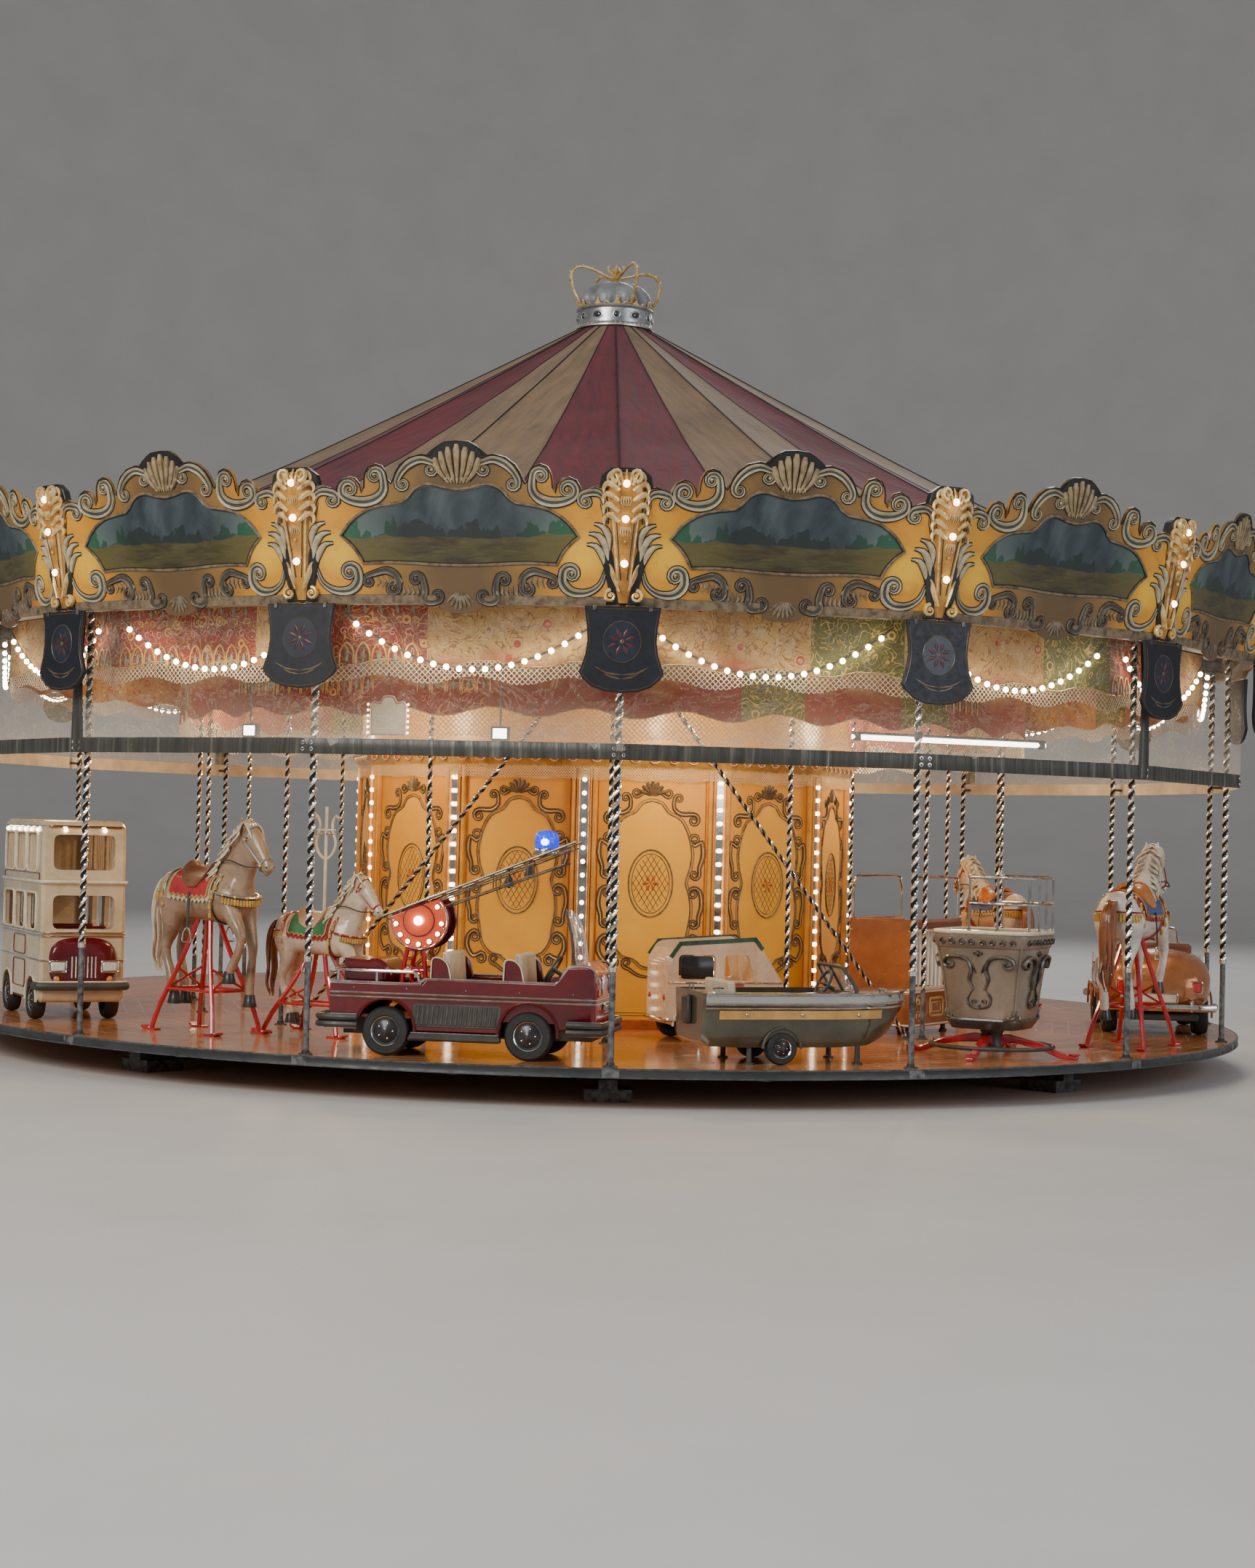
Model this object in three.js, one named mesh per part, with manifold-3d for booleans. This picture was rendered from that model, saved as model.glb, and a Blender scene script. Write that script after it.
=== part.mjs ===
// Fairground carousel: a round deck on a fixed centre, hung on twisted poles under a sixteen-sided
// canopy, with painted rounding boards, a crown, and a ring of children's rides. Millimetres, +Z up,
// origin on the ground on the turning axis. Azimuth 0 is -Y, the front, and grows towards +X.
import * as THREE from 'three';
import { mergeVertices } from 'three/addons/utils/BufferGeometryUtils.js';
import Module from 'manifold-3d';

const wasm = await Module();
wasm.setup();

// Driving dimensions
const BAYS = 16;
const BAY_ANGLE = (2 * Math.PI) / BAYS;
const SEAT_GAP = 0.3;

const DECK_TOP = 263.5;
const DECK_THICKNESS = 27;
const DECK_RADIUS = 5015;
const DECK_HOLE = 2030;
const ROUND_SEGMENTS = 48;
const POLE_SIDES = 6;
const JOIST_WIDTH = 60;
const JOIST_DEPTH = 50;
const RIM_RADIUS = 5035;
const RIM_BOTTOM = 201;

const OUTER_POLE_RING = 4950;
const INNER_POLE_RING = 3250;
const POLE_RADIUS = 20;
const FLANGE_RADIUS = 45;
const FLANGE_HEIGHT = 10;

const SWEEP_BOTTOM = 3120;
const SWEEP_TOP = 3240;
const SWEEP_WIDTH = 60;
const HUB_RADIUS = 600;
const KING_POST_RADIUS = 80;
const HEAD_RADIUS = 420;

const RAIL_INNER = 5030;
const RAIL_OUTER = 5140;
const RAIL_BOTTOM = 3070;
const RAIL_TOP = 3200;
const BOARD_THICKNESS = 22;
const BOARD_LEAN = 0.232;
const CORBEL_RING = 5150;

const CURTAIN_RADIUS = 5050;
const CURTAIN_THICKNESS = 4;
const CURTAIN_BOTTOM = 2140;
const HEM_HEIGHT = 100;
const HEM_THICKNESS = 9;
const OUTER_VALANCE_RING = 4750;
const INNER_VALANCE_RING = 3420;
const VALANCE_THICKNESS = 8;

const ROOF_TOP_RADIUS = 300;
const ROOF_TOP = 5755;
const ROOF_KNEE_RADIUS = 2560;
const ROOF_KNEE = 4520;
const EAVE_RADIUS = 4980;
const EAVE = 3318;
const CANVAS = 12;
const RIB_DEPTH = 60;
const RIB_WIDTH = 50;

const CROWN_RADIUS = 317;
const CROWN_BOTTOM = 5760;
const CROWN_TOP = 6320;

const BASE_TOP = 140;
const BASE_BEAM_DEPTH = 80;
const BASE_REACH = 4500;
const FOOT_PLACES = [-4350, -1800, 1800, 4350];
const FOOT_SIZE = 300;
const MAST_RADIUS = 160;

const DRUM_SIDES = 12;
const DRUM_RADIUS = 1970;
const DRUM_WALL = 30;
const DRUM_TURN = THREE.MathUtils.degToRad(-4.9);
const DRUM_TOP = 3000;
const CORNICE_BOTTOM = 2170;
const CORNICE_TOP = 2300;

const GONDOLA_RING = 4320;
const GONDOLA_AZIMUTH = 37;
const TUB_SEAT = 185;

const ENGINE_AZIMUTH = -11.25;
const ENGINE_RING = 4400;
const ENGINE_SILL = 482;
const ENGINE_BED_FLOOR = 400;
const LADDER_LOW = [-595, 862];
const LADDER_HIGH = [650, 1369];
const REEL_CENTRE = [-346, 845];
const REEL_RADIUS = 190;

const rideFloor = DECK_TOP + SEAT_GAP;

// Solids and joins. Every shape keeps only its corners, merged, with its faces pointing out
function signedVolume(position, index) {
  const [a, b, c] = [new THREE.Vector3(), new THREE.Vector3(), new THREE.Vector3()];
  let volume = 0;
  for (let i = 0; i < index.count; i += 3) {
    a.fromBufferAttribute(position, index.getX(i));
    b.fromBufferAttribute(position, index.getX(i + 1));
    c.fromBufferAttribute(position, index.getX(i + 2));
    volume += a.dot(b.cross(c)) / 6;
  }
  return volume;
}

function outward(geometry) {
  const plain = geometry.clone();
  plain.deleteAttribute('normal');
  plain.deleteAttribute('uv');
  const merged = mergeVertices(plain, 1e-3);
  if (signedVolume(merged.attributes.position, merged.index) < 0) {
    const flipped = Array.from(merged.index.array).reverse();
    merged.setIndex(flipped);
  }
  return merged;
}

function toSolid(geometry) {
  const merged = outward(geometry);
  const mesh = new wasm.Mesh({
    numProp: 3,
    vertProperties: new Float32Array(merged.attributes.position.array),
    triVerts: new Uint32Array(merged.index.array),
  });
  return new wasm.Manifold(mesh);
}

function toGeometry(solid) {
  const mesh = solid.getMesh();
  const geometry = new THREE.BufferGeometry();
  geometry.setAttribute('position', new THREE.BufferAttribute(new Float32Array(mesh.vertProperties), 3));
  geometry.setIndex(new THREE.BufferAttribute(new Uint32Array(mesh.triVerts), 1));
  return geometry;
}

function join(geometries) {
  const [first, ...others] = geometries.map(toSolid);
  return toGeometry(others.reduce((whole, next) => whole.add(next), first));
}

function cut(geometry, tools) {
  const start = toSolid(geometry);
  return toGeometry(tools.map(toSolid).reduce((whole, tool) => whole.subtract(tool), start));
}

// Simple shapes, each given by its real place
function box(xMin, xMax, yMin, yMax, zMin, zMax) {
  const shape = new THREE.BoxGeometry(xMax - xMin, yMax - yMin, zMax - zMin);
  shape.translate((xMin + xMax) / 2, (yMin + yMax) / 2, (zMin + zMax) / 2);
  return shape;
}

function disc(radius, zMin, zMax, sides, x = 0, y = 0) {
  const shape = new THREE.CylinderGeometry(radius, radius, zMax - zMin, sides);
  shape.rotateX(Math.PI / 2);
  shape.translate(x, y, (zMin + zMax) / 2);
  return shape;
}

function wheel(radius, width, x, y, z, sides) {
  const shape = new THREE.CylinderGeometry(radius, radius, width, sides);
  shape.translate(x, y, z);
  return shape;
}

function rod(from, to, radius, sides = 6) {
  const start = new THREE.Vector3(...from);
  const end = new THREE.Vector3(...to);
  const along = end.clone().sub(start);
  const shape = new THREE.CylinderGeometry(radius, radius, along.length(), sides);
  const upright = new THREE.Vector3(0, 1, 0);
  const turn = new THREE.Quaternion().setFromUnitVectors(upright, along.clone().normalize());
  shape.applyQuaternion(turn);
  shape.translate(...start.add(end).multiplyScalar(0.5).toArray());
  return shape;
}

function rail(points, radius, sides = 6) {
  const rods = points.slice(1).map((point, i) => rod(points[i], point, radius, sides));
  return join(rods);
}

// A side view in x and z, given its width across y
function sideCut(points, yMin, yMax) {
  const outline = new THREE.Shape(points.map(([x, z]) => new THREE.Vector2(x, z)));
  const shape = new THREE.ExtrudeGeometry(outline, { depth: yMax - yMin, bevelEnabled: false });
  shape.rotateX(Math.PI / 2);
  shape.translate(0, yMax, 0);
  return shape;
}

// A profile of [radius, z] turned about the vertical axis, with its first corner at azimuth "start"
function turned(profile, segments, start = 0) {
  const points = profile.map(([radius, z]) => new THREE.Vector2(radius, z));
  const shape = new THREE.LatheGeometry(points, segments, start, 2 * Math.PI);
  shape.rotateX(Math.PI / 2);
  return shape;
}

function ring(inner, outer, zMin, zMax, segments, start = 0) {
  return turned([[inner, zMin], [outer, zMin], [outer, zMax], [inner, zMax], [inner, zMin]], segments, start);
}

// A body through oval sections, each one { at, wide, high, lean }, lying across its path in x and z
function loft(sections, sides) {
  const positions = [];
  const index = [];
  sections.forEach(({ at, wide, high, lean = 0 }) => {
    for (let i = 0; i < sides; i += 1) {
      const angle = (2 * Math.PI * (i + 0.5)) / sides;
      const across = wide * Math.cos(angle);
      const up = high * Math.sin(angle);
      positions.push(at[0] - up * Math.sin(lean), at[1] + across, at[2] + up * Math.cos(lean));
    }
  });
  for (let s = 0; s + 1 < sections.length; s += 1) {
    for (let i = 0; i < sides; i += 1) {
      const a = s * sides + i;
      const b = s * sides + ((i + 1) % sides);
      index.push(a, b, a + sides, b, b + sides, a + sides);
    }
  }
  const last = (sections.length - 1) * sides;
  for (let i = 1; i + 1 < sides; i += 1) {
    index.push(0, i + 1, i, last, last + i, last + i + 1);
  }
  const shape = new THREE.BufferGeometry();
  shape.setAttribute('position', new THREE.Float32BufferAttribute(positions, 3));
  shape.setIndex(index);
  return shape;
}

// Colours as they look in the photograph
function paint(color, roughness, metalness = 0) {
  return new THREE.MeshStandardMaterial({ color, roughness, metalness });
}

const paints = {
  steel: paint('#3b3d40', 0.6, 0.5),
  greyPaint: paint('#4a4f52', 0.55, 0.3),
  planks: paint('#b06a35', 0.3),
  chrome: paint('#c9c4b8', 0.2, 1),
  canvasRed: paint('#6e2a26', 0.85),
  gilt: paint('#c79a45', 0.35, 0.4),
  silver: paint('#b9b7b0', 0.3, 0.7),
  vinyl: paint('#cfcabd', 0.15),
  redCloth: paint('#8c2a24', 0.9),
  orangePanel: paint('#e0a04a', 0.45),
  engineRed: paint('#5d161b', 0.25),
  grey: paint('#8b8376', 0.3),
  olive: paint('#8a7848', 0.3),
  copper: paint('#c07a3c', 0.25, 0.3),
  cream: paint('#d8bd90', 0.35),
  gold: paint('#c8954f', 0.4, 0.2),
  whiteHorse: paint('#d8cdb8', 0.4),
  brownHorse: paint('#7d6a54', 0.4),
  creamHorse: paint('#cfb998', 0.4),
};

const carousel = new THREE.Group();
carousel.name = 'fairground_carousel';

function put(name, geometry, material, azimuth = 0) {
  const mesh = new THREE.Mesh(outward(geometry), material);
  mesh.name = name;
  mesh.rotation.z = azimuth;
  carousel.add(mesh);
}

// A ride is modelled at its own origin heading +x, and stands on the deck heading along the turn
function putRide(name, geometry, material, azimuthDegrees, radius) {
  const azimuth = THREE.MathUtils.degToRad(azimuthDegrees);
  const mesh = new THREE.Mesh(outward(geometry), material);
  mesh.name = name;
  mesh.position.set(radius * Math.sin(azimuth), -radius * Math.cos(azimuth), rideFloor);
  mesh.rotation.z = azimuth;
  carousel.add(mesh);
}

// Fixed centre: base frame with feet, mast and drum
function baseFrame() {
  const arms = BAYS / 4;
  const beamBottom = BASE_TOP - BASE_BEAM_DEPTH;
  const pieces = [disc(700, beamBottom, BASE_TOP, 16)];
  for (let i = 0; i < arms; i += 1) {
    const beam = box(-BASE_REACH, BASE_REACH, -60, 60, beamBottom, BASE_TOP);
    const feet = FOOT_PLACES.map((x) => box(
      x - FOOT_SIZE / 2, x + FOOT_SIZE / 2, -FOOT_SIZE / 2, FOOT_SIZE / 2, 0, beamBottom + 20,
    ));
    [beam, ...feet].forEach((piece) => {
      piece.rotateZ((i * Math.PI) / arms);
      pieces.push(piece);
    });
  }
  return join(pieces);
}

function mast() {
  const seat = BASE_TOP + SEAT_GAP;
  const top = SWEEP_BOTTOM - SEAT_GAP;
  return turned([
    [0, seat], [380, seat], [380, seat + 40], [MAST_RADIUS, seat + 40],
    [MAST_RADIUS, top - 120], [340, top - 60], [340, top], [0, top],
  ], 16);
}

function drumCornice() {
  const seat = DRUM_RADIUS + SEAT_GAP / Math.cos(Math.PI / DRUM_SIDES);
  return turned([
    [seat, CORNICE_BOTTOM], [seat + 30, CORNICE_BOTTOM], [seat + 50, CORNICE_BOTTOM + 50],
    [seat + 90, CORNICE_TOP - 30], [seat + 90, CORNICE_TOP], [seat, CORNICE_TOP], [seat, CORNICE_BOTTOM],
  ], DRUM_SIDES, DRUM_TURN);
}

put('base_frame', baseFrame(), paints.steel);
put('centre_mast', mast(), paints.steel);
put(
  'drum_wall',
  ring(DRUM_RADIUS - DRUM_WALL, DRUM_RADIUS, BASE_TOP + SEAT_GAP, DRUM_TOP, DRUM_SIDES, DRUM_TURN),
  paints.orangePanel,
);
put('drum_cornice', drumCornice(), paints.gilt);

// Turning platform: deck, rim, hub, sweeps and poles
function deck() {
  const under = DECK_TOP - DECK_THICKNESS;
  const pieces = [ring(DECK_HOLE, DECK_RADIUS, under, DECK_TOP, ROUND_SEGMENTS)];
  for (let k = 0; k < BAYS; k += 1) {
    const joist = box(-JOIST_WIDTH / 2, JOIST_WIDTH / 2, DECK_HOLE + 60, DECK_RADIUS - 60,
      under - JOIST_DEPTH, under + 10);
    joist.rotateZ((k + 0.5) * BAY_ANGLE);
    pieces.push(joist);
  }
  return join(pieces);
}

function topHub() {
  const headTop = ROOF_TOP - (HEAD_RADIUS - ROOF_TOP_RADIUS) * roofSlope() - CANVAS - RIB_DEPTH - SEAT_GAP;
  return turned([
    [0, SWEEP_BOTTOM], [HUB_RADIUS, SWEEP_BOTTOM], [HUB_RADIUS, SWEEP_TOP],
    [KING_POST_RADIUS * 2, SWEEP_TOP + 60], [KING_POST_RADIUS, SWEEP_TOP + 260],
    [KING_POST_RADIUS, headTop - 120], [HEAD_RADIUS, headTop - 40], [HEAD_RADIUS, headTop],
    [KING_POST_RADIUS, headTop], [KING_POST_RADIUS, CROWN_BOTTOM], [0, CROWN_BOTTOM],
  ], BAYS);
}

function roofSlope() {
  return (ROOF_TOP - ROOF_KNEE) / (ROOF_KNEE_RADIUS - ROOF_TOP_RADIUS);
}

// A twisted pole with its foot flange, at a given distance from the axis
function pole(radius, zMin, zMax) {
  return join([
    disc(POLE_RADIUS, zMin, zMax, POLE_SIDES, 0, -radius),
    disc(FLANGE_RADIUS, zMin, zMin + FLANGE_HEIGHT, POLE_SIDES, 0, -radius),
  ]);
}

// A radial sweep with the inner pole that it carries
function sweep() {
  const start = HUB_RADIUS + SEAT_GAP;
  const end = RAIL_INNER - (SWEEP_WIDTH / 2) * Math.tan(BAY_ANGLE / 2) - SEAT_GAP;
  return join([
    box(-SWEEP_WIDTH / 2, SWEEP_WIDTH / 2, -end, -start, SWEEP_BOTTOM, SWEEP_TOP),
    pole(INNER_POLE_RING, rideFloor, SWEEP_BOTTOM + 20),
  ]);
}

// Two slanting stays from a plate beside the inner pole to the feet of the poles two bays away
function stayPair() {
  const inner = INNER_POLE_RING - 80;
  const plate = box(-70, 70, -inner - 30, -inner + 60, SWEEP_BOTTOM - 60, SWEEP_BOTTOM + 20);
  const rods = [-1, 1].map((side) => {
    const foot = 2 * BAY_ANGLE - 0.03;
    const reach = INNER_POLE_RING - 60;
    const end = [side * reach * Math.sin(foot), -reach * Math.cos(foot), rideFloor + 14];
    const stay = rod([side * 30, -inner + 10, SWEEP_BOTTOM - 30], end, POLE_RADIUS * 0.8, POLE_SIDES);
    const shoe = disc(FLANGE_RADIUS, rideFloor, rideFloor + FLANGE_HEIGHT * 2, POLE_SIDES, end[0], end[1]);
    return join([stay, shoe]);
  });
  const floor = box(-6000, 6000, -6000, 6000, -100, rideFloor);
  return cut(join([plate, ...rods]), [floor]);
}

put('deck', deck(), paints.planks);
put(
  'rim_hoop',
  ring(DECK_RADIUS + SEAT_GAP, RIM_RADIUS, RIM_BOTTOM, DECK_TOP, ROUND_SEGMENTS),
  paints.greyPaint,
);
put('top_hub', topHub(), paints.steel);
for (let k = 0; k < BAYS; k += 1) {
  const number = String(k).padStart(2, '0');
  const outerPole = pole(OUTER_POLE_RING, rideFloor, SWEEP_BOTTOM - SEAT_GAP);
  const stayed = k === 0 || k === BAYS / 2;
  put(`outer_pole_${number}`, outerPole, paints.chrome, k * BAY_ANGLE);
  put(`sweep_${number}`, stayed ? join([sweep(), stayPair()]) : sweep(), paints.chrome, k * BAY_ANGLE);
}

// Canvas roof on sixteen ribs, low in the middle of its slope
function roofCanopy() {
  const canvas = turned([
    [ROOF_TOP_RADIUS, ROOF_TOP - CANVAS], [ROOF_KNEE_RADIUS, ROOF_KNEE - CANVAS],
    [EAVE_RADIUS, EAVE - CANVAS], [EAVE_RADIUS, EAVE], [ROOF_KNEE_RADIUS, ROOF_KNEE],
    [ROOF_TOP_RADIUS, ROOF_TOP], [ROOF_TOP_RADIUS, ROOF_TOP - CANVAS],
  ], BAYS);
  const pieces = [canvas];
  const inside = CANVAS / 2;
  const profile = [
    [ROOF_TOP_RADIUS, ROOF_TOP - inside], [ROOF_TOP_RADIUS, ROOF_TOP - CANVAS - RIB_DEPTH],
    [ROOF_KNEE_RADIUS, ROOF_KNEE - CANVAS - RIB_DEPTH], [EAVE_RADIUS - 20, SWEEP_TOP + SEAT_GAP],
    [EAVE_RADIUS - 20, EAVE - inside + 2], [ROOF_KNEE_RADIUS, ROOF_KNEE - inside],
  ];
  for (let k = 0; k < BAYS; k += 1) {
    const rib = sideCut(profile, -RIB_WIDTH / 2, RIB_WIDTH / 2);
    rib.rotateZ(k * BAY_ANGLE - Math.PI / 2);
    pieces.push(rib);
  }
  return join(pieces);
}

// Crown with its band, puffed cap, eight gilt arches and finial
function crown() {
  const bottom = CROWN_BOTTOM + SEAT_GAP;
  const body = turned([
    [0, bottom], [CROWN_RADIUS, bottom], [CROWN_RADIUS, 5940], [CROWN_RADIUS + 25, 5985],
    [CROWN_RADIUS - 10, 5990], [255, 5960], [270, 6030], [200, 6105], [0, 6135],
  ], 12);
  const finial = turned([[0, 6110], [20, 6120], [20, 6225], [42, 6262], [0, CROWN_TOP]], 6);
  const arches = [];
  for (let i = 0; i < 8; i += 1) {
    const arch = sideCut([
      [290, 5945], [400, 6040], [390, 6135], [230, 6225], [0, 6245],
      [0, 6225], [220, 6205], [370, 6125], [378, 6048], [300, 5970],
    ], -10, 10);
    arch.rotateZ((i + 0.5) * (Math.PI / 4));
    arches.push(arch);
  }
  return join([body, finial, ...arches]);
}

// One side of the board outline, from the bottom corner up to the shell in the middle
const BOARD_HALF = [
  [985, 0], [985, 470], [775, 625], [705, 590], [630, 690], [560, 645],
  [495, 752], [400, 690], [235, 695], [150, 900], [70, 1000],
];
const BOARD_DROP = [[120, -50]];

function board() {
  const right = [...BOARD_DROP, ...BOARD_HALF];
  const left = right.map(([u, v]) => [-u, v]).reverse();
  const outline = [...right, ...left];
  const shape = sideCut(outline, -BOARD_THICKNESS, 0);
  shape.rotateX(BOARD_LEAN);
  return shape;
}

// The bracket at each board joint: a hanging plaque below, then a corbel that widens and leans out.
// Each level is [height, reach out, half width, half thickness]
const BRACKET_LEVELS = [
  [2540, 25, 110, 12], [2660, 25, 258, 12], [2850, 25, 210, 12], [3062, 25, 232, 12],
  [3082, 10, 60, 25], [3600, 105, 130, 58], [3860, 165, 165, 45],
];

function bracket() {
  const positions = [];
  const index = [];
  BRACKET_LEVELS.forEach(([z, reach, half, deep]) => {
    const y = -(CORBEL_RING - 10 + reach);
    positions.push(half, y + deep, z, half * 0.8, y - deep, z, -half * 0.8, y - deep, z, -half, y + deep, z);
  });
  for (let s = 0; s + 1 < BRACKET_LEVELS.length; s += 1) {
    for (let i = 0; i < 4; i += 1) {
      const a = s * 4 + i;
      const b = s * 4 + ((i + 1) % 4);
      index.push(a, a + 4, b, b, a + 4, b + 4);
    }
  }
  const last = (BRACKET_LEVELS.length - 1) * 4;
  index.push(0, 1, 2, 0, 2, 3, last, last + 2, last + 1, last, last + 3, last + 2);
  const shape = new THREE.BufferGeometry();
  shape.setAttribute('position', new THREE.Float32BufferAttribute(positions, 3));
  shape.setIndex(index);
  return shape;
}

function roundingBoards() {
  const pieces = [ring(RAIL_INNER, RAIL_OUTER, RAIL_BOTTOM, RAIL_TOP, BAYS)];
  const apothem = RAIL_OUTER * Math.cos(BAY_ANGLE / 2);
  for (let k = 0; k < BAYS; k += 1) {
    const panel = board();
    panel.translate(0, -apothem + 5, RAIL_BOTTOM);
    panel.rotateZ((k + 0.5) * BAY_ANGLE);
    const corner = bracket();
    corner.rotateZ(k * BAY_ANGLE);
    pieces.push(panel, corner);
  }
  return join(pieces);
}

// Cloth valances with scallops, and the clear curtain with its hem
function valance(radius, top, high, low, scallops) {
  const around = BAYS * scallops;
  const positions = [];
  const index = [];
  for (let i = 0; i < around; i += 1) {
    const angle = (i * 2 * Math.PI) / around;
    const within = ((i / scallops) % 1) * BAY_ANGLE - BAY_ANGLE / 2;
    const distance = (radius * Math.cos(BAY_ANGLE / 2)) / Math.cos(within);
    const bottom = i % 2 === 0 ? high : low;
    [distance, distance + VALANCE_THICKNESS].forEach((r) => {
      positions.push(r * Math.sin(angle), -r * Math.cos(angle), bottom);
      positions.push(r * Math.sin(angle), -r * Math.cos(angle), top);
    });
  }
  for (let i = 0; i < around; i += 1) {
    const a = i * 4;
    const b = ((i + 1) % around) * 4;
    const strips = [[0, 1], [1, 3], [3, 2], [2, 0]];
    strips.forEach(([p, q]) => index.push(a + p, a + q, b + p, b + p, a + q, b + q));
  }
  const shape = new THREE.BufferGeometry();
  shape.setAttribute('position', new THREE.Float32BufferAttribute(positions, 3));
  shape.setIndex(index);
  return shape;
}

function curtain() {
  const hemTop = CURTAIN_BOTTOM + HEM_HEIGHT;
  const inner = CURTAIN_RADIUS - CURTAIN_THICKNESS;
  return turned([
    [inner, RAIL_BOTTOM - SEAT_GAP], [CURTAIN_RADIUS - HEM_THICKNESS, hemTop],
    [CURTAIN_RADIUS - HEM_THICKNESS, CURTAIN_BOTTOM], [CURTAIN_RADIUS + 2, CURTAIN_BOTTOM],
    [CURTAIN_RADIUS + 2, hemTop], [CURTAIN_RADIUS, RAIL_BOTTOM - SEAT_GAP], [inner, RAIL_BOTTOM - SEAT_GAP],
  ], BAYS);
}

const clothTop = SWEEP_BOTTOM - SEAT_GAP;
put('roof_canopy', roofCanopy(), paints.canvasRed);
put('crown', crown(), paints.silver);
put('rounding_boards', roundingBoards(), paints.gilt);
put('weather_curtain', curtain(), paints.vinyl);
put('outer_valance', valance(OUTER_VALANCE_RING, clothTop, 2700, 2600, 2), paints.redCloth);
put('inner_valance', valance(INNER_VALANCE_RING, clothTop, 2540, 2440, 2), paints.redCloth);

// Fire engine, heading +x, with its seats cut in and its wheels fixed
function fireEngine() {
  const halfWidth = 330;
  const outline = [
    [-860, 180], [-860, 450], [-270, 450], [-245, ENGINE_SILL], [590, ENGINE_SILL], [650, 580], [790, 592],
    [840, 520], [840, 180],
  ];
  const body = sideCut(outline, -halfWidth, halfWidth);
  const cockpit = box(-215, 590, -275, 275, 260, 700);
  const bed = box(-800, -265, -275, 275, ENGINE_BED_FLOOR, 700);
  const shell = cut(body, [cockpit, bed]);
  const wheels = [-494, 418].flatMap((x) => [-1, 1].map((side) => wheel(155, 130, x, side * 272, 155, 12)));
  const seats = [-165, 300].map((x) => sideCut([
    [x - 45, 250], [x + 140, 250], [x + 140, 380], [x + 55, 400], [x + 30, 606], [x - 35, 606],
  ], -278, 278));
  const bumpers = [box(830, 880, -345, 345, 165, 235), box(-935, -850, -345, 345, 165, 235)];
  const step = box(-330, 230, -365, 365, 110, 150);
  const sills = box(-340, 240, -300, 300, 130, 190);
  const lamps = [-1, 1].flatMap((side) => [
    rod([830, side * 240, 490], [865, side * 240, 490], 45, 8),
    box(830, 860, side * 240 - 45, side * 240 + 45, 330, 410),
  ]);
  const screen = sideCut([
    [672, 570], [692, 570], [660, 800], [590, 935], [575, 930], [642, 795],
  ], -215, 215);
  return join([shell, ...wheels, ...seats, ...bumpers, step, sills, ...lamps, screen]);
}

// Ladder on its lamp-lit reel and red trestle, with the beacon near its upper end
function fireLadder() {
  const seat = ENGINE_BED_FLOOR + SEAT_GAP;
  const legTop = 740;
  const legs = [-1, 1].flatMap((side) => [
    rod([-449, side * 120, seat + 10], [-400, side * 90, legTop], 14, 4),
    rod([-294, side * 120, seat + 10], [-330, side * 90, legTop], 14, 4),
  ]);
  const foot = [-1, 1].map((side) => box(-465, -280, side * 120 - 20, side * 120 + 20, seat, seat + 20));
  const cross = [box(-465, -435, -140, 140, seat, seat + 20), box(-310, -280, -140, 140, seat, seat + 20)];
  const face = new THREE.Shape();
  face.absarc(0, 0, REEL_RADIUS, THREE.MathUtils.degToRad(174), THREE.MathUtils.degToRad(408), false);
  const reel = new THREE.ExtrudeGeometry(face, { depth: 240, bevelEnabled: false, curveSegments: 9 });
  reel.rotateX(Math.PI / 2);
  reel.translate(REEL_CENTRE[0], 120, REEL_CENTRE[1]);
  const rise = (LADDER_HIGH[1] - LADDER_LOW[1]) / (LADDER_HIGH[0] - LADDER_LOW[0]);
  const height = (x) => LADDER_LOW[1] + (x - LADDER_LOW[0]) * rise;
  const railHalf = 105;
  const [lowX, lowZ] = LADDER_LOW;
  const [highX, highZ] = LADDER_HIGH;
  const rails = [-railHalf, railHalf].flatMap((y) => [
    rod([lowX, y, lowZ], [highX, y, highZ], 11, 4),
    rod([lowX + 60, y, lowZ - 45], [highX - 60, y, highZ - 90], 9, 4),
  ]);
  const rungs = [];
  for (let x = LADDER_LOW[0] + 80; x < LADDER_HIGH[0]; x += 270) {
    rungs.push(rod([x, -railHalf, height(x)], [x, railHalf, height(x)], 8, 4));
    rungs.push(...[-1, 1].map((side) => rod(
      [x, side * railHalf, height(x)], [x + 12, side * railHalf, height(x) - 80], 7, 4,
    )));
  }
  const beaconX = 443;
  const beaconZ = height(beaconX);
  const plate = box(beaconX - 70, beaconX + 70, -railHalf, railHalf, beaconZ - 8, beaconZ + 8);
  const beacon = disc(78, beaconZ, beaconZ + 150, 8, beaconX, 0);
  return join([...legs, ...foot, ...cross, reel, ...rails, ...rungs, plate, beacon]);
}

// Spinning gondola: a spider base that stays, and the tub that turns on it
function gondolaBase() {
  const legs = [];
  for (let i = 0; i < 4; i += 1) {
    const leg = sideCut([[0, 60], [40, 150], [90, 150], [590, 28], [590, 0], [540, 0], [60, 60]], -22, 22);
    leg.rotateZ(i * (Math.PI / 2) + 0.5);
    legs.push(leg);
  }
  const post = disc(75, 50, TUB_SEAT - SEAT_GAP, 12);
  const hoop = ring(395, 425, 55, 85, 24);
  return join([post, hoop, ...legs]);
}

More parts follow.
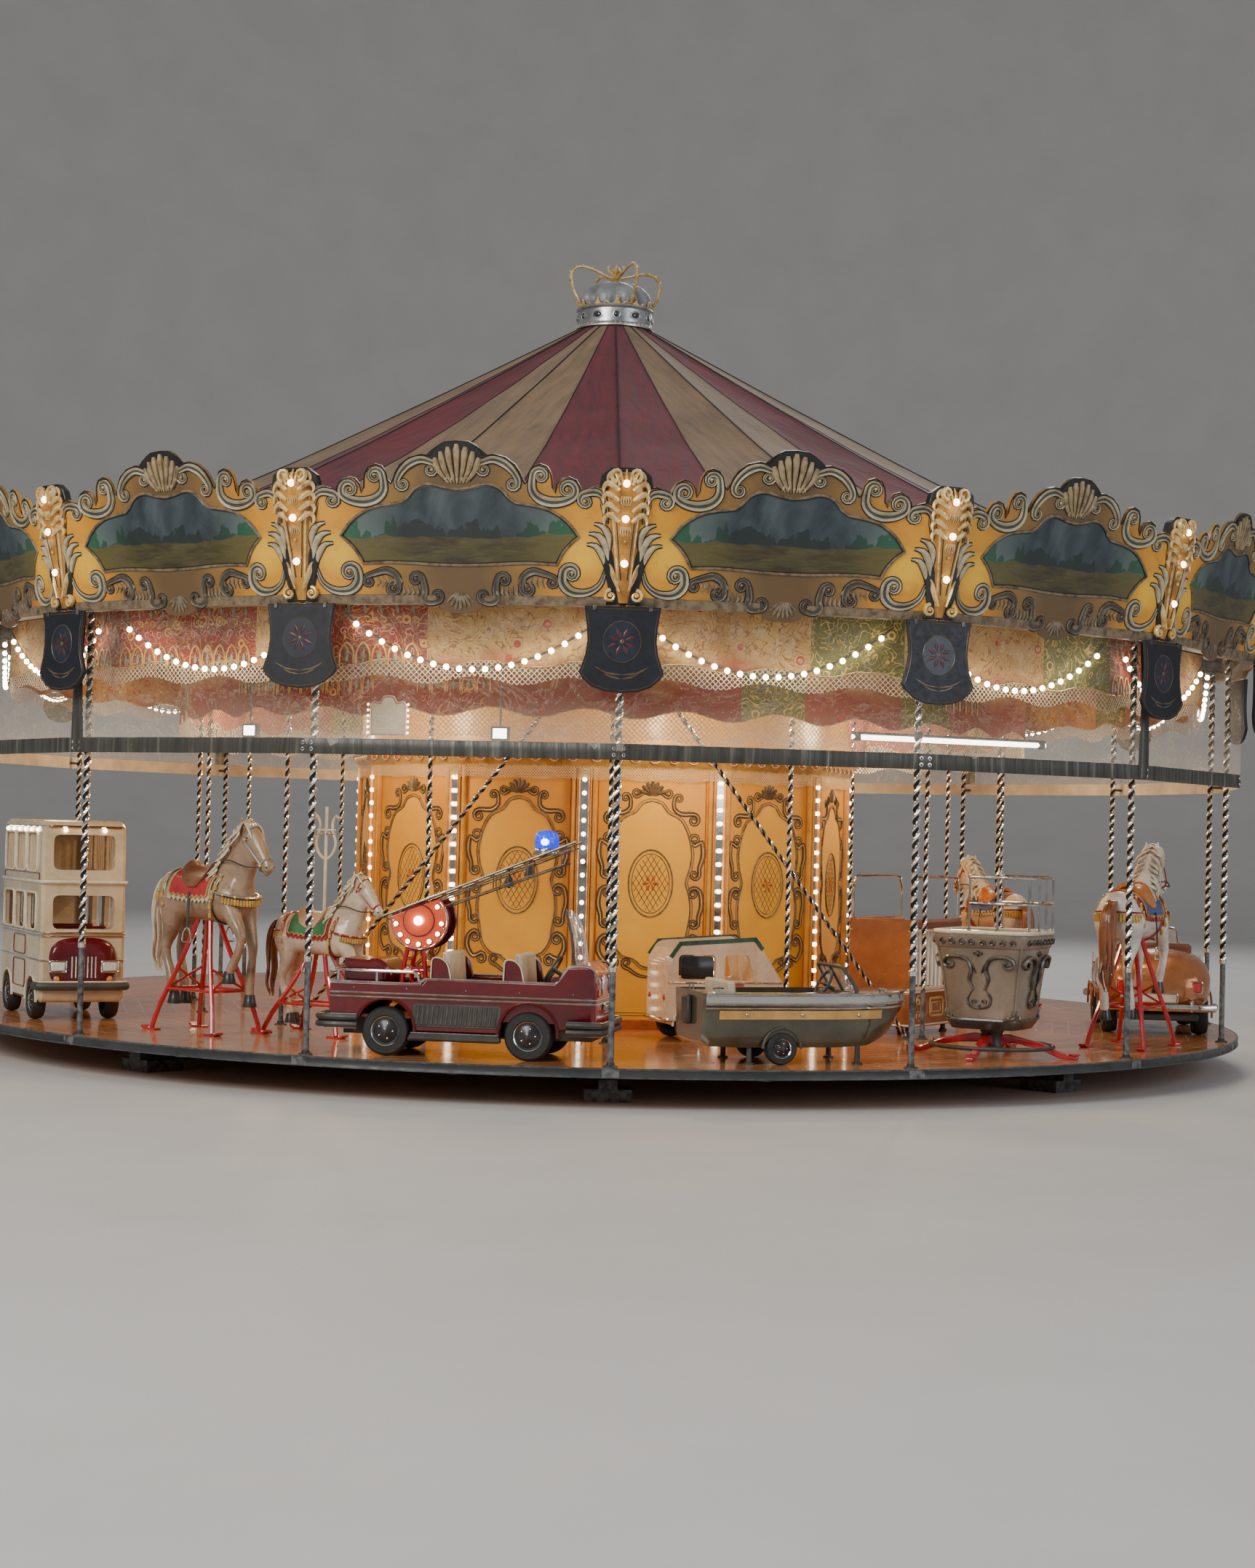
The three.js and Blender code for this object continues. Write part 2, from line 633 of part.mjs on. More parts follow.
function gondolaTub() {
  const wallTop = 835;
  const floor = TUB_SEAT + 30;
  const shell = turned([
    [0, TUB_SEAT], [310, TUB_SEAT], [335, TUB_SEAT + 60], [355, 500], [415, wallTop],
    [390, wallTop], [330, 500], [305, floor], [0, floor],
  ], 12, Math.PI / 12);
  const posts = [];
  const railTop = 1200;
  for (let i = 0; i < 9; i += 2) {
    const angle = ((i + 0.5) * Math.PI) / 6;
    const place = [402 * Math.sin(angle), -402 * Math.cos(angle)];
    posts.push(rod([...place, wallTop - 12], [...place, railTop], 10, 4));
  }
  const corner = (i, z) => {
    const angle = ((i + 0.5) * Math.PI) / 6;
    return [402 * Math.sin(angle), -402 * Math.cos(angle), z];
  };
  const round = (z) => rail([...Array(9).keys()].map((i) => corner(i, z)), 10, 4);
  const bench = ring(190, 345, 500, 530, 12, Math.PI / 12);
  return join([shell, ...posts, round(railTop), round(1025), bench]);
}

// Motor boat on wheels and legs
function motorBoat() {
  const hull = [
    [-700, 130], [-710, 440], [600, 450], [740, 470], [690, 330], [540, 160], [420, 110], [-640, 110],
  ];
  const body = sideCut(hull, -310, 310);
  const well = box(-520, 330, -245, 245, 210, 700);
  const shell = cut(body, [well]);
  const legs = [-380, 350].flatMap((x) => [-1, 1].map((side) => box(
    x - 20, x + 20, side * 250 - 20, side * 250 + 20, 0, 130,
  )));
  const wheels = [-1, 1].map((side) => wheel(105, 70, -180, side * 255, 105, 12));
  const bench = box(-460, -160, -250, 250, 200, 330);
  const screen = sideCut([[330, 445], [350, 445], [250, 620], [235, 615]], -240, 240);
  return join([shell, ...legs, ...wheels, bench, screen]);
}

// Open sports car with a round tail
function sportsCar() {
  const body = loft([
    { at: [-850, 0, 300], wide: 300, high: 120 },
    { at: [-760, 0, 360], wide: 400, high: 215 },
    { at: [-480, 0, 390], wide: 415, high: 265 },
    { at: [300, 0, 380], wide: 415, high: 250 },
    { at: [650, 0, 350], wide: 400, high: 220 },
    { at: [840, 0, 290], wide: 320, high: 130 },
  ], 12);
  const well = box(-430, 250, -290, 290, 250, 900);
  const under = box(-1000, 1000, -600, 600, -100, 170);
  const shell = cut(body, [well, under]);
  const wheels = [-520, 520].flatMap((x) => [-1, 1].map((side) => wheel(150, 110, x, side * 330, 150, 12)));
  const seat = sideCut([
    [-436, 240], [-100, 240], [-100, 360], [-300, 380], [-380, 700], [-436, 690],
  ], -295, 295);
  const bumpers = [-1, 1].flatMap((end) => [
    box(end * 880 - 30, end * 880 + 30, -430, 430, 190, 240),
    box(end * 830 - 40, end * 830 + 40, -200, 200, 195, 235),
  ]);
  const screen = sideCut([[290, 560], [310, 560], [220, 790], [205, 785]], -260, 260);
  return join([shell, ...wheels, seat, ...bumpers, screen]);
}

// Open-sided double-decker bus
function doubleDecker() {
  const halfWidth = 300;
  const shellOutline = [
    [-640, 130], [-640, 1380], [-560, 1430], [560, 1430], [640, 1360], [670, 600], [670, 130],
  ];
  const body = sideCut(shellOutline, -halfWidth, halfWidth);
  const lower = box(-600, 560, -265, 265, 200, 960);
  const upper = box(-600, 590, -265, 265, 1000, 1380);
  const windows = [];
  [[640, 900], [1060, 1330]].forEach(([zMin, zMax]) => {
    windows.push(box(-560, -240, -400, 400, zMin, zMax), box(-190, 130, -400, 400, zMin, zMax));
    windows.push(box(180, 520, -400, 400, zMin, zMax), box(500, 800, -230, 230, zMin, zMax));
  });
  const door = box(-560, -240, 200, 400, 200, 900);
  const shell = cut(body, [lower, upper, ...windows, door]);
  const wheels = [-400, 400].flatMap((x) => [-1, 1].map((side) => wheel(140, 110, x, side * 262, 140, 12)));
  const bumper = box(640, 720, -310, 310, 210, 290);
  const benches = [-100, 300].map((x) => box(x, x + 180, -270, 270, 190, 430));
  return join([shell, ...wheels, bumper, ...benches]);
}

// Circus wagon with side bars and a curved handrail
function circusWagon() {
  const base = sideCut([[-430, 60], [-430, 330], [430, 330], [430, 60]], -260, 260);
  const well = box(-390, 390, -220, 220, 120, 500);
  const pieces = [cut(base, [well])];
  pieces.push(...[-300, 300].flatMap((x) => [-1, 1].map((side) => disc(24, 0, 80, 8, x, side * 180))));
  [-1, 1].forEach((side) => {
    const y = side * 240;
    for (let x = -400; x <= 400; x += 266) {
      pieces.push(rod([x, y, 320], [x, y, 780], 10, 4));
    }
    pieces.push(box(-430, 430, y - 20, y + 20, 770, 850));
    pieces.push(rail([
      [-400, y, 840], [-400, y, 1080], [-330, y, 1160], [330, y, 1160], [400, y, 1080], [400, y, 840],
    ], 11, 4));
  });
  pieces.push(box(-430, -390, -260, 260, 320, 850));
  pieces.push(box(-390, -200, -225, 225, 110, 360));
  return join(pieces);
}

// Camper van with a stepped roof
function camperVan() {
  const outline = [
    [-450, 110], [-450, 560], [-380, 680], [200, 720], [250, 640], [420, 400], [450, 380], [450, 110],
  ];
  const body = sideCut(outline, -230, 230);
  const cabin = box(-400, 230, -190, 190, 180, 900);
  const windows = [box(-380, -90, -300, 300, 420, 600), box(-30, 200, -300, 300, 420, 600)];
  const shell = cut(body, [cabin, ...windows]);
  const wheels = [-270, 270].flatMap((x) => [-1, 1].map((side) => wheel(110, 80, x, side * 205, 110, 12)));
  const bench = box(-405, -200, -195, 195, 170, 340);
  return join([shell, ...wheels, bench]);
}

// Standing horse, heading +x, with its hooves clear of the deck unless its trestle carries it
function horseBody(lift, size) {
  const along = (x, z) => [x * size, 0, lift + z * size];
  const section = (x, z, wide, high, lean = 0) => ({
    at: along(x, z), wide: wide * size, high: high * size, lean,
  });
  const trunk = loft([
    section(-430, 765, 90, 90), section(-340, 765, 165, 160), section(120, 750, 165, 170),
    section(320, 780, 145, 165), section(400, 800, 60, 100),
  ], 8);
  const neck = loft([
    section(230, 820, 100, 160, 0.6), section(350, 1000, 72, 125, 0.8), section(420, 1190, 55, 80, 1.0),
  ], 6);
  const head = loft([
    section(360, 1215, 45, 60, -0.4), section(450, 1170, 65, 85, -0.6), section(570, 1050, 45, 52, -0.7),
    section(640, 970, 36, 34, -0.7),
  ], 6);
  const ears = [-1, 1].map((side) => rod(
    [390 * size, side * 35 * size, lift + 1240 * size],
    [375 * size, side * 50 * size, lift + 1330 * size], 16 * size, 4,
  ));
  const tail = loft([
    section(-400, 830, 40, 45), section(-500, 780, 45, 50), section(-530, 550, 55, 45, 1.4),
    section(-520, 260, 35, 30, 1.4),
  ], 5);
  return [trunk, neck, head, ...ears, tail];
}

function horseLegs(lift, size) {
  const leg = (hip, knee, hoof, side) => {
    const y = side * 85 * size;
    const joint = ([x, z]) => [x * size, y, lift + z * size];
    return [
      rod(joint(hip), joint(knee), 48 * size, 4), rod(joint(knee), joint(hoof), 30 * size, 4),
      rod(joint(hoof), joint([hoof[0] + 12, hoof[1] - 60]), 42 * size, 4),
    ];
  };
  return [
    ...leg([300, 700], [380, 430], [350, 120], 1), ...leg([300, 700], [450, 480], [330, 260], -1),
    ...leg([-320, 720], [-400, 400], [-330, 90], 1), ...leg([-320, 720], [-350, 390], [-250, 90], -1),
  ];
}

// The red trestle below a horse, standing on four feet
function trestle(lift, size) {
  const top = lift + 640 * size;
  const pieces = [box(-90, 90, -40, 40, top - 30, top + 40)];
  [-1, 1].forEach((end) => {
    [-1, 1].forEach((side) => {
      pieces.push(rod([end * 60, side * 25, top - 10], [end * 320, side * 210, 12], 15, 4));
      pieces.push(box(end * 320 - 45, end * 320 + 45, side * 210 - 25, side * 210 + 25, 0, 12));
    });
  });
  return pieces;
}

function horse(lift, size) {
  return join([...horseBody(lift, size), ...horseLegs(lift, size), ...trestle(lift, size)]);
}

putRide('fire_engine', fireEngine(), paints.engineRed, ENGINE_AZIMUTH, ENGINE_RING);
putRide('fire_engine_ladder', fireLadder(), paints.engineRed, ENGINE_AZIMUTH, ENGINE_RING);
putRide('gondola_base', gondolaBase(), paints.engineRed, GONDOLA_AZIMUTH, GONDOLA_RING);
putRide('gondola_tub', gondolaTub(), paints.grey, GONDOLA_AZIMUTH, GONDOLA_RING);
putRide('motor_boat', motorBoat(), paints.olive, 15.5, 4400);
putRide('sports_car', sportsCar(), paints.copper, 82, 4370);
putRide('double_decker_bus', doubleDecker(), paints.cream, -66, 4350);
putRide('circus_wagon', circusWagon(), paints.gold, 56, 2740);
putRide('camper_van', camperVan(), paints.cream, 17, 2720);
putRide('white_horse', horse(200, 0.95), paints.whiteHorse, 57, 4500);
putRide('brown_horse', horse(170, 0.98), paints.brownHorse, -42.5, 4050);
putRide('cream_horse', horse(60, 0.8), paints.creamHorse, -33.5, 3560);
putRide('back_horse', horse(120, 0.9), paints.creamHorse, 118, 4000);
putRide('back_boat', motorBoat(), paints.olive, 152, 4400);
putRide('back_car', sportsCar(), paints.copper, 200, 4370);

export default carousel;
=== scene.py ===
import math

import bmesh
import bpy
import numpy as np
from mathutils import Matrix, Vector


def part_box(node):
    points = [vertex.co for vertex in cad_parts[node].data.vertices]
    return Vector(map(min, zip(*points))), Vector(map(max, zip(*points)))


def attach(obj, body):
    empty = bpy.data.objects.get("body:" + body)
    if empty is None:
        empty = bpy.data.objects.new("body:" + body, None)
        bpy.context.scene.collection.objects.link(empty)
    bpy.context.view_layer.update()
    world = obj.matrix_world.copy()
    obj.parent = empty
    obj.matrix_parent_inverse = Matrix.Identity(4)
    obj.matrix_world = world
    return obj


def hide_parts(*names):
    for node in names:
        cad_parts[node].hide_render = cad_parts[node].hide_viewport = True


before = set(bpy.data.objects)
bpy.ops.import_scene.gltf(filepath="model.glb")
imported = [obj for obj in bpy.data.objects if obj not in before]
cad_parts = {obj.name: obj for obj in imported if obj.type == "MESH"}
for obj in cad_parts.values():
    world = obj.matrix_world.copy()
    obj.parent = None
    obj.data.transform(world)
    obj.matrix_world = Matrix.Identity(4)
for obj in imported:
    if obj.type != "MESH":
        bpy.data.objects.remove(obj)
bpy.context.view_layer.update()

TURN = 2 * math.pi
BAYS = 16
BAY = TURN / BAYS
QUARTER = math.pi / 2
DRUM_SIDES = 12

# The innermost radius of a turned shape that closes on its axis
AXIS = 0.0001

# Smooth paths take this many times the spacing that is asked for, which keeps the triangles down
PATH_STEP = 1.65

# Steps of the large rings round the edges of the deck
RING_STEPS = 192

# Sizes of the frame, in metres
DECK_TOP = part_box("deck")[1].z
DECK_INNER = 2.030
DECK_OUTER = 5.015
DECK_THICKNESS = 0.027
FLOOR_GAP = 0.0003
RIM_LOW, RIM_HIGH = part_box("rim_hoop")
RIM_RADIUS = RIM_HIGH.x
SWEEP_BOTTOM = 3.120
POLE_RING = 4.950
INNER_RING = 3.250
POLE_RADIUS = 0.020
RAIL_BOTTOM = 3.070
RAIL_RING = 5.140
CURTAIN_RING = 5.050
CURTAIN_BOTTOM = 2.140
HEM_HEIGHT = 0.100
CURTAIN_FIRST_BAY = 2
OUTER_VALANCE_RING = 4.750
INNER_VALANCE_RING = 3.420
DRUM_RADIUS = 1.970
DRUM_TURN = math.radians(-4.9)
CORNICE_BOTTOM = 2.170
CORNICE_TOP = 2.300
CROWN_BOTTOM = 5.760
BOARD_LEAN = 0.232
BOARD_THICKNESS = 0.022


def new_object(name, data):
    made = bpy.data.objects.new(name, data)
    bpy.context.scene.collection.objects.link(made)
    return made


def new_mesh(name, shape):
    mesh = bpy.data.meshes.new(name)
    mesh.from_pydata(shape.points.tolist(), [], shape.faces)
    return mesh


def face_outwards(mesh):
    made = bmesh.new()
    made.from_mesh(mesh)
    bmesh.ops.recalc_face_normals(made, faces=made.faces)
    made.to_mesh(mesh)
    made.free()


# Camera at the photograph's viewing angle
def set_camera():
    focal_pixels = 3448
    photo_height = 2156
    distance = 20.30
    eye_height = 1.70
    pitch, roll, yaw = 0.0193, 0.0254, -0.0098
    object_turn = 0.0181

    def about(axis, angle):
        return np.array(Matrix.Rotation(angle, 3, axis))

    looking_north = np.array([[1, 0, 0], [0, 0, -1], [0, 1, 0]], float)
    axes = about("Z", roll) @ about("X", -pitch) @ looking_north @ about("Z", -yaw)
    into_object = about("Z", -object_turn)
    right, down, forward = (into_object @ axes[i] for i in range(3))
    place = into_object @ np.array([0, -distance, eye_height])
    data = bpy.data.cameras.new("camera")
    data.sensor_width = 36
    data.lens = focal_pixels * data.sensor_width / photo_height
    data.clip_end = 300
    camera = new_object("camera", data)
    matrix = Matrix.Identity(4)
    for row in range(3):
        matrix[row][0] = right[row]
        matrix[row][1] = -down[row]
        matrix[row][2] = -forward[row]
        matrix[row][3] = place[row]
    camera.matrix_world = matrix
    bpy.context.scene.camera = camera


set_camera()


# Shapes: corner points, faces as lists of point numbers, and a place on the surface for each point
class Shape:
    def __init__(self, points, faces, spread=None, tones=None):
        self.points = np.asarray(points, float).reshape(-1, 3)
        self.faces = faces
        self.spread = spread
        self.tones = tones


def moved(shape, matrix):
    grid = np.array(matrix)
    points = shape.points @ grid[:3, :3].T + grid[:3, 3]
    return Shape(points, shape.faces, shape.spread, shape.tones)


def joined(shapes):
    points, faces, spread, tones, start = [], [], [], [], 0
    for shape in shapes:
        points.append(shape.points)
        faces.extend([tuple(corner + start for corner in face) for face in shape.faces])
        own = shape.spread if shape.spread is not None else shape.points[:, :2]
        spread.append(own)
        tones.extend(shape.tones or [])
        start += len(shape.points)
    return Shape(np.vstack(points), faces, np.vstack(spread), tones if len(tones) == len(faces) else None)


def about_z(angle):
    return Matrix.Rotation(angle, 4, "Z")


def polar(radius, angle, z):
    """The point at an azimuth, which is counted from -y."""
    return radius * math.sin(angle), -radius * math.cos(angle), z


def in_bay(angle):
    """The angle from the middle of the bay that it falls in."""
    return (angle % BAY) - BAY / 2


def straight(ring, angle):
    """The radius of a ring that runs straight from pole to pole."""
    return ring * math.cos(BAY / 2) / math.cos(in_bay(angle))


def round_steps(count):
    """Equal steps of angle round a circle."""
    return np.linspace(0, TURN, count, endpoint=False)


def upright(out, rise=0.0):
    """Stands a flat shape up: its y becomes z, and its z points outwards, along -y."""
    return Matrix(((1, 0, 0, 0), (0, 0, -1, -out), (0, 1, 0, rise), (0, 0, 0, 1)))


def shift(x, y, z):
    return Matrix.Translation((x, y, z))


def tilt(axis, angle):
    return Matrix.Rotation(angle, 4, axis)


def mirrored(shape, axis=0):
    points = shape.points.copy()
    points[:, axis] *= -1
    return Shape(points, [tuple(reversed(face)) for face in shape.faces], shape.spread, shape.tones)


def doubled(shapes):
    """The shapes with their mirror images across x."""
    one = joined(shapes)
    return joined([one, mirrored(one)])


def around(shape, count=BAYS, first=0.0):
    """Copies of a shape about the vertical axis."""
    return joined([moved(shape, about_z(first + TURN * k / count)) for k in range(count)])


def ride_place(azimuth_degrees, ring, height=DECK_TOP):
    """The frame of a ride: x along the turn, -y outwards, z up from the deck."""
    azimuth = math.radians(azimuth_degrees)
    return shift(*polar(ring, azimuth, height)) @ about_z(azimuth)


def skin(rows, close_rows=False, close_columns=False, spread=None):
    """A surface over a grid of points, rows by columns."""
    rows = np.asarray(rows, float)
    height, width = rows.shape[:2]
    faces = []
    for i in range(height if close_rows else height - 1):
        for j in range(width if close_columns else width - 1):
            below = ((i + 1) % height) * width
            side = (j + 1) % width
            faces.append((i * width + j, i * width + side, below + side, below + j))
    return Shape(rows.reshape(-1, 3), faces, spread)


def capped(shape, width, height):
    """Closes both ends of a skin whose columns are closed."""
    shape.faces.append(tuple(range(width)))
    shape.faces.append(tuple(range((height - 1) * width, height * width)))
    return shape


def smooth_path(points, spacing, closed=False):
    """A curve through the given points, with a point every spacing or so."""
    points = np.asarray(points, float)
    count = len(points)
    if closed:
        padded = np.vstack([points[-1], points, points[0], points[1]])
        spans = count
    else:
        first = 2 * points[0] - points[1]
        last = 2 * points[-1] - points[-2]
        padded = np.vstack([first, points, last])
        spans = count - 1
    made = []
    for i in range(spans):
        before, start, end, after = padded[i:i + 4]
        steps = max(1, int(math.ceil(np.linalg.norm(end - start) / (spacing * PATH_STEP))))
        for step in range(steps):
            t = step / steps
            made.append(0.5 * (2 * start + (end - before) * t
                + (2 * before - 5 * start + 4 * end - after) * t ** 2
                + (3 * start - before - 3 * end + after) * t ** 3))
    if not closed:
        made.append(points[-1])
    return np.array(made)


def tube(path, radius, sides=8, closed=False, flat=1.0, up=(0, 0, 1), phase=0.0):
    """A round or flattened bar along a path of points; radius is one number or one for each point."""
    path = np.asarray(path, float)
    count = len(path)
    radii = np.full(count, radius, float) if np.isscalar(radius) else np.asarray(radius, float)
    if closed:
        along = np.roll(path, -1, 0) - np.roll(path, 1, 0)
    else:
        along = np.gradient(path, axis=0)
    along /= np.maximum(np.linalg.norm(along, axis=1, keepdims=True), 1e-9)
    side = np.cross(along[0], up)
    if np.linalg.norm(side) < 1e-3:
        side = np.cross(along[0], (0, 1, 0.01))
    angles = phase + np.arange(sides) * TURN / sides
    rows = []
    for i in range(count):
        side = side - along[i] * np.dot(side, along[i])
        side /= np.linalg.norm(side)
        other = np.cross(along[i], side)
        ring = np.outer(np.cos(angles), side) + np.outer(np.sin(angles) * flat, other)
        rows.append(path[i] + ring * radii[i])
    shape = skin(rows, closed, True)
    if not closed:
        capped(shape, sides, count)
    return shape


def laid(outline, axis, level):
    """A flat outline in space, at one level of the given axis."""
    return np.insert(np.asarray(outline, float), axis, level, 1)


def flat_loop(outline, axis, level, radius, sides=6):
    return tube(laid(outline, axis, level), radius, sides, True)


def rod(start, end, radius, sides=8):
    return tube([start, end], radius, sides)


def lathe(profile, segments=24, start=0.0, sweep=TURN):
    """A profile of (radius, height) turned about the vertical axis; azimuth 0 is -Y."""
    whole = abs(sweep - TURN) < 1e-6
    angles = start + np.arange(segments if whole else segments + 1) * sweep / segments
    rows = [[polar(r, a, z) for a in angles] for r, z in profile]
    return skin(rows, False, whole)


def inset(outline, distance):
    """The outline moved inwards; it runs anticlockwise."""
    outline = np.asarray(outline, float)
    before = outline - np.roll(outline, 1, 0)
    after = np.roll(outline, -1, 0) - outline

    def normals(edge):
        edge = edge / np.maximum(np.linalg.norm(edge, axis=1, keepdims=True), 1e-9)
        return np.stack([-edge[:, 1], edge[:, 0]], 1)

    joint = normals(before) + normals(after)
    length = np.maximum(np.linalg.norm(joint, axis=1, keepdims=True), 0.6)
    return outline + joint / length ** 2 * 2 * distance


def signed_area(outline):
    x, y = np.asarray(outline, float).T
    return 0.5 * np.sum(x * np.roll(y, -1) - np.roll(x, -1) * y)


def prism(outline, low, high, bevel=0.0, both=False):
    """A flat outline in x and y as a plate from height low to high, with eased edges."""
    outline = np.asarray(outline, float)
    if signed_area(outline) < 0:
        outline = outline[::-1]
    levels = []
    if both and bevel:
        levels.append((inset(outline, bevel), low))
        levels.append((outline, low + bevel))
    else:
        levels.append((outline, low))
    if bevel:
        levels.append((outline, high - bevel))
        levels.append((inset(outline, bevel), high))
    else:
        levels.append((outline, high))
    rows = [laid(flat, 2, z) for flat, z in levels]
    shape = skin(rows, False, True)
    return capped(shape, len(outline), len(levels))


def block(x0, x1, y0, y1, z0, z1, bevel=0.004):
    """A box with eased edges."""
    bevel = min(bevel, (x1 - x0) / 2.1, (y1 - y0) / 2.1, (z1 - z0) / 2.1)
    corners = []
    for sx, x in ((1, x0), (-1, x1)):
        for sy, y in ((1, y0), (-1, y1)):
            for sz, z in ((1, z0), (-1, z1)):
                corners.append((x + sx * bevel, y + sy * bevel, z))
                corners.append((x + sx * bevel, y, z + sz * bevel))
                corners.append((x, y + sy * bevel, z + sz * bevel))
    made = bmesh.new()
    for corner in corners:
        made.verts.new(corner)
    bmesh.ops.convex_hull(made, input=made.verts)
    made.verts.ensure_lookup_table()
    made.verts.index_update()
    points = [tuple(v.co) for v in made.verts]
    faces = [tuple(v.index for v in face.verts) for face in made.faces]
    made.free()
    return Shape(points, faces)


def ball(centre, radius, segments=8, rings=5, squash=1.0):
    profile = [(max(radius * math.sin(math.pi * i / rings), 1e-5),
        -radius * squash * math.cos(math.pi * i / rings)) for i in range(rings + 1)]
    return moved(lathe(profile, segments), shift(*centre))


def loft(sections, sides=16, power=2.0):
    """A closed body through sections across the x axis, each (x, y, z, half width, half height)."""
    rows = []
    for x, y, z, wide, high in sections:
        ring = []
        for j in range(sides):
            angle = TURN * (j + 0.5) / sides
            c, s = math.cos(angle), math.sin(angle)
            across = math.copysign(abs(c) ** (2 / power), c) * wide
            rise = math.copysign(abs(s) ** (2 / power), s) * high
            ring.append((x, y + across, z + rise))
        rows.append(ring)
    return capped(skin(rows, False, True), sides, len(rows))


def side_plate(outline, y0, y1, bevel=0.0):
    """An outline in x and z as a plate from y0 to y1."""
    flat = prism(outline, -y1, -y0, bevel, both=True)
    return moved(flat, tilt("X", QUARTER))


def twisted(start, end, radius, pitch=0.150, strands=2, step=0.0165, depth=0.40):
    """A rope-twisted bar with bright strands; the faces in the grooves between them are painted dark, a
    painted shade and dark reflection.
    """
    start, end = Vector(start), Vector(end)
    along = end - start
    count = max(2, int(along.length / step) + 1)
    turn = along.to_track_quat("Z", "Y").to_matrix()
    round_strand = np.array([1.0, 1 - depth * 0.2, 1 - depth * 0.8, 1 - depth, 1 - depth * 0.8,
        1 - depth * 0.2])
    sides = strands * len(round_strand)
    base = np.arange(sides) * TURN / sides
    reach = radius * np.tile(round_strand, strands)
    rows = []
    for i in range(count):
        z = along.length * i / (count - 1)
        angles = base + TURN * z / pitch
        rows.append(np.column_stack([reach * np.cos(angles), reach * np.sin(angles), np.full(sides, z)]))
    shape = skin(rows, False, True)
    # Faces in the grooves take the dark groove paint: painted shade and a painted dark reflection.
    shape.tones = ["chrome" if number % 6 in (0, 4, 5) else "groove" for number in range(len(shape.faces))]
    matrix = turn.to_4x4()
    matrix.translation = start
    return moved(shape, matrix)


# Sections of a raised strip, as (across, up) from -1 to 1
ROUND_TOP = ((-1, 0), (-0.7, 0.75), (0, 1), (0.7, 0.75), (1, 0))
PEAKED = ((-1, 0), (0, 1), (1, 0))
FLAT = ((-1, 0), (1, 0))


# Flat ornament, drawn in x and y and raised along z
def curl(centre, reach, start, turns, inner=0.22):
    """A spiral from its outer end at angle start, winding in; negative turns wind clockwise."""
    count = max(8, int(abs(turns) * 11))
    t = np.linspace(0, 1, count)
    angles = start + TURN * turns * t
    radius = reach * (1 - (1 - inner) * t)
    return np.stack([centre[0] + radius * np.cos(angles), centre[1] + radius * np.sin(angles)], 1)


def line_sides(path):
    along = np.gradient(path, axis=0)
    along /= np.maximum(np.linalg.norm(along, axis=1, keepdims=True), 1e-9)
    return np.stack([-along[:, 1], along[:, 0]], 1)


def taper(path, width, ease=0.09, least=0.3):
    steps = np.linalg.norm(np.diff(path, axis=0), axis=1)
    run = np.concatenate([[0], np.cumsum(steps)])
    near = np.minimum(run, run[-1] - run)
    return width * np.minimum(1, least + (1 - least) * near / ease)


def strip(path, widths, sections, base=0.0, height=0.01):
    """A raised strip along a flat path; sections are (across, up) from -1 to 1."""
    sides = line_sides(path)
    full = widths.max()
    columns = []
    for across, up in sections:
        spot = path + sides * (widths * across)[:, None]
        rise = base + height * up * np.minimum(1, widths / full + 0.2)
        columns.append(np.column_stack([spot, rise]))
    return np.stack(columns, 1)


def scroll_band(path, width, base, height, tone="scroll", hollow="hollow", ease=0.42, least=0.2):
    """A scroll with two bright edges and a hollow between, and the flat dark outline under it."""
    widths = taper(path, width, ease, least)
    band = skin(strip(path, widths, ((-1, 0), (-0.84, 1), (-0.34, 0.45), (0.3, 0.45), (0.84, 1), (1, 0)),
        base, height))
    band.tones = [hollow if number % 5 == 2 else tone for number in range(len(band.faces))]
    outline = skin(strip(path, widths + 0.0075, FLAT, base + 0.0006, 0.0))
    return band, outline


def ridge(path, width, base, height, ease=0.05, least=0.15):
    """A plain round-topped stroke."""
    widths = taper(path, width, ease, least)
    return skin(strip(path, widths, ROUND_TOP, base, height))


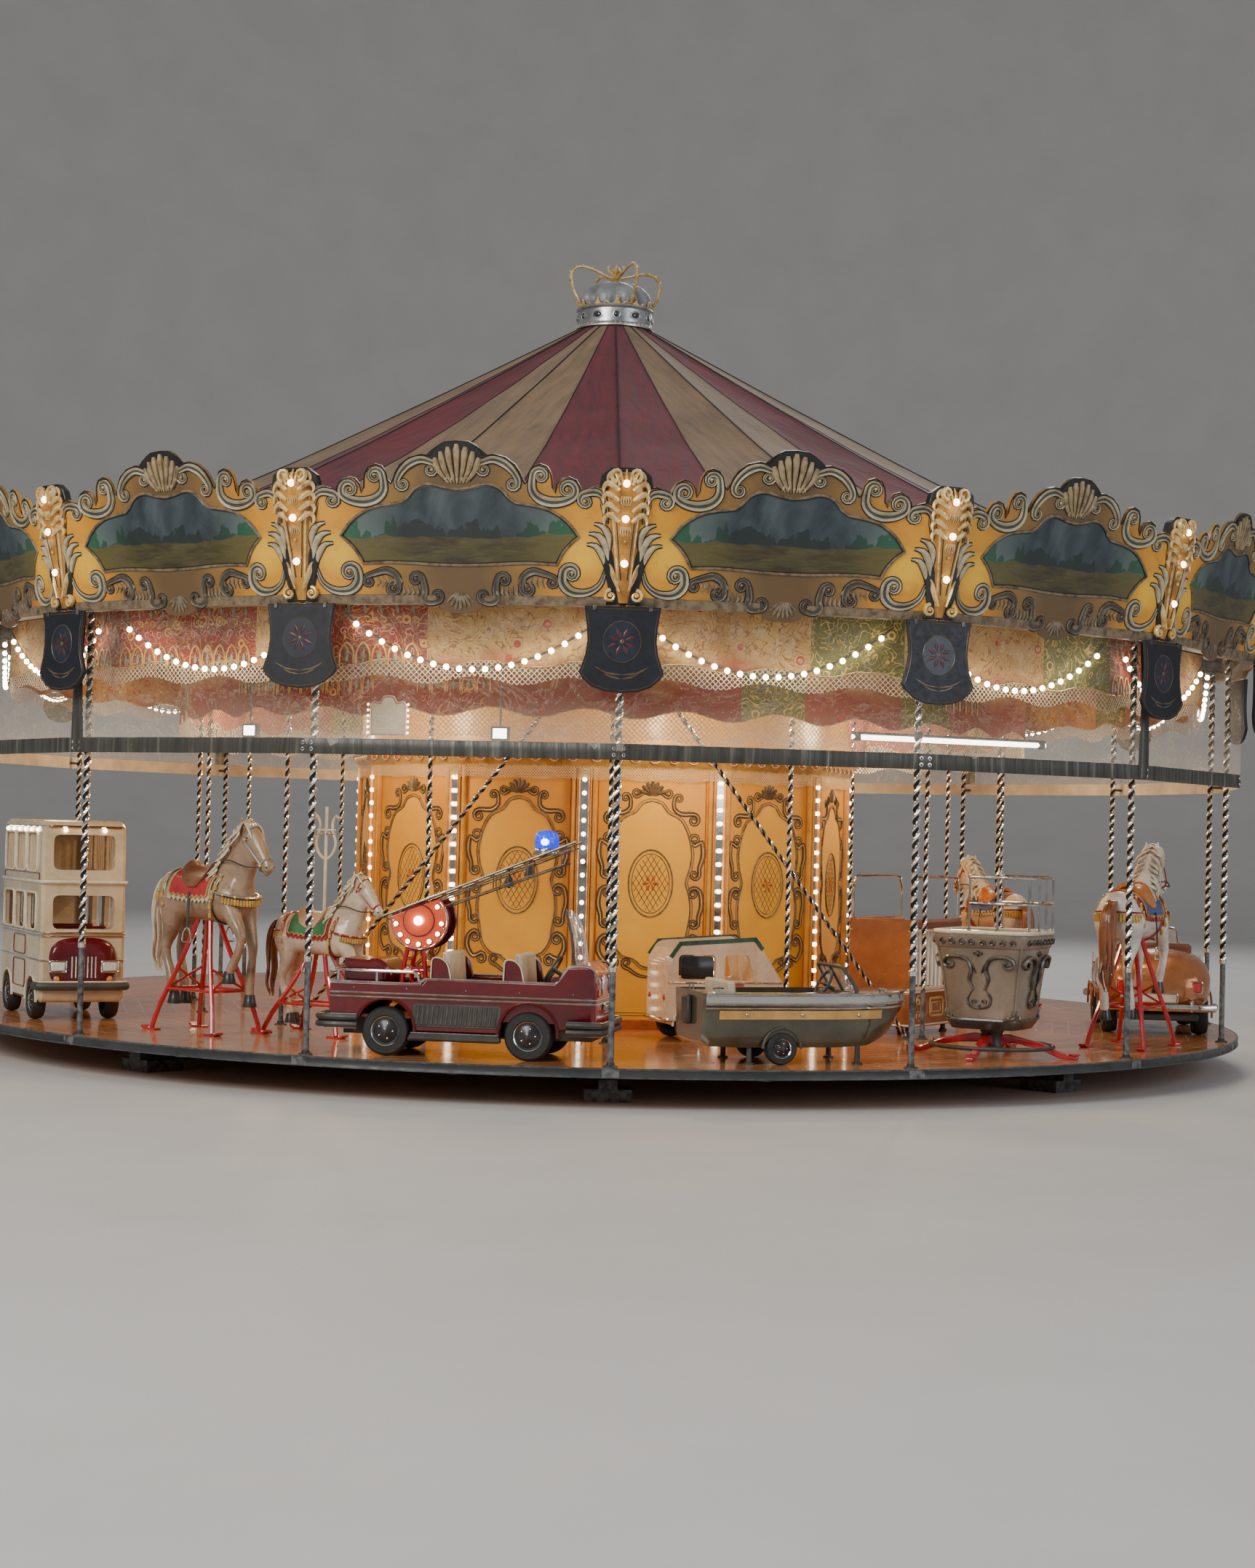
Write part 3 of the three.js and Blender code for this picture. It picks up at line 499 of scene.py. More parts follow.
# Materials
class Recipe:
    """One material, put together from nodes."""

    def __init__(self, name):
        self.made = bpy.data.materials.new(name)
        self.made.use_nodes = True
        self.tree = self.made.node_tree
        self.shader = self.tree.nodes["Principled BSDF"]
        self.coordinates = self.tree.nodes.new("ShaderNodeTexCoord").outputs["Object"]

    def node(self, kind, inputs=None, **values):
        made = self.tree.nodes.new(kind)
        for key, value in values.items():
            setattr(made, key, value)
        for key, value in (inputs or {}).items():
            if isinstance(value, bpy.types.NodeSocket):
                self.tree.links.new(value, made.inputs[key])
            else:
                made.inputs[key].default_value = value
        return made

    def link(self, value, name):
        self.tree.links.new(value, self.shader.inputs[name])

    def spread(self):
        return self.node("ShaderNodeUVMap", uv_map="spread").outputs["UV"]

    def stretched(self, scale, source=None):
        source = self.coordinates if source is None else source
        return self.node("ShaderNodeMapping", {"Vector": source, "Scale": scale}).outputs["Vector"]

    def noise(self, scale, detail=5.0, rough=0.55, source=None, warp=0.0):
        source = self.coordinates if source is None else source
        made = self.node("ShaderNodeTexNoise", {"Vector": source, "Scale": scale, "Detail": detail,
            "Roughness": rough, "Distortion": warp})
        return made.outputs["Fac"]

    def cells(self, scale, source=None, feature="F1", output="Distance"):
        source = self.coordinates if source is None else source
        made = self.node("ShaderNodeTexVoronoi", {"Vector": source, "Scale": scale}, feature=feature)
        return made.outputs[output]

    def ramp(self, value, stops, easing="LINEAR"):
        made = self.node("ShaderNodeValToRGB", {"Fac": value})
        made.color_ramp.interpolation = easing
        elements = made.color_ramp.elements
        while len(elements) < len(stops):
            elements.new(0.5)
        for element, (place, colour) in zip(elements, stops):
            element.position = place
            element.color = (*colour, 1.0) if len(colour) == 3 else colour
        return made.outputs["Color"]

    def level(self, value, low, high, out_low=0.0, out_high=1.0):
        made = self.node("ShaderNodeMapRange", {"Value": value, "From Min": low, "From Max": high,
            "To Min": out_low, "To Max": out_high}, clamp=True)
        return made.outputs["Result"]

    def math(self, operation, first, second=0.0):
        return self.node("ShaderNodeMath", {0: first, 1: second}, operation=operation).outputs[0]

    def add(self, first, second):
        return self.math("ADD", first, second)

    def times(self, first, second):
        return self.math("MULTIPLY", first, second)

    def less(self, first, second):
        return self.math("SUBTRACT", first, second)

    def split(self, place):
        return self.node("ShaderNodeSeparateXYZ", {0: place})

    def gloss(self, value, low, high):
        """Roughness from low to high over the middle of a pattern."""
        self.link(self.level(value, 0.3, 0.7, low, high), "Roughness")

    def mix(self, amount, first, second, blend="MIX"):
        made = self.node("ShaderNodeMix", data_type="RGBA", blend_type=blend)
        for key, value in ((0, amount), (6, first), (7, second)):
            if isinstance(value, bpy.types.NodeSocket):
                self.tree.links.new(value, made.inputs[key])
            elif key == 0:
                made.inputs[key].default_value = value
            else:
                made.inputs[key].default_value = (*value, 1.0)
        return made.outputs[2]

    def bump(self, height, strength, distance, after=None):
        inputs = {"Height": height, "Strength": strength, "Distance": distance}
        if after is not None:
            inputs["Normal"] = after
        return self.node("ShaderNodeBump", inputs).outputs["Normal"]

    def edge_wear_and_highlight(self, colour, wear_and_highlight_colour, start=0.52, end=0.6, amount=0.8):
        """Mixes in another colour along outer edges: partly rubbed wear, partly a painted highlight."""
        edge = self.node("ShaderNodeNewGeometry").outputs["Pointiness"]
        highlight_and_wear_mask = self.times(self.level(edge, start, end), self.level(self.noise(23.0), 0.35, 0.6))
        return self.mix(self.times(highlight_and_wear_mask, amount), colour, wear_and_highlight_colour)

    def set(self, **values):
        names = {"metallic": "Metallic", "coat": "Coat Weight", "coat_rough": "Coat Roughness",
            "sheen": "Sheen Weight", "alpha": "Alpha", "ior": "IOR", "specular": "Specular IOR Level",
            "subsurface": "Subsurface Weight", "transmission": "Transmission Weight"}
        for key, value in values.items():
            self.shader.inputs[names[key]].default_value = value
        return self


def shade(colour, factor):
    return tuple(min(1.0, c * factor) for c in colour)


def finish(name, colour, other=None, scale=3.0, rough=(0.3, 0.5), metallic=0.0, grain=90.0, depth=0.0004,
        coat=0.0, edge=None, grime=0.25, sheen=0.0):
    """A painted or plain surface: mottled colour, grime in patches, fine grain and uneven gloss."""
    recipe = Recipe(name)
    other = other or shade(colour, 0.72)
    mottle = recipe.noise(scale, 6.0, 0.6)
    base = recipe.ramp(mottle, [(0.32, other), (0.62, colour), (0.8, shade(colour, 1.12))])
    dirt = recipe.level(recipe.noise(scale * 2.7, 8.0, 0.7, warp=0.6), 0.5, 0.75, 0.0, grime)
    base = recipe.mix(dirt, base, shade(other, 0.5))
    # A given edge colour is lighter paint along outer edges: partly wear, partly a painted highlight.
    if edge is not None:
        base = recipe.edge_wear_and_highlight(base, edge)
    recipe.link(base, "Base Color")
    recipe.gloss(recipe.noise(scale * 5, 5.0), rough[0], rough[1])
    fine = recipe.noise(grain, 3.0, 0.6)
    recipe.link(recipe.bump(fine, 0.35, depth), "Normal")
    recipe.set(metallic=metallic, coat=coat, coat_rough=0.08, sheen=sheen)
    return recipe.made


def glow(name, colour, strength, core=None):
    """A lit lamp: glass whose light varies a little from spot to spot."""
    recipe = Recipe(name)
    light = recipe.ramp(recipe.noise(40.0, 2.0), [(0.3, shade(colour, 0.9)), (0.7, core or colour)])
    recipe.link(light, "Base Color")
    recipe.link(light, "Emission Color")
    recipe.shader.inputs["Emission Strength"].default_value = strength
    recipe.gloss(recipe.noise(60.0), 0.15, 0.3)
    return recipe.made


def planks():
    """Varnished boards along each bay of the deck, with thin pale joints."""
    recipe = Recipe("deck_planks")
    place = recipe.spread()
    boards = recipe.node("ShaderNodeTexBrick", {"Vector": place, "Color1": (0.47, 0.17, 0.055, 1),
        "Color2": (0.60, 0.25, 0.085, 1), "Mortar": (0.80, 0.55, 0.32, 1), "Scale": 1.0,
        "Mortar Size": 0.004, "Mortar Smooth": 0.2, "Bias": 0.1, "Brick Width": 1.35, "Row Height": 0.125},
        offset=0.37, squash=1.0)
    grain = recipe.noise(6.0, 6.0, 0.55, recipe.stretched((1.0, 22.0, 1.0), place), 0.6)
    streaks = recipe.ramp(grain, [(0.3, (0.66, 0.60, 0.55)), (0.55, (0.88, 0.85, 0.82)),
        (0.72, (1.0, 0.98, 0.94))])
    colour = recipe.mix(0.5, boards.outputs["Color"], streaks, "MULTIPLY")
    scuffs = recipe.level(recipe.noise(2.6, 7.0, 0.7, place, 0.5), 0.58, 0.78, 0.0, 0.28)
    colour = recipe.mix(scuffs, colour, (0.24, 0.11, 0.05))
    recipe.link(colour, "Base Color")
    recipe.link(recipe.level(recipe.noise(3.0, 5.0, 0.6, place), 0.35, 0.7, 0.12, 0.28), "Roughness")
    groove = recipe.bump(boards.outputs["Fac"], 0.5, -0.002)
    recipe.link(recipe.bump(grain, 0.12, 0.0005, groove), "Normal")
    recipe.set(coat=0.35, coat_rough=0.10)
    return recipe.made


def canvas(name, colour, dull):
    """Coated canvas: weave, rain streaks down the slope and faded patches."""
    recipe = Recipe(name)
    place = recipe.spread()
    streaks = recipe.noise(3.0, 7.0, 0.65, recipe.stretched((6.0, 0.7, 1.0), place), 0.4)
    base = recipe.ramp(streaks, [(0.3, dull), (0.55, colour), (0.75, shade(colour, 1.2))])
    faded = recipe.level(recipe.noise(1.1, 5.0, 0.6, place, 0.5), 0.45, 0.7, 0.0, 0.5)
    base = recipe.mix(faded, base, shade(dull, 0.62))
    recipe.link(base, "Base Color")
    weave, across = (recipe.node("ShaderNodeTexWave", {"Vector": place, "Scale": 60.0, "Distortion": 0.6},
        bands_direction=axis).outputs["Fac"] for axis in "XY")
    threads = recipe.bump(recipe.add(weave, across), 0.25, 0.0006)
    folds = recipe.noise(2.2, 4.0, 0.5, recipe.stretched((2.4, 0.8, 1.0), place), 0.3)
    recipe.link(recipe.bump(folds, 0.5, 0.03, threads), "Normal")
    recipe.gloss(streaks, 0.62, 0.85)
    recipe.set(sheen=0.1)
    return recipe.made


def clear_sheet():
    """Clear weather sheet: nearly invisible where flat, with painted highlights along its creases, painted
    glints as fine speckle, and dust low down.
    """
    recipe = Recipe("clear_curtain")
    place = recipe.spread()
    creases = recipe.noise(1.6, 9.0, 0.72, recipe.stretched((1.0, 1.6, 1.0), place), 1.4)
    sharp = recipe.math("ABSOLUTE", recipe.less(creases, 0.5))
    # Crease lines made opaque and cream: painted highlights.
    crease_highlight = recipe.level(sharp, 0.0, 0.016, 0.17, 0.012)
    # Fine opaque speckle: painted glints.
    painted_glints = recipe.level(recipe.noise(38.0, 4.0, 0.75, place), 0.60, 0.69, 0.0, 0.34)
    height = recipe.split(place).outputs["Y"]
    dust = recipe.level(recipe.add(height, recipe.level(creases, 0.3, 0.7, -0.06, 0.06)), 2.24, 2.52, 0.16,
        0.0)
    highlights_glints_and_dust = recipe.add(recipe.add(crease_highlight, painted_glints), dust)
    recipe.link(recipe.add(highlights_glints_and_dust, 0.055), "Alpha")
    # The warm cream shows where the sheet is opaque: on the painted highlights, the painted glints and the
    # dust.
    recipe.link(recipe.ramp(creases, [(0.35, (0.86, 0.74, 0.55)), (0.65, (0.98, 0.90, 0.74))]), "Base Color")
    recipe.gloss(creases, 0.06, 0.2)
    recipe.link(recipe.bump(creases, 0.6, 0.02), "Normal")
    recipe.set(specular=0.35, coat=0.1, coat_rough=0.05)
    return recipe.made


def clear_plastic(name, density):
    """Moulded clear plastic, a little scratched and yellowed."""
    recipe = Recipe(name)
    scratches = recipe.noise(9.0, 9.0, 0.75, recipe.stretched((1.0, 1.0, 4.0)), 1.0)
    recipe.link(recipe.level(scratches, 0.3, 0.7, density * 0.7, min(1.0, density * 1.4)), "Alpha")
    recipe.link(recipe.ramp(scratches, [(0.3, (0.70, 0.66, 0.58)), (0.7, (0.92, 0.92, 0.90))]), "Base Color")
    recipe.gloss(scratches, 0.04, 0.16)
    recipe.link(recipe.bump(scratches, 0.2, 0.001), "Normal")
    recipe.set(specular=0.9, coat=1.0, coat_rough=0.03)
    return recipe.made


def hem_film():
    """Dark reinforced hem with upright creases; the pale streaks along them are painted glints."""
    recipe = Recipe("curtain_hem_film")
    place = recipe.spread()
    creases = recipe.noise(1.0, 5.0, 0.62, recipe.stretched((17.0, 0.9, 1.0), place), 0.4)
    # The pale stops of this ramp are painted glints along the creases.
    colour = recipe.ramp(creases, [(0.36, (0.026, 0.026, 0.022)), (0.56, (0.062, 0.060, 0.048)),
        (0.66, (0.15, 0.145, 0.12)), (0.72, (0.40, 0.38, 0.33))])
    recipe.link(colour, "Base Color")
    recipe.link(recipe.level(creases, 0.35, 0.7, 0.5, 0.25), "Roughness")
    recipe.link(recipe.bump(creases, 0.6, 0.012), "Normal")
    return recipe.made


def flowered(name, ground, deep, petals, leaves, low=None):
    """Embroidered cloth: rosettes and leaf lines over a mottled ground, deeper in colour towards its foot."""
    recipe = Recipe(name)
    place = recipe.spread()
    mottle = recipe.noise(5.0, 6.0, 0.65, place, 0.5)
    base = recipe.ramp(mottle, [(0.3, deep), (0.6, ground), (0.8, shade(ground, 1.25))])
    if low is not None:
        height = recipe.split(place).outputs["Y"]
        wavy = recipe.add(height, recipe.level(recipe.noise(2.2, 3.0, 0.5, place), 0.3, 0.7, -0.10, 0.10))
        base = recipe.mix(recipe.level(wavy, 2.66, 2.82, 0.92, 0.0), base, low)
    stitch = recipe.level(recipe.noise(75.0, 4.0, 0.8, place, 0.5), 0.50, 0.62, 0.0, 0.30)
    base = recipe.mix(stitch, base, leaves)
    distance = recipe.cells(5.2, place)
    rings = recipe.node("ShaderNodeMath", {0: recipe.times(distance, 52.0)}, operation="SINE").outputs[0]
    bloom = recipe.times(recipe.level(rings, -0.1, 0.3), recipe.level(distance, 0.24, 0.26, 1.0, 0.0))
    base = recipe.mix(bloom, base, petals)
    vines = recipe.noise(6.0, 1.6, 0.35, place, 3.4)
    lines = recipe.level(recipe.math("ABSOLUTE", recipe.less(vines, 0.5)), 0.014, 0.030, 1.0, 0.0)
    base = recipe.mix(recipe.times(lines, 0.9), base, leaves)
    recipe.link(base, "Base Color")
    weave = recipe.noise(900.0, 2.0, 0.5, place)
    threads = recipe.bump(weave, 0.3, 0.0005)
    recipe.link(recipe.bump(recipe.add(bloom, lines), 0.5, 0.002, threads), "Normal")
    recipe.gloss(mottle, 0.7, 0.9)
    recipe.set(sheen=0.1)
    return recipe.made


def lace(name, colour, size):
    """Crochet net: open diamonds between raised threads."""
    recipe = Recipe(name)
    wobble = recipe.node("ShaderNodeTexNoise", {"Vector": recipe.spread(), "Scale": 14.0, "Detail": 2.0})
    uneven = recipe.node("ShaderNodeMix", data_type="VECTOR")
    recipe.tree.links.new(recipe.spread(), uneven.inputs[4])
    recipe.tree.links.new(wobble.outputs["Color"], uneven.inputs[5])
    uneven.inputs[0].default_value = 0.006
    split = recipe.split(uneven.outputs[1])
    lines = []
    for sign in (1, -1):
        slant = recipe.add(split.outputs["X"], recipe.times(split.outputs["Y"], sign))
        wave = recipe.math("SINE", recipe.times(slant, math.pi / size))
        lines.append(recipe.level(recipe.math("ABSOLUTE", wave), 0.26, 0.44, 1.0, 0.0))
    thread = recipe.math("MAXIMUM", lines[0], lines[1])
    recipe.link(recipe.level(thread, 0.35, 0.65), "Alpha")
    mottle = recipe.noise(30.0, 5.0, 0.6)
    recipe.link(recipe.ramp(mottle, [(0.3, shade(colour, 0.7)), (0.65, colour)]), "Base Color")
    recipe.link(recipe.bump(thread, 0.8, 0.003), "Normal")
    recipe.gloss(mottle, 0.75, 0.95)
    return recipe.made


def board_field():
    """The boards' field: umber in the middle, grading to gold towards the brackets, with a painted pool of
    yellow lamp light near the brackets.
    """
    recipe = Recipe("board_field")
    place = recipe.spread()
    split = recipe.split(place)
    across = recipe.math("ABSOLUTE", split.outputs["X"])
    mottle = recipe.noise(3.0, 6.0, 0.6, place, 0.4)
    shift_along = recipe.add(across, recipe.level(mottle, 0.3, 0.7, -0.08, 0.08))
    colour = recipe.ramp(shift_along, [(0.12, (0.13, 0.075, 0.028)), (0.45, (0.28, 0.15, 0.035)),
        (0.66, (0.60, 0.25, 0.018)), (0.86, (0.72, 0.32, 0.02))])
    # A yellow patch beside each bracket's lowest lamp: a painted pool of lamp light.
    lamp_pool_across = recipe.less(across, 0.76)
    rise = recipe.less(split.outputs["Y"], 0.31)
    reach = recipe.add(recipe.times(lamp_pool_across, lamp_pool_across), recipe.times(rise, rise))
    bloom = recipe.level(reach, 0.002, 0.024, 0.75, 0.0)
    colour = recipe.mix(bloom, colour, (0.95, 0.55, 0.035))
    dirt = recipe.level(recipe.noise(8.0, 8.0, 0.7, warp=0.6), 0.52, 0.75, 0.0, 0.3)
    recipe.link(recipe.mix(dirt, colour, (0.09, 0.045, 0.015)), "Base Color")
    recipe.gloss(mottle, 0.32, 0.5)
    recipe.link(recipe.bump(recipe.noise(90.0, 3.0, 0.6), 0.3, 0.0004), "Normal")
    recipe.set(coat=0.2, coat_rough=0.1)
    return recipe.made


def painted_picture():
    """The lens panels: a dusky sky with faint rays, green hedges at the tips and olive ground."""
    recipe = Recipe("board_picture")
    place = recipe.spread()
    split = recipe.split(place)
    across, up = split.outputs["X"], split.outputs["Y"]
    wide = recipe.math("ABSOLUTE", across)
    angle = recipe.node("ShaderNodeMath", {0: recipe.less(up, 0.30), 1: across},
        operation="ARCTAN2").outputs[0]
    rays = recipe.times(recipe.math("SINE", recipe.times(angle, 11.0)), 0.4)
    cloud = recipe.noise(3.2, 7.0, 0.62, place, 0.9)
    rays = recipe.add(rays, recipe.level(cloud, 0.3, 0.7, -1.6, 1.6))
    sky = recipe.ramp(recipe.level(rays, -1.8, 1.8), [(0.1, (0.018, 0.028, 0.036)),
        (0.5, (0.036, 0.052, 0.062)), (0.9, (0.070, 0.092, 0.100))])
    sky = recipe.mix(recipe.level(wide, 0.34, 0.70, 0.0, 0.7), sky, (0.15, 0.21, 0.18))
    ground = recipe.ramp(recipe.noise(7.0, 8.0, 0.7, recipe.stretched((0.6, 3.0, 1.0), place), 0.8),
        [(0.3, (0.024, 0.019, 0.009)), (0.5, (0.055, 0.046, 0.016)), (0.7, (0.10, 0.088, 0.028))])
    ground = recipe.mix(recipe.level(wide, 0.25, 0.7, 0.0, 0.6), ground, (0.17, 0.14, 0.035))
    roll = recipe.level(recipe.noise(2.6, 3.0, 0.5, recipe.stretched((1.0, 0.0, 0.0), place)), 0.3, 0.7,
        0.385, 0.45)
    line = recipe.level(recipe.less(up, roll), -0.006, 0.006)
    picture = recipe.mix(line, ground, sky)
    above = recipe.less(up, roll)
    tree_tops = recipe.level(recipe.noise(5.0, 4.0, 0.6, recipe.stretched((1.0, 0.4, 1.0), place), 0.3),
        0.42, 0.66, 0.0, 0.20)
    tree = recipe.times(recipe.level(recipe.less(tree_tops, above), -0.004, 0.008),
        recipe.level(above, -0.004, 0.002))
    leaf_colour = recipe.mix(recipe.level(wide, 0.35, 0.72), (0.012, 0.022, 0.020), (0.012, 0.105, 0.045))
    picture = recipe.mix(recipe.times(tree, 0.9), picture, leaf_colour)
    recipe.link(picture, "Base Color")
    recipe.gloss(cloud, 0.32, 0.5)
    recipe.link(recipe.bump(recipe.noise(120.0, 3.0), 0.2, 0.0005), "Normal")
    recipe.set(coat=0.12)
    return recipe.made


def dappled(name, coat_colour, shadow, spots):
    """A carved animal's gloss paint: shaded coat with soft dapples, hair strokes and a painted highlight
    along outer edges.
    """
    recipe = Recipe(name)
    broad = recipe.noise(3.5, 5.0, 0.6, warp=0.4)
    base = recipe.ramp(broad, [(0.3, shadow), (0.55, coat_colour), (0.8, shade(coat_colour, 1.15))])
    dots = recipe.level(recipe.cells(26.0), 0.15, 0.42, 1.0, 0.0)
    where = recipe.level(recipe.noise(4.0, 3.0), 0.45, 0.62)
    base = recipe.mix(recipe.times(recipe.times(dots, where), 0.5), base, spots)
    hair = recipe.noise(22.0, 6.0, 0.7, recipe.stretched((1.0, 1.0, 5.0)), 0.8)
    base = recipe.mix(recipe.level(hair, 0.5, 0.75, 0.0, 0.35), base, shade(shadow, 0.7))
    # Lighter coat along outer edges: a painted highlight.
    base = recipe.edge_wear_and_highlight(base, shade(coat_colour, 1.3), amount=0.5)
    recipe.link(base, "Base Color")
    recipe.gloss(broad, 0.22, 0.42)
    recipe.link(recipe.bump(hair, 0.3, 0.002), "Normal")
    recipe.set(coat=0.5, coat_rough=0.1)
    return recipe.made


GOLD = (0.62, 0.37, 0.10)
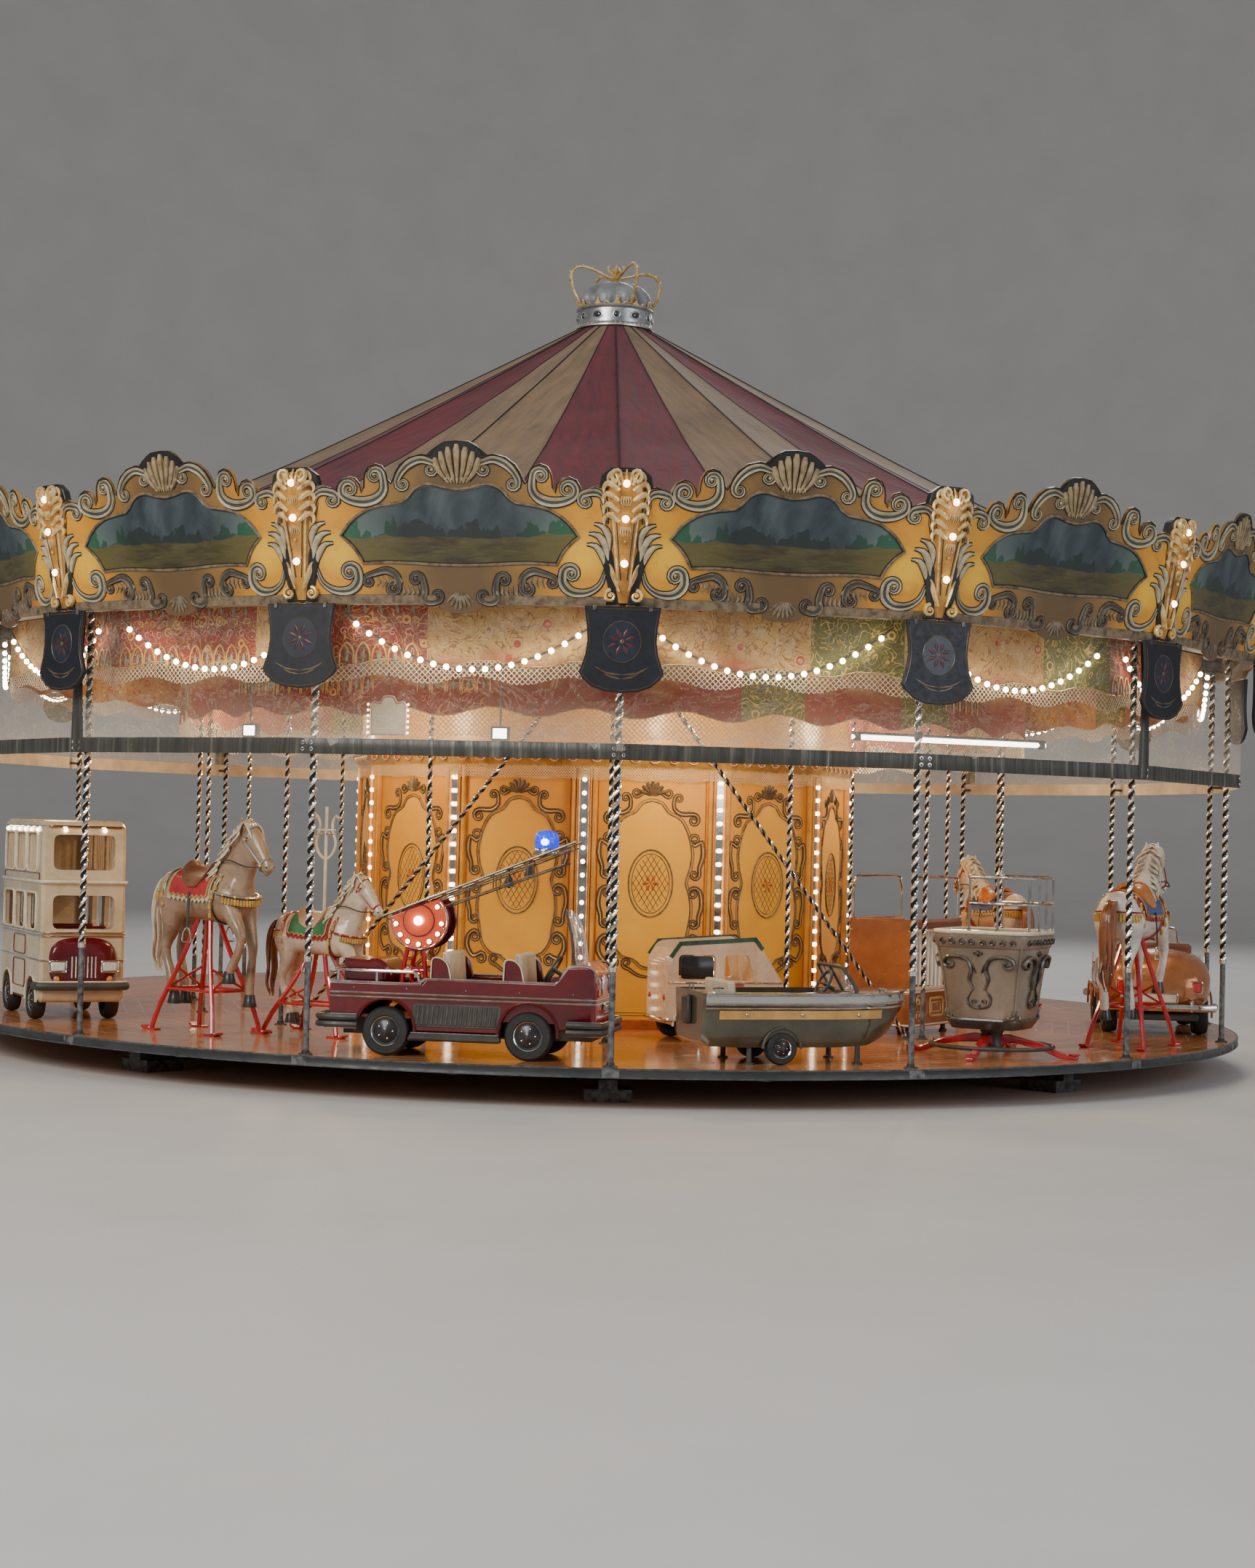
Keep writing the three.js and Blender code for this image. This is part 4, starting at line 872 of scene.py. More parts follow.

# Each edge colour below is mixed in along outer edges: partly wear, partly a painted highlight.
paint = {
    "steel": finish("dark_steel", (0.055, 0.058, 0.062), rough=(0.45, 0.7), metallic=0.6,
        edge=(0.2, 0.19, 0.18)),
    "grey": finish("grey_paint", (0.045, 0.050, 0.052), (0.022, 0.025, 0.027), rough=(0.35, 0.6),
        metallic=0.2, edge=(0.2, 0.2, 0.2)),
    "chrome": finish("bright_metal", (0.92, 0.89, 0.83), (0.62, 0.58, 0.50), 14.0, (0.14, 0.28), 1.0,
        grime=0.25),
    "plated": finish("plated_trim", (0.78, 0.77, 0.74), (0.5, 0.49, 0.46), 9.0, (0.06, 0.2), 1.0,
        grime=0.15),
    "planks": planks(),
    "gilt": finish("gilt_paint", GOLD, (0.33, 0.16, 0.035), 5.0, (0.28, 0.45), 0.35, edge=(0.86, 0.66, 0.30),
        coat=0.2),
    "field": board_field(),
    "scroll": finish("scroll_cream", (0.46, 0.38, 0.22), (0.24, 0.19, 0.11), 9.0, (0.4, 0.6),
        edge=(0.72, 0.63, 0.42)),
    "hollow": finish("scroll_slate", (0.055, 0.068, 0.066), (0.024, 0.030, 0.032), 9.0, (0.4, 0.6)),
    "umber": finish("umber_paint", (0.13, 0.085, 0.045), (0.055, 0.035, 0.022), 7.0, (0.4, 0.6),
        edge=(0.30, 0.23, 0.14)),
    "black": finish("black_line", (0.018, 0.016, 0.015), (0.008, 0.008, 0.008), 9.0, (0.3, 0.5)),
    "shell": finish("shell_tan", (0.27, 0.19, 0.095), (0.12, 0.08, 0.042), 8.0, (0.4, 0.6),
        edge=(0.50, 0.39, 0.22)),
    "picture": painted_picture(),
    "navy": finish("plaque_navy", (0.008, 0.010, 0.018), (0.003, 0.004, 0.007), 6.0, (0.45, 0.62)),
    "dull_blue": finish("plaque_blue", (0.016, 0.022, 0.038), (0.008, 0.012, 0.020), 12.0, (0.35, 0.5),
        coat=0.1),
    "dull_red": finish("plaque_red", (0.085, 0.018, 0.022), (0.04, 0.008, 0.010), 12.0, (0.35, 0.5),
        coat=0.1),
    "dull_gold": finish("plaque_gold", (0.16, 0.12, 0.065), (0.08, 0.055, 0.03), 12.0, (0.35, 0.5), 0.3,
        coat=0.1),
    "canvas_red": canvas("canvas_red", (0.16, 0.014, 0.024), (0.07, 0.008, 0.013)),
    "canvas_tan": canvas("canvas_tan", (0.27, 0.17, 0.09), (0.15, 0.10, 0.06)),
    "seam": finish("canvas_seam", (0.03, 0.03, 0.028), rough=(0.7, 0.9)),
    "clear": clear_sheet(),
    "hem": finish("curtain_hem", (0.07, 0.064, 0.055), (0.032, 0.03, 0.028), 4.0, (0.4, 0.65), grain=300.0),
    "peach": finish("curtain_hem_back", (0.72, 0.62, 0.48), (0.5, 0.42, 0.32), 4.0, (0.5, 0.7), grain=300.0),
    "cloth": flowered("valance_cloth", (0.30, 0.005, 0.005), (0.15, 0.003, 0.003), (0.80, 0.40, 0.07),
        (0.70, 0.33, 0.07)),
    "cloth_gold": flowered("valance_gold", (0.70, 0.44, 0.15), (0.42, 0.21, 0.05), (0.50, 0.04, 0.03),
        (0.30, 0.11, 0.025), (0.29, 0.008, 0.007)),
    "cloth_green": flowered("valance_green", (0.15, 0.16, 0.03), (0.07, 0.08, 0.014), (0.75, 0.50, 0.12),
        (0.68, 0.48, 0.13)),
    "lace": lace("lace_cream", (0.92, 0.76, 0.52), 0.036),
    "lace_small": lace("lace_cornice", (0.95, 0.82, 0.56), 0.022),
    "panel": finish("drum_panels", (0.80, 0.40, 0.035), (0.66, 0.29, 0.022), 1.4, (0.25, 0.45), coat=0.2,
        grime=0.06),
    "rail_orange": finish("drum_rail", (0.52, 0.12, 0.022), (0.32, 0.06, 0.012), 5.0, (0.3, 0.5), coat=0.2),
    "mirror": finish("lamp_mirror", (0.9, 0.86, 0.78), (0.7, 0.64, 0.55), 20.0, (0.02, 0.08), 1.0,
        grime=0.05),
    "silver": finish("crown_silver", (0.52, 0.54, 0.55), (0.27, 0.29, 0.30), 7.0, (0.22, 0.42), 0.75,
        edge=(0.85, 0.85, 0.8)),
    "cap": finish("crown_cap", (0.30, 0.31, 0.33), (0.14, 0.145, 0.16), 5.0, (0.28, 0.45), sheen=0.3),
    "jewel": finish("crown_jewel", (0.03, 0.03, 0.035), (0.012, 0.012, 0.014), 30.0, (0.05, 0.15), coat=1.0),
    "bulb": glow("warm_bulb", (1.0, 0.80, 0.50), 9.0, (1.0, 0.9, 0.7)),
    "swag_bulb": glow("bright_bulb", (1.0, 0.84, 0.60), 19.0, (1.0, 0.92, 0.76)),
    "leaf_gold": finish("leaf_gold", (0.74, 0.46, 0.14), (0.34, 0.16, 0.035), 6.0, (0.26, 0.42), 0.25,
        edge=(0.95, 0.74, 0.38), coat=0.2),
    "tube": glow("white_tube", (1.0, 0.94, 0.84), 9.0, (1.0, 1.0, 1.0)),
    "maroon": finish("engine_maroon", (0.135, 0.004, 0.008), (0.070, 0.002, 0.005), 3.0, (0.14, 0.26),
        coat=0.2),
    "engine_red": finish("engine_red", (0.55, 0.012, 0.022), (0.33, 0.008, 0.014), 3.0, (0.12, 0.26),
        coat=0.8),
    "reel_orange": finish("reel_orange", (0.72, 0.09, 0.025), (0.50, 0.045, 0.014), 4.0, (0.12, 0.26),
        coat=0.8),
    "tyre": finish("tyre_rubber", (0.022, 0.022, 0.023), (0.012, 0.012, 0.012), 12.0, (0.5, 0.75)),
    "hubcap": finish("hubcap", (0.045, 0.045, 0.047), (0.02, 0.02, 0.021), 14.0, (0.25, 0.4), 0.3, coat=0.2),
    "cream_trim": finish("cream_trim", (0.80, 0.70, 0.52), (0.62, 0.52, 0.36), 9.0, (0.25, 0.42), coat=0.3),
    "cream_paint": finish("cream_paint", (0.66, 0.52, 0.33), (0.48, 0.36, 0.21), 3.0, (0.18, 0.32),
        coat=0.6),
    "van_cream": finish("van_cream", (0.78, 0.58, 0.38), (0.62, 0.42, 0.26), 3.0, (0.2, 0.35), coat=0.5),
    "van_green": finish("van_green", (0.03, 0.09, 0.05), (0.015, 0.05, 0.03), 6.0, (0.2, 0.35), coat=0.5),
    "seat_tan": finish("seat_tan", (0.55, 0.33, 0.19), (0.36, 0.20, 0.11), 6.0, (0.35, 0.5), grain=260.0),
    "seat_cream": finish("seat_cream", (0.66, 0.56, 0.42), (0.48, 0.40, 0.30), 6.0, (0.35, 0.5),
        grain=260.0),
    "roll_brown": finish("roll_brown", (0.22, 0.085, 0.04), (0.12, 0.045, 0.022), 7.0, (0.3, 0.48),
        grain=260.0),
    "boat_paint": finish("boat_paint", (0.075, 0.066, 0.038), (0.035, 0.032, 0.02), 3.0, (0.10, 0.22),
        coat=0.8),
    "boat_silver": finish("boat_silver", (0.42, 0.42, 0.39), (0.35, 0.35, 0.33), 2.0, (0.24, 0.34), 0.3,
        coat=0.3, grime=0.1),
    "ochre_band": finish("ochre_band", (0.62, 0.36, 0.10), (0.42, 0.22, 0.05), 5.0, (0.2, 0.36), coat=0.5),
    "copper_paint": finish("copper_paint", (0.50, 0.19, 0.065), (0.33, 0.11, 0.035), 3.0, (0.14, 0.3), 0.4,
        coat=0.5),
    "gold_paint": finish("gold_paint", (0.70, 0.47, 0.18), (0.42, 0.25, 0.08), 8.0, (0.25, 0.4), 0.4,
        coat=0.3),
    "gondola_taupe": finish("gondola_taupe", (0.27, 0.205, 0.145), (0.17, 0.13, 0.092), 2.6, (0.22, 0.38),
        0.15, coat=0.3),
    "gondola_dark": finish("gondola_dark", (0.045, 0.04, 0.036), (0.02, 0.018, 0.016), 12.0, (0.25, 0.4),
        coat=0.3, edge=(0.2, 0.17, 0.12)),
    "white_coat": dappled("white_horse_coat", (0.70, 0.66, 0.60), (0.42, 0.37, 0.32), (0.30, 0.27, 0.25)),
    "brown_coat": dappled("brown_horse_coat", (0.36, 0.24, 0.15), (0.17, 0.10, 0.06), (0.10, 0.06, 0.04)),
    "cream_coat": dappled("cream_horse_coat", (0.68, 0.58, 0.44), (0.42, 0.32, 0.22), (0.35, 0.25, 0.16)),
    "mane_cream": dappled("mane_cream", (0.62, 0.53, 0.38), (0.34, 0.26, 0.16), (0.25, 0.18, 0.1)),
    "tail_brown": dappled("tail_brown", (0.24, 0.085, 0.035), (0.10, 0.035, 0.016), (0.06, 0.02, 0.01)),
    "hoof": finish("hoof_dark", (0.04, 0.035, 0.03), (0.02, 0.018, 0.016), 18.0, (0.25, 0.45), coat=0.3),
    "saddle_orange": finish("saddle_orange", (0.62, 0.20, 0.04), (0.40, 0.11, 0.02), 8.0, (0.2, 0.4),
        coat=0.4),
    "saddle_red": finish("saddle_red", (0.48, 0.03, 0.03), (0.28, 0.015, 0.018), 8.0, (0.25, 0.45),
        coat=0.4),
    "saddle_blue": finish("saddle_blue", (0.04, 0.10, 0.30), (0.02, 0.05, 0.16), 8.0, (0.25, 0.45),
        coat=0.4),
    "saddle_green": finish("saddle_green", (0.05, 0.20, 0.08), (0.025, 0.10, 0.04), 8.0, (0.25, 0.45),
        coat=0.4),
    "saddle_cream": finish("saddle_cream", (0.68, 0.56, 0.36), (0.48, 0.38, 0.22), 8.0, (0.25, 0.45),
        coat=0.4),
    "strap_red": finish("strap_red", (0.45, 0.03, 0.03), (0.25, 0.018, 0.018), 14.0, (0.25, 0.45), coat=0.4),
    "strap_grey": finish("strap_grey", (0.30, 0.31, 0.32), (0.18, 0.18, 0.19), 14.0, (0.25, 0.45), coat=0.4),
    "fringe_ochre": finish("fringe_ochre", (0.60, 0.36, 0.08), (0.36, 0.18, 0.03), 30.0, (0.35, 0.55)),
    "lamp_red": finish("lamp_red", (0.75, 0.02, 0.015), (0.5, 0.01, 0.01), 40.0, (0.06, 0.14), coat=1.0),
    "lamp_orange": finish("lamp_orange", (0.95, 0.28, 0.02), (0.75, 0.16, 0.01), 40.0, (0.06, 0.14),
        coat=1.0),
    "lamp_glass": finish("lamp_glass", (0.85, 0.85, 0.80), (0.6, 0.6, 0.56), 60.0, (0.04, 0.12), 0.3,
        coat=1.0),
    "beacon_blue": glow("beacon_blue", (0.004, 0.03, 0.75), 0.9, (0.008, 0.06, 0.95)),
    "beacon_core": glow("beacon_core", (0.45, 0.65, 1.0), 9.0),
    "dark_glass": finish("dark_glass", (0.02, 0.022, 0.024), (0.01, 0.01, 0.012), 3.0, (0.03, 0.09),
        coat=1.0),
    "screen_glass": clear_plastic("screen_glass", 0.42),
    "screen_rib": clear_plastic("screen_rib", 0.7),
    # Dark paint for the grooves of the twisted poles: painted shade and painted dark reflection.
    "groove": finish("pole_groove_shade_and_reflection", (0.045, 0.042, 0.038), (0.02, 0.019, 0.018), 14.0, (0.2, 0.4), 0.8),
    "carving": finish("carved_umber", (0.145, 0.10, 0.060), (0.055, 0.04, 0.028), 7.0, (0.4, 0.6),
        edge=(0.34, 0.27, 0.17)),
    "amber": finish("bracket_amber", (0.62, 0.30, 0.045), (0.28, 0.10, 0.018), 6.0, (0.25, 0.42), 0.25,
        edge=(0.95, 0.70, 0.25), coat=0.3),
    "gilt_pale": finish("bracket_gilt", (0.88, 0.56, 0.15), (0.62, 0.32, 0.06), 8.0, (0.24, 0.4), 0.3,
        edge=(1.0, 0.82, 0.42), coat=0.3, grime=0.15),
    "gilt_thread": finish("gilt_thread", (0.80, 0.48, 0.10), (0.50, 0.26, 0.05), 40.0, (0.3, 0.45), 0.3),
    "drop_thread": finish("drop_thread", (0.32, 0.36, 0.24), (0.16, 0.20, 0.13), 40.0, (0.4, 0.6)),
    "pink_thread": finish("pink_thread", (0.78, 0.26, 0.20), (0.50, 0.12, 0.10), 40.0, (0.4, 0.6)),
    "ladder_metal": finish("ladder_metal", (0.26, 0.22, 0.15), (0.11, 0.09, 0.065), 12.0, (0.2, 0.38), 0.85),
    "hem_film": hem_film(),
    "panel_light": finish("drum_panel_light", (0.92, 0.52, 0.055), (0.82, 0.41, 0.036), 1.6, (0.28, 0.45),
        grime=0.05),
    "rail_gold": finish("drum_rail_gold", (0.78, 0.43, 0.08), (0.55, 0.25, 0.04), 5.0, (0.3, 0.5), coat=0.2),
    "louvre": finish("louvre_grey", (0.10, 0.088, 0.080), (0.05, 0.045, 0.042), 12.0, (0.35, 0.5), 0.4),
}


# Pieces
def piece(name, parts, replaces=(), body="platform", crease=38.0):
    """One object from (shape, paint name) pairs, riding on a body; a shape's own tones replace its paint."""
    whole = joined([shape for shape, _ in parts])
    mesh = new_mesh(name, whole)
    colours = []
    for shape, colour in parts:
        colours.extend(shape.tones or [colour] * len(shape.faces))
    names = list(dict.fromkeys(colours))
    for colour in names:
        mesh.materials.append(paint[colour])
    numbers = {colour: number for number, colour in enumerate(names)}
    mesh.polygons.foreach_set("material_index", [numbers[colour] for colour in colours])
    layer = mesh.uv_layers.new(name="spread")
    corners = np.zeros(len(mesh.loops), dtype=np.int32)
    mesh.loops.foreach_get("vertex_index", corners)
    layer.data.foreach_set("uv", whole.spread[corners].astype(np.float32).ravel())
    face_outwards(mesh)
    mesh.shade_smooth()
    mesh.set_sharp_from_angle(angle=math.radians(crease))
    obj = new_object(name, mesh)
    if replaces:
        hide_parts(*replaces)
    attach(obj, body)
    return obj


def bulb(centre, size=0.017):
    return ball(centre, size, 7, 4)


# Fixed centre: base frame, mast and hub keep their solids
def dress_node(name, colour):
    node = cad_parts[name]
    node.data.materials.clear()
    node.data.materials.append(paint[colour])


for node_name in ("base_frame", "centre_mast", "top_hub"):
    dress_node(node_name, "steel")


# Deck boards, rim band and its joint plates
def make_deck():
    steps, rings = 12, 8
    grain_step = 2.7
    bottom = DECK_TOP - DECK_THICKNESS
    top, under = [], []
    for bay in range(BAYS):
        middle = (bay + 0.5) * BAY
        rows, spread = [], []
        for i in range(rings + 1):
            r = DECK_INNER + (DECK_OUTER - DECK_INNER) * i / rings
            row = []
            for j in range(steps + 1):
                a = (j / steps - 0.5) * BAY
                row.append(polar(r, middle + a, DECK_TOP))
                spread.append((r * math.sin(a) + bay * grain_step, r * math.cos(a)))
            rows.append(row)
        top.append(skin(rows, spread=np.array(spread)))
        below = np.array(rows) - np.array([0, 0, DECK_THICKNESS])
        under.append(skin(below, spread=np.array(spread)))
    edges = [lathe([(radius, bottom), (radius, DECK_TOP)], RING_STEPS) for radius in (DECK_OUTER, DECK_INNER)]
    joist = block(-0.03, 0.03, -POLE_RING, -2.09, bottom - 0.05, bottom - 0.0002)
    joists = around(joist, BAYS, BAY / 2)
    piece("deck_boards", [(joined(top), "planks"), (joined(under), "planks"), (joined(edges), "planks"),
        (joists, "steel")], ["deck"])


def make_rim():
    low, high = RIM_LOW.z, RIM_HIGH.z
    outer = RIM_RADIUS - 0.001
    inner = 5.0155
    band = lathe([(inner, low), (outer - 0.004, low), (outer, low + 0.004), (outer, low + 0.010),
        (outer - 0.003, low + 0.014), (outer - 0.003, high - 0.014), (outer, high - 0.010),
        (outer, high - 0.003), (outer - 0.003, high), (inner, high), (inner, low)], RING_STEPS)
    plate = block(-0.055, 0.055, -outer - 0.0005, -inner - 0.002, low + 0.006, high - 0.006, 0.002)
    heads = []
    for side in (-0.035, 0.035):
        for z in (low + 0.018, high - 0.018):
            head = lathe([(AXIS, 0.004), (0.007, 0.003), (0.0075, 0.0)], 6)
            heads.append(moved(head, shift(side, -outer + 0.003, z) @ tilt("X", QUARTER)))
    plates = around(plate, BAYS)
    bolts = around(joined(heads), BAYS)
    lip = lathe([(outer - 0.018, high), (outer - 0.018, high + 0.0008), (inner, high + 0.0008)], RING_STEPS)
    piece("rim_band", [(band, "grey"), (plates, "grey"), (bolts, "steel"), (lip, "steel")],
        ["rim_hoop"])


# Poles, sweeps and stays
def make_poles():
    plain_top = 0.86
    foot = lathe([(AXIS, 0), (0.045, 0), (0.045, 0.006), (0.040, 0.010), (0.026, 0.011), (0.023, 0.03)], 20)
    head = lathe([(AXIS, 0.004), (0.006, 0.0035), (0.0065, 0.0)], 6)
    bolts = [moved(head, shift(0.034 * math.cos(a), 0.034 * math.sin(a), 0.0085))
        for a in 0.8 + np.arange(4) * QUARTER]
    floor = DECK_TOP + FLOOR_GAP
    top = SWEEP_BOTTOM - FLOOR_GAP
    plain = rod((0, 0, floor), (0, 0, plain_top), 0.0195, 14)
    collar = lathe([(0.0197, plain_top - 0.02), (0.0265, plain_top - 0.016), (0.027, plain_top + 0.012),
        (0.020, plain_top + 0.02)], 16)
    rope = twisted((0, 0, plain_top), (0, 0, top), POLE_RADIUS * 1.34)
    fixings = joined([moved(shape, shift(0, 0, floor)) for shape in (foot, *bolts)])
    out = shift(0, -POLE_RING, 0)
    for k in range(BAYS):
        turn = about_z(k * BAY) @ out
        piece(f"twisted_pole_{k:02d}", [(moved(rope, turn), "chrome"), (moved(plain, turn), "grey"),
            (moved(collar, turn), "chrome"), (moved(fixings, turn), "steel")],
            [f"outer_pole_{k:02d}"])
    return foot, bolts


def make_sweeps(foot, bolts):
    half = 0.03
    end = 5.030 - half * math.tan(BAY / 2) - 0.0004
    web = block(-0.008, 0.008, -end, -0.6004, SWEEP_BOTTOM + 0.008, SWEEP_BOTTOM + 0.112, 0.001)
    flanges = [block(-half, half, -end, -0.6004, z, z + 0.010, 0.002)
        for z in (SWEEP_BOTTOM, SWEEP_BOTTOM + 0.110)]
    ribs = [block(-0.026, 0.026, -y - 0.004, -y + 0.004, SWEEP_BOTTOM + 0.01, SWEEP_BOTTOM + 0.11, 0.001)
        for y in (0.7, 1.6, 2.4, INNER_RING, 4.1, 4.9)]
    beam = joined([web, *flanges, *ribs])
    floor = DECK_TOP + FLOOR_GAP
    plain_top = 0.62
    rope = twisted((0, -INNER_RING, plain_top), (0, -INNER_RING, SWEEP_BOTTOM), POLE_RADIUS)
    plain = rod((0, -INNER_RING, floor), (0, -INNER_RING, plain_top), 0.0175, 12)
    fixings = joined([moved(shape, shift(0, -INNER_RING, floor)) for shape in (foot, *bolts)])
    for k in range(BAYS):
        turn = about_z(k * BAY)
        parts = [(moved(beam, turn), "steel"), (moved(rope, turn), "chrome"), (moved(plain, turn), "grey"),
            (moved(fixings, turn), "steel")]
        if k in (0, BAYS // 2):
            parts.extend((moved(shape, turn), colour) for shape, colour in stays())
        piece(f"sweep_beam_{k:02d}", parts, [f"sweep_{k:02d}"])


def stays():
    inner = INNER_RING - 0.080
    parts = [(block(-0.07, 0.07, -inner - 0.03, -inner + 0.06, SWEEP_BOTTOM - 0.06, SWEEP_BOTTOM - 0.001),
        "steel")]
    for side in (-1, 1):
        angle = 2 * BAY - 0.03
        reach = INNER_RING - 0.060
        end = Vector((side * reach * math.sin(angle), -reach * math.cos(angle), DECK_TOP + 0.018))
        start = Vector((side * 0.03, -inner + 0.01, SWEEP_BOTTOM - 0.03))
        parts.append((twisted(start, end, POLE_RADIUS * 0.9), "chrome"))
        shoe = lathe([(AXIS, 0), (0.045, 0), (0.043, 0.014), (0.024, 0.019), (0.020, 0.03)], 18)
        parts.append((moved(shoe, shift(end.x, end.y, DECK_TOP + 0.0005)), "steel"))
    return parts


# Rounding boards. On a board's face x runs along it, y up it and z out of it, from the middle of its foot
def board_frame():
    apothem = RAIL_RING * math.cos(BAY / 2) - 0.005
    matrix = Matrix.Identity(4)
    lean = BOARD_LEAN
    columns = [(1, 0, 0), (0, -math.sin(lean), math.cos(lean)), (0, -math.cos(lean), -math.sin(lean))]
    for number, column in enumerate(columns):
        for row in range(3):
            matrix[row][number] = column[row]
    matrix.translation = (0, -apothem, RAIL_BOTTOM)
    return matrix


BOARD_TOP_LINE = [
    (0.985, 0.0), (0.985, 0.52), (0.958, 0.64), (0.915, 0.712), (0.855, 0.728), (0.803, 0.714),
    (0.772, 0.680), (0.758, 0.720), (0.733, 0.762), (0.685, 0.784), (0.640, 0.772), (0.612, 0.735),
    (0.602, 0.695), (0.590, 0.720), (0.588, 0.765), (0.580, 0.806), (0.556, 0.845), (0.513, 0.862),
    (0.470, 0.848), (0.443, 0.805), (0.434, 0.762), (0.418, 0.745), (0.402, 0.775), (0.388, 0.812),
    (0.360, 0.856), (0.300, 0.900), (0.225, 0.920), (0.165, 0.912), (0.150, 0.938), (0.12, 0.97),
    (0.075, 0.994),
]
BOARD_DROP_LINE = [(0.125, -0.022), (0.105, -0.040), (0.06, -0.052)]
LENS_TOP = [(0.745, 0.42), (0.67, 0.515), (0.56, 0.585), (0.44, 0.613), (0.36, 0.625), (0.315, 0.655),
    (0.275, 0.703), (0.215, 0.733), (0.15, 0.735), (0.08, 0.716), (0.0, 0.706)]
LENS_BOTTOM = [(0.745, 0.42), (0.69, 0.375), (0.64, 0.315), (0.605, 0.250)]
LENS_FLOOR = [(0.605, 0.250), (0.45, 0.258), (0.3, 0.254), (0.15, 0.246), (0.0, 0.243)]
FRONT = BOARD_THICKNESS


def both_sides(points):
    points = np.asarray(points, float)
    left = points[::-1].copy()
    left[:, 0] *= -1
    return left


def board_outline():
    right = np.array([(0.0, -0.055), *reversed(BOARD_DROP_LINE), (0.14, 0.0), *BOARD_TOP_LINE, (0.0, 1.0)])
    return np.vstack([right, both_sides(right[1:-1])])


def lens_outline():
    top = smooth_path(LENS_TOP, 0.035)
    side = smooth_path(LENS_BOTTOM, 0.035)
    floor = smooth_path(LENS_FLOOR, 0.06)
    right = np.vstack([floor[::-1][:-1], side[::-1][:-1], top])
    return np.vstack([right, both_sides(right[1:-1])])


def board_scrolls():
    """The scrolls of a board's right half, as smooth paths with their widths."""

    def linked(first, through, last):
        parts = [np.asarray(first)[::-1], np.asarray(through)]
        if last is not None:
            parts.append(np.asarray(last))
        return smooth_path(np.vstack(parts), 0.016)

    upper = [
        (linked(curl((0.166, 0.826), 0.045, QUARTER, 1.3), [(0.225, 0.885), (0.292, 0.862), (0.345, 0.815),
            (0.376, 0.762)], curl((0.341, 0.738), 0.038, 0.2, -1.3)), 0.029),
        (linked(curl((0.514, 0.786), 0.048, math.pi, -1.35), [(0.462, 0.705), (0.502, 0.652), (0.575, 0.628),
            (0.655, 0.634)], curl((0.679, 0.704), 0.056, -0.9, 1.4)), 0.030),
        (linked(curl((0.790, 0.638), 0.044, QUARTER, 1.3), [(0.842, 0.690), (0.888, 0.670), (0.912, 0.600),
            (0.915, 0.50)], None), 0.034),
        (linked(curl((0.692, 0.195), 0.052, math.pi, -1.35), [(0.642, 0.135), (0.695, 0.084), (0.790, 0.082),
            (0.868, 0.132), (0.905, 0.225)], None), 0.036),
    ]
    lower = [
        (linked(curl((0.572, 0.142), 0.036, QUARTER, -1.3), [(0.515, 0.196), (0.455, 0.208), (0.396, 0.172)],
            curl((0.424, 0.104), 0.042, math.pi, 1.3)), 0.027),
        (linked(curl((0.275, 0.155), 0.042, math.pi, -1.3), [(0.222, 0.09), (0.232, 0.036), (0.195, 0.012)],
            curl((0.146, 0.056), 0.038, -QUARTER, -1.2)), 0.028),
    ]
    return upper, lower


def board_leaves():
    """Leaf strokes at the side and along the lower border."""
    strokes = [
        ([(0.905, 0.23), (0.885, 0.31), (0.845, 0.365), (0.790, 0.375)], 0.020),
        ([(0.922, 0.27), (0.905, 0.37), (0.862, 0.428), (0.805, 0.440)], 0.022),
        ([(0.932, 0.34), (0.925, 0.43), (0.890, 0.482), (0.838, 0.500)], 0.020),
    ]
    border = []
    for k in range(5):
        x = 0.52 - 0.035 * k
        border.append(([(x, 0.172), (x - 0.014, 0.142), (x + 0.006, 0.105)], 0.012))
    for k in range(5):
        x = 0.37 - 0.030 * k
        border.append(([(x, 0.045), (x - 0.018, 0.075), (x - 0.010, 0.120)], 0.012))
    return strokes, border


def shell_ribs():
    """A fan of ribs that widen outwards from the shell's root."""
    ribs = []
    root = np.array((0.0, 0.745))
    for k in range(-3, 4):
        angle = QUARTER - k * 0.245
        reach = 0.235 - 0.010 * abs(k)
        end = root + reach * np.array((math.cos(angle), math.sin(angle)))
        start = root + np.array((k * 0.018, 0.0))
        bend = (start + end) / 2 + np.array((k * 0.006, 0.0))
        path = smooth_path([start, bend, end], 0.03)
        widths = np.interp(np.linspace(0, 1, len(path)), [0, 0.15, 0.7, 0.93, 1],
            [0.006, 0.012, 0.023, 0.025, 0.012])
        ribs.append(skin(strip(path, widths, ROUND_TOP, FRONT, 0.022)))
    for k in range(-2, 3):
        foot = smooth_path([(k * 0.030, 0.790), (k * 0.034, 0.765),
            (k * 0.036, 0.748 - 0.006 * (2 - abs(k)))], 0.02)
        ribs.append(ridge(foot, 0.013, FRONT + 0.002, 0.016, 0.03))
    return joined(ribs)


def drop_ribs():
    ribs = []
    for k in range(-3, 4):
        angle = -QUARTER + k * 0.34
        end = np.array((0.0, 0.075)) + 0.115 * np.array((math.cos(angle) * 0.9, math.sin(angle)))
        path = smooth_path([(k * 0.008, 0.075), (end + (k * 0.008, 0.075)) / 2, end], 0.03)
        ribs.append(ridge(path, 0.012, FRONT, 0.010, 0.03))
    return joined(ribs)


def shell_back():
    """The dark ground that shows between the ribs."""
    fan = [(0.256 * math.sin(a), 0.742 + 0.256 * math.cos(a)) for a in np.linspace(0.92, -0.92, 15)]
    return prism([(0.085, 0.752), *fan, (-0.085, 0.752)], FRONT, FRONT + 0.002)


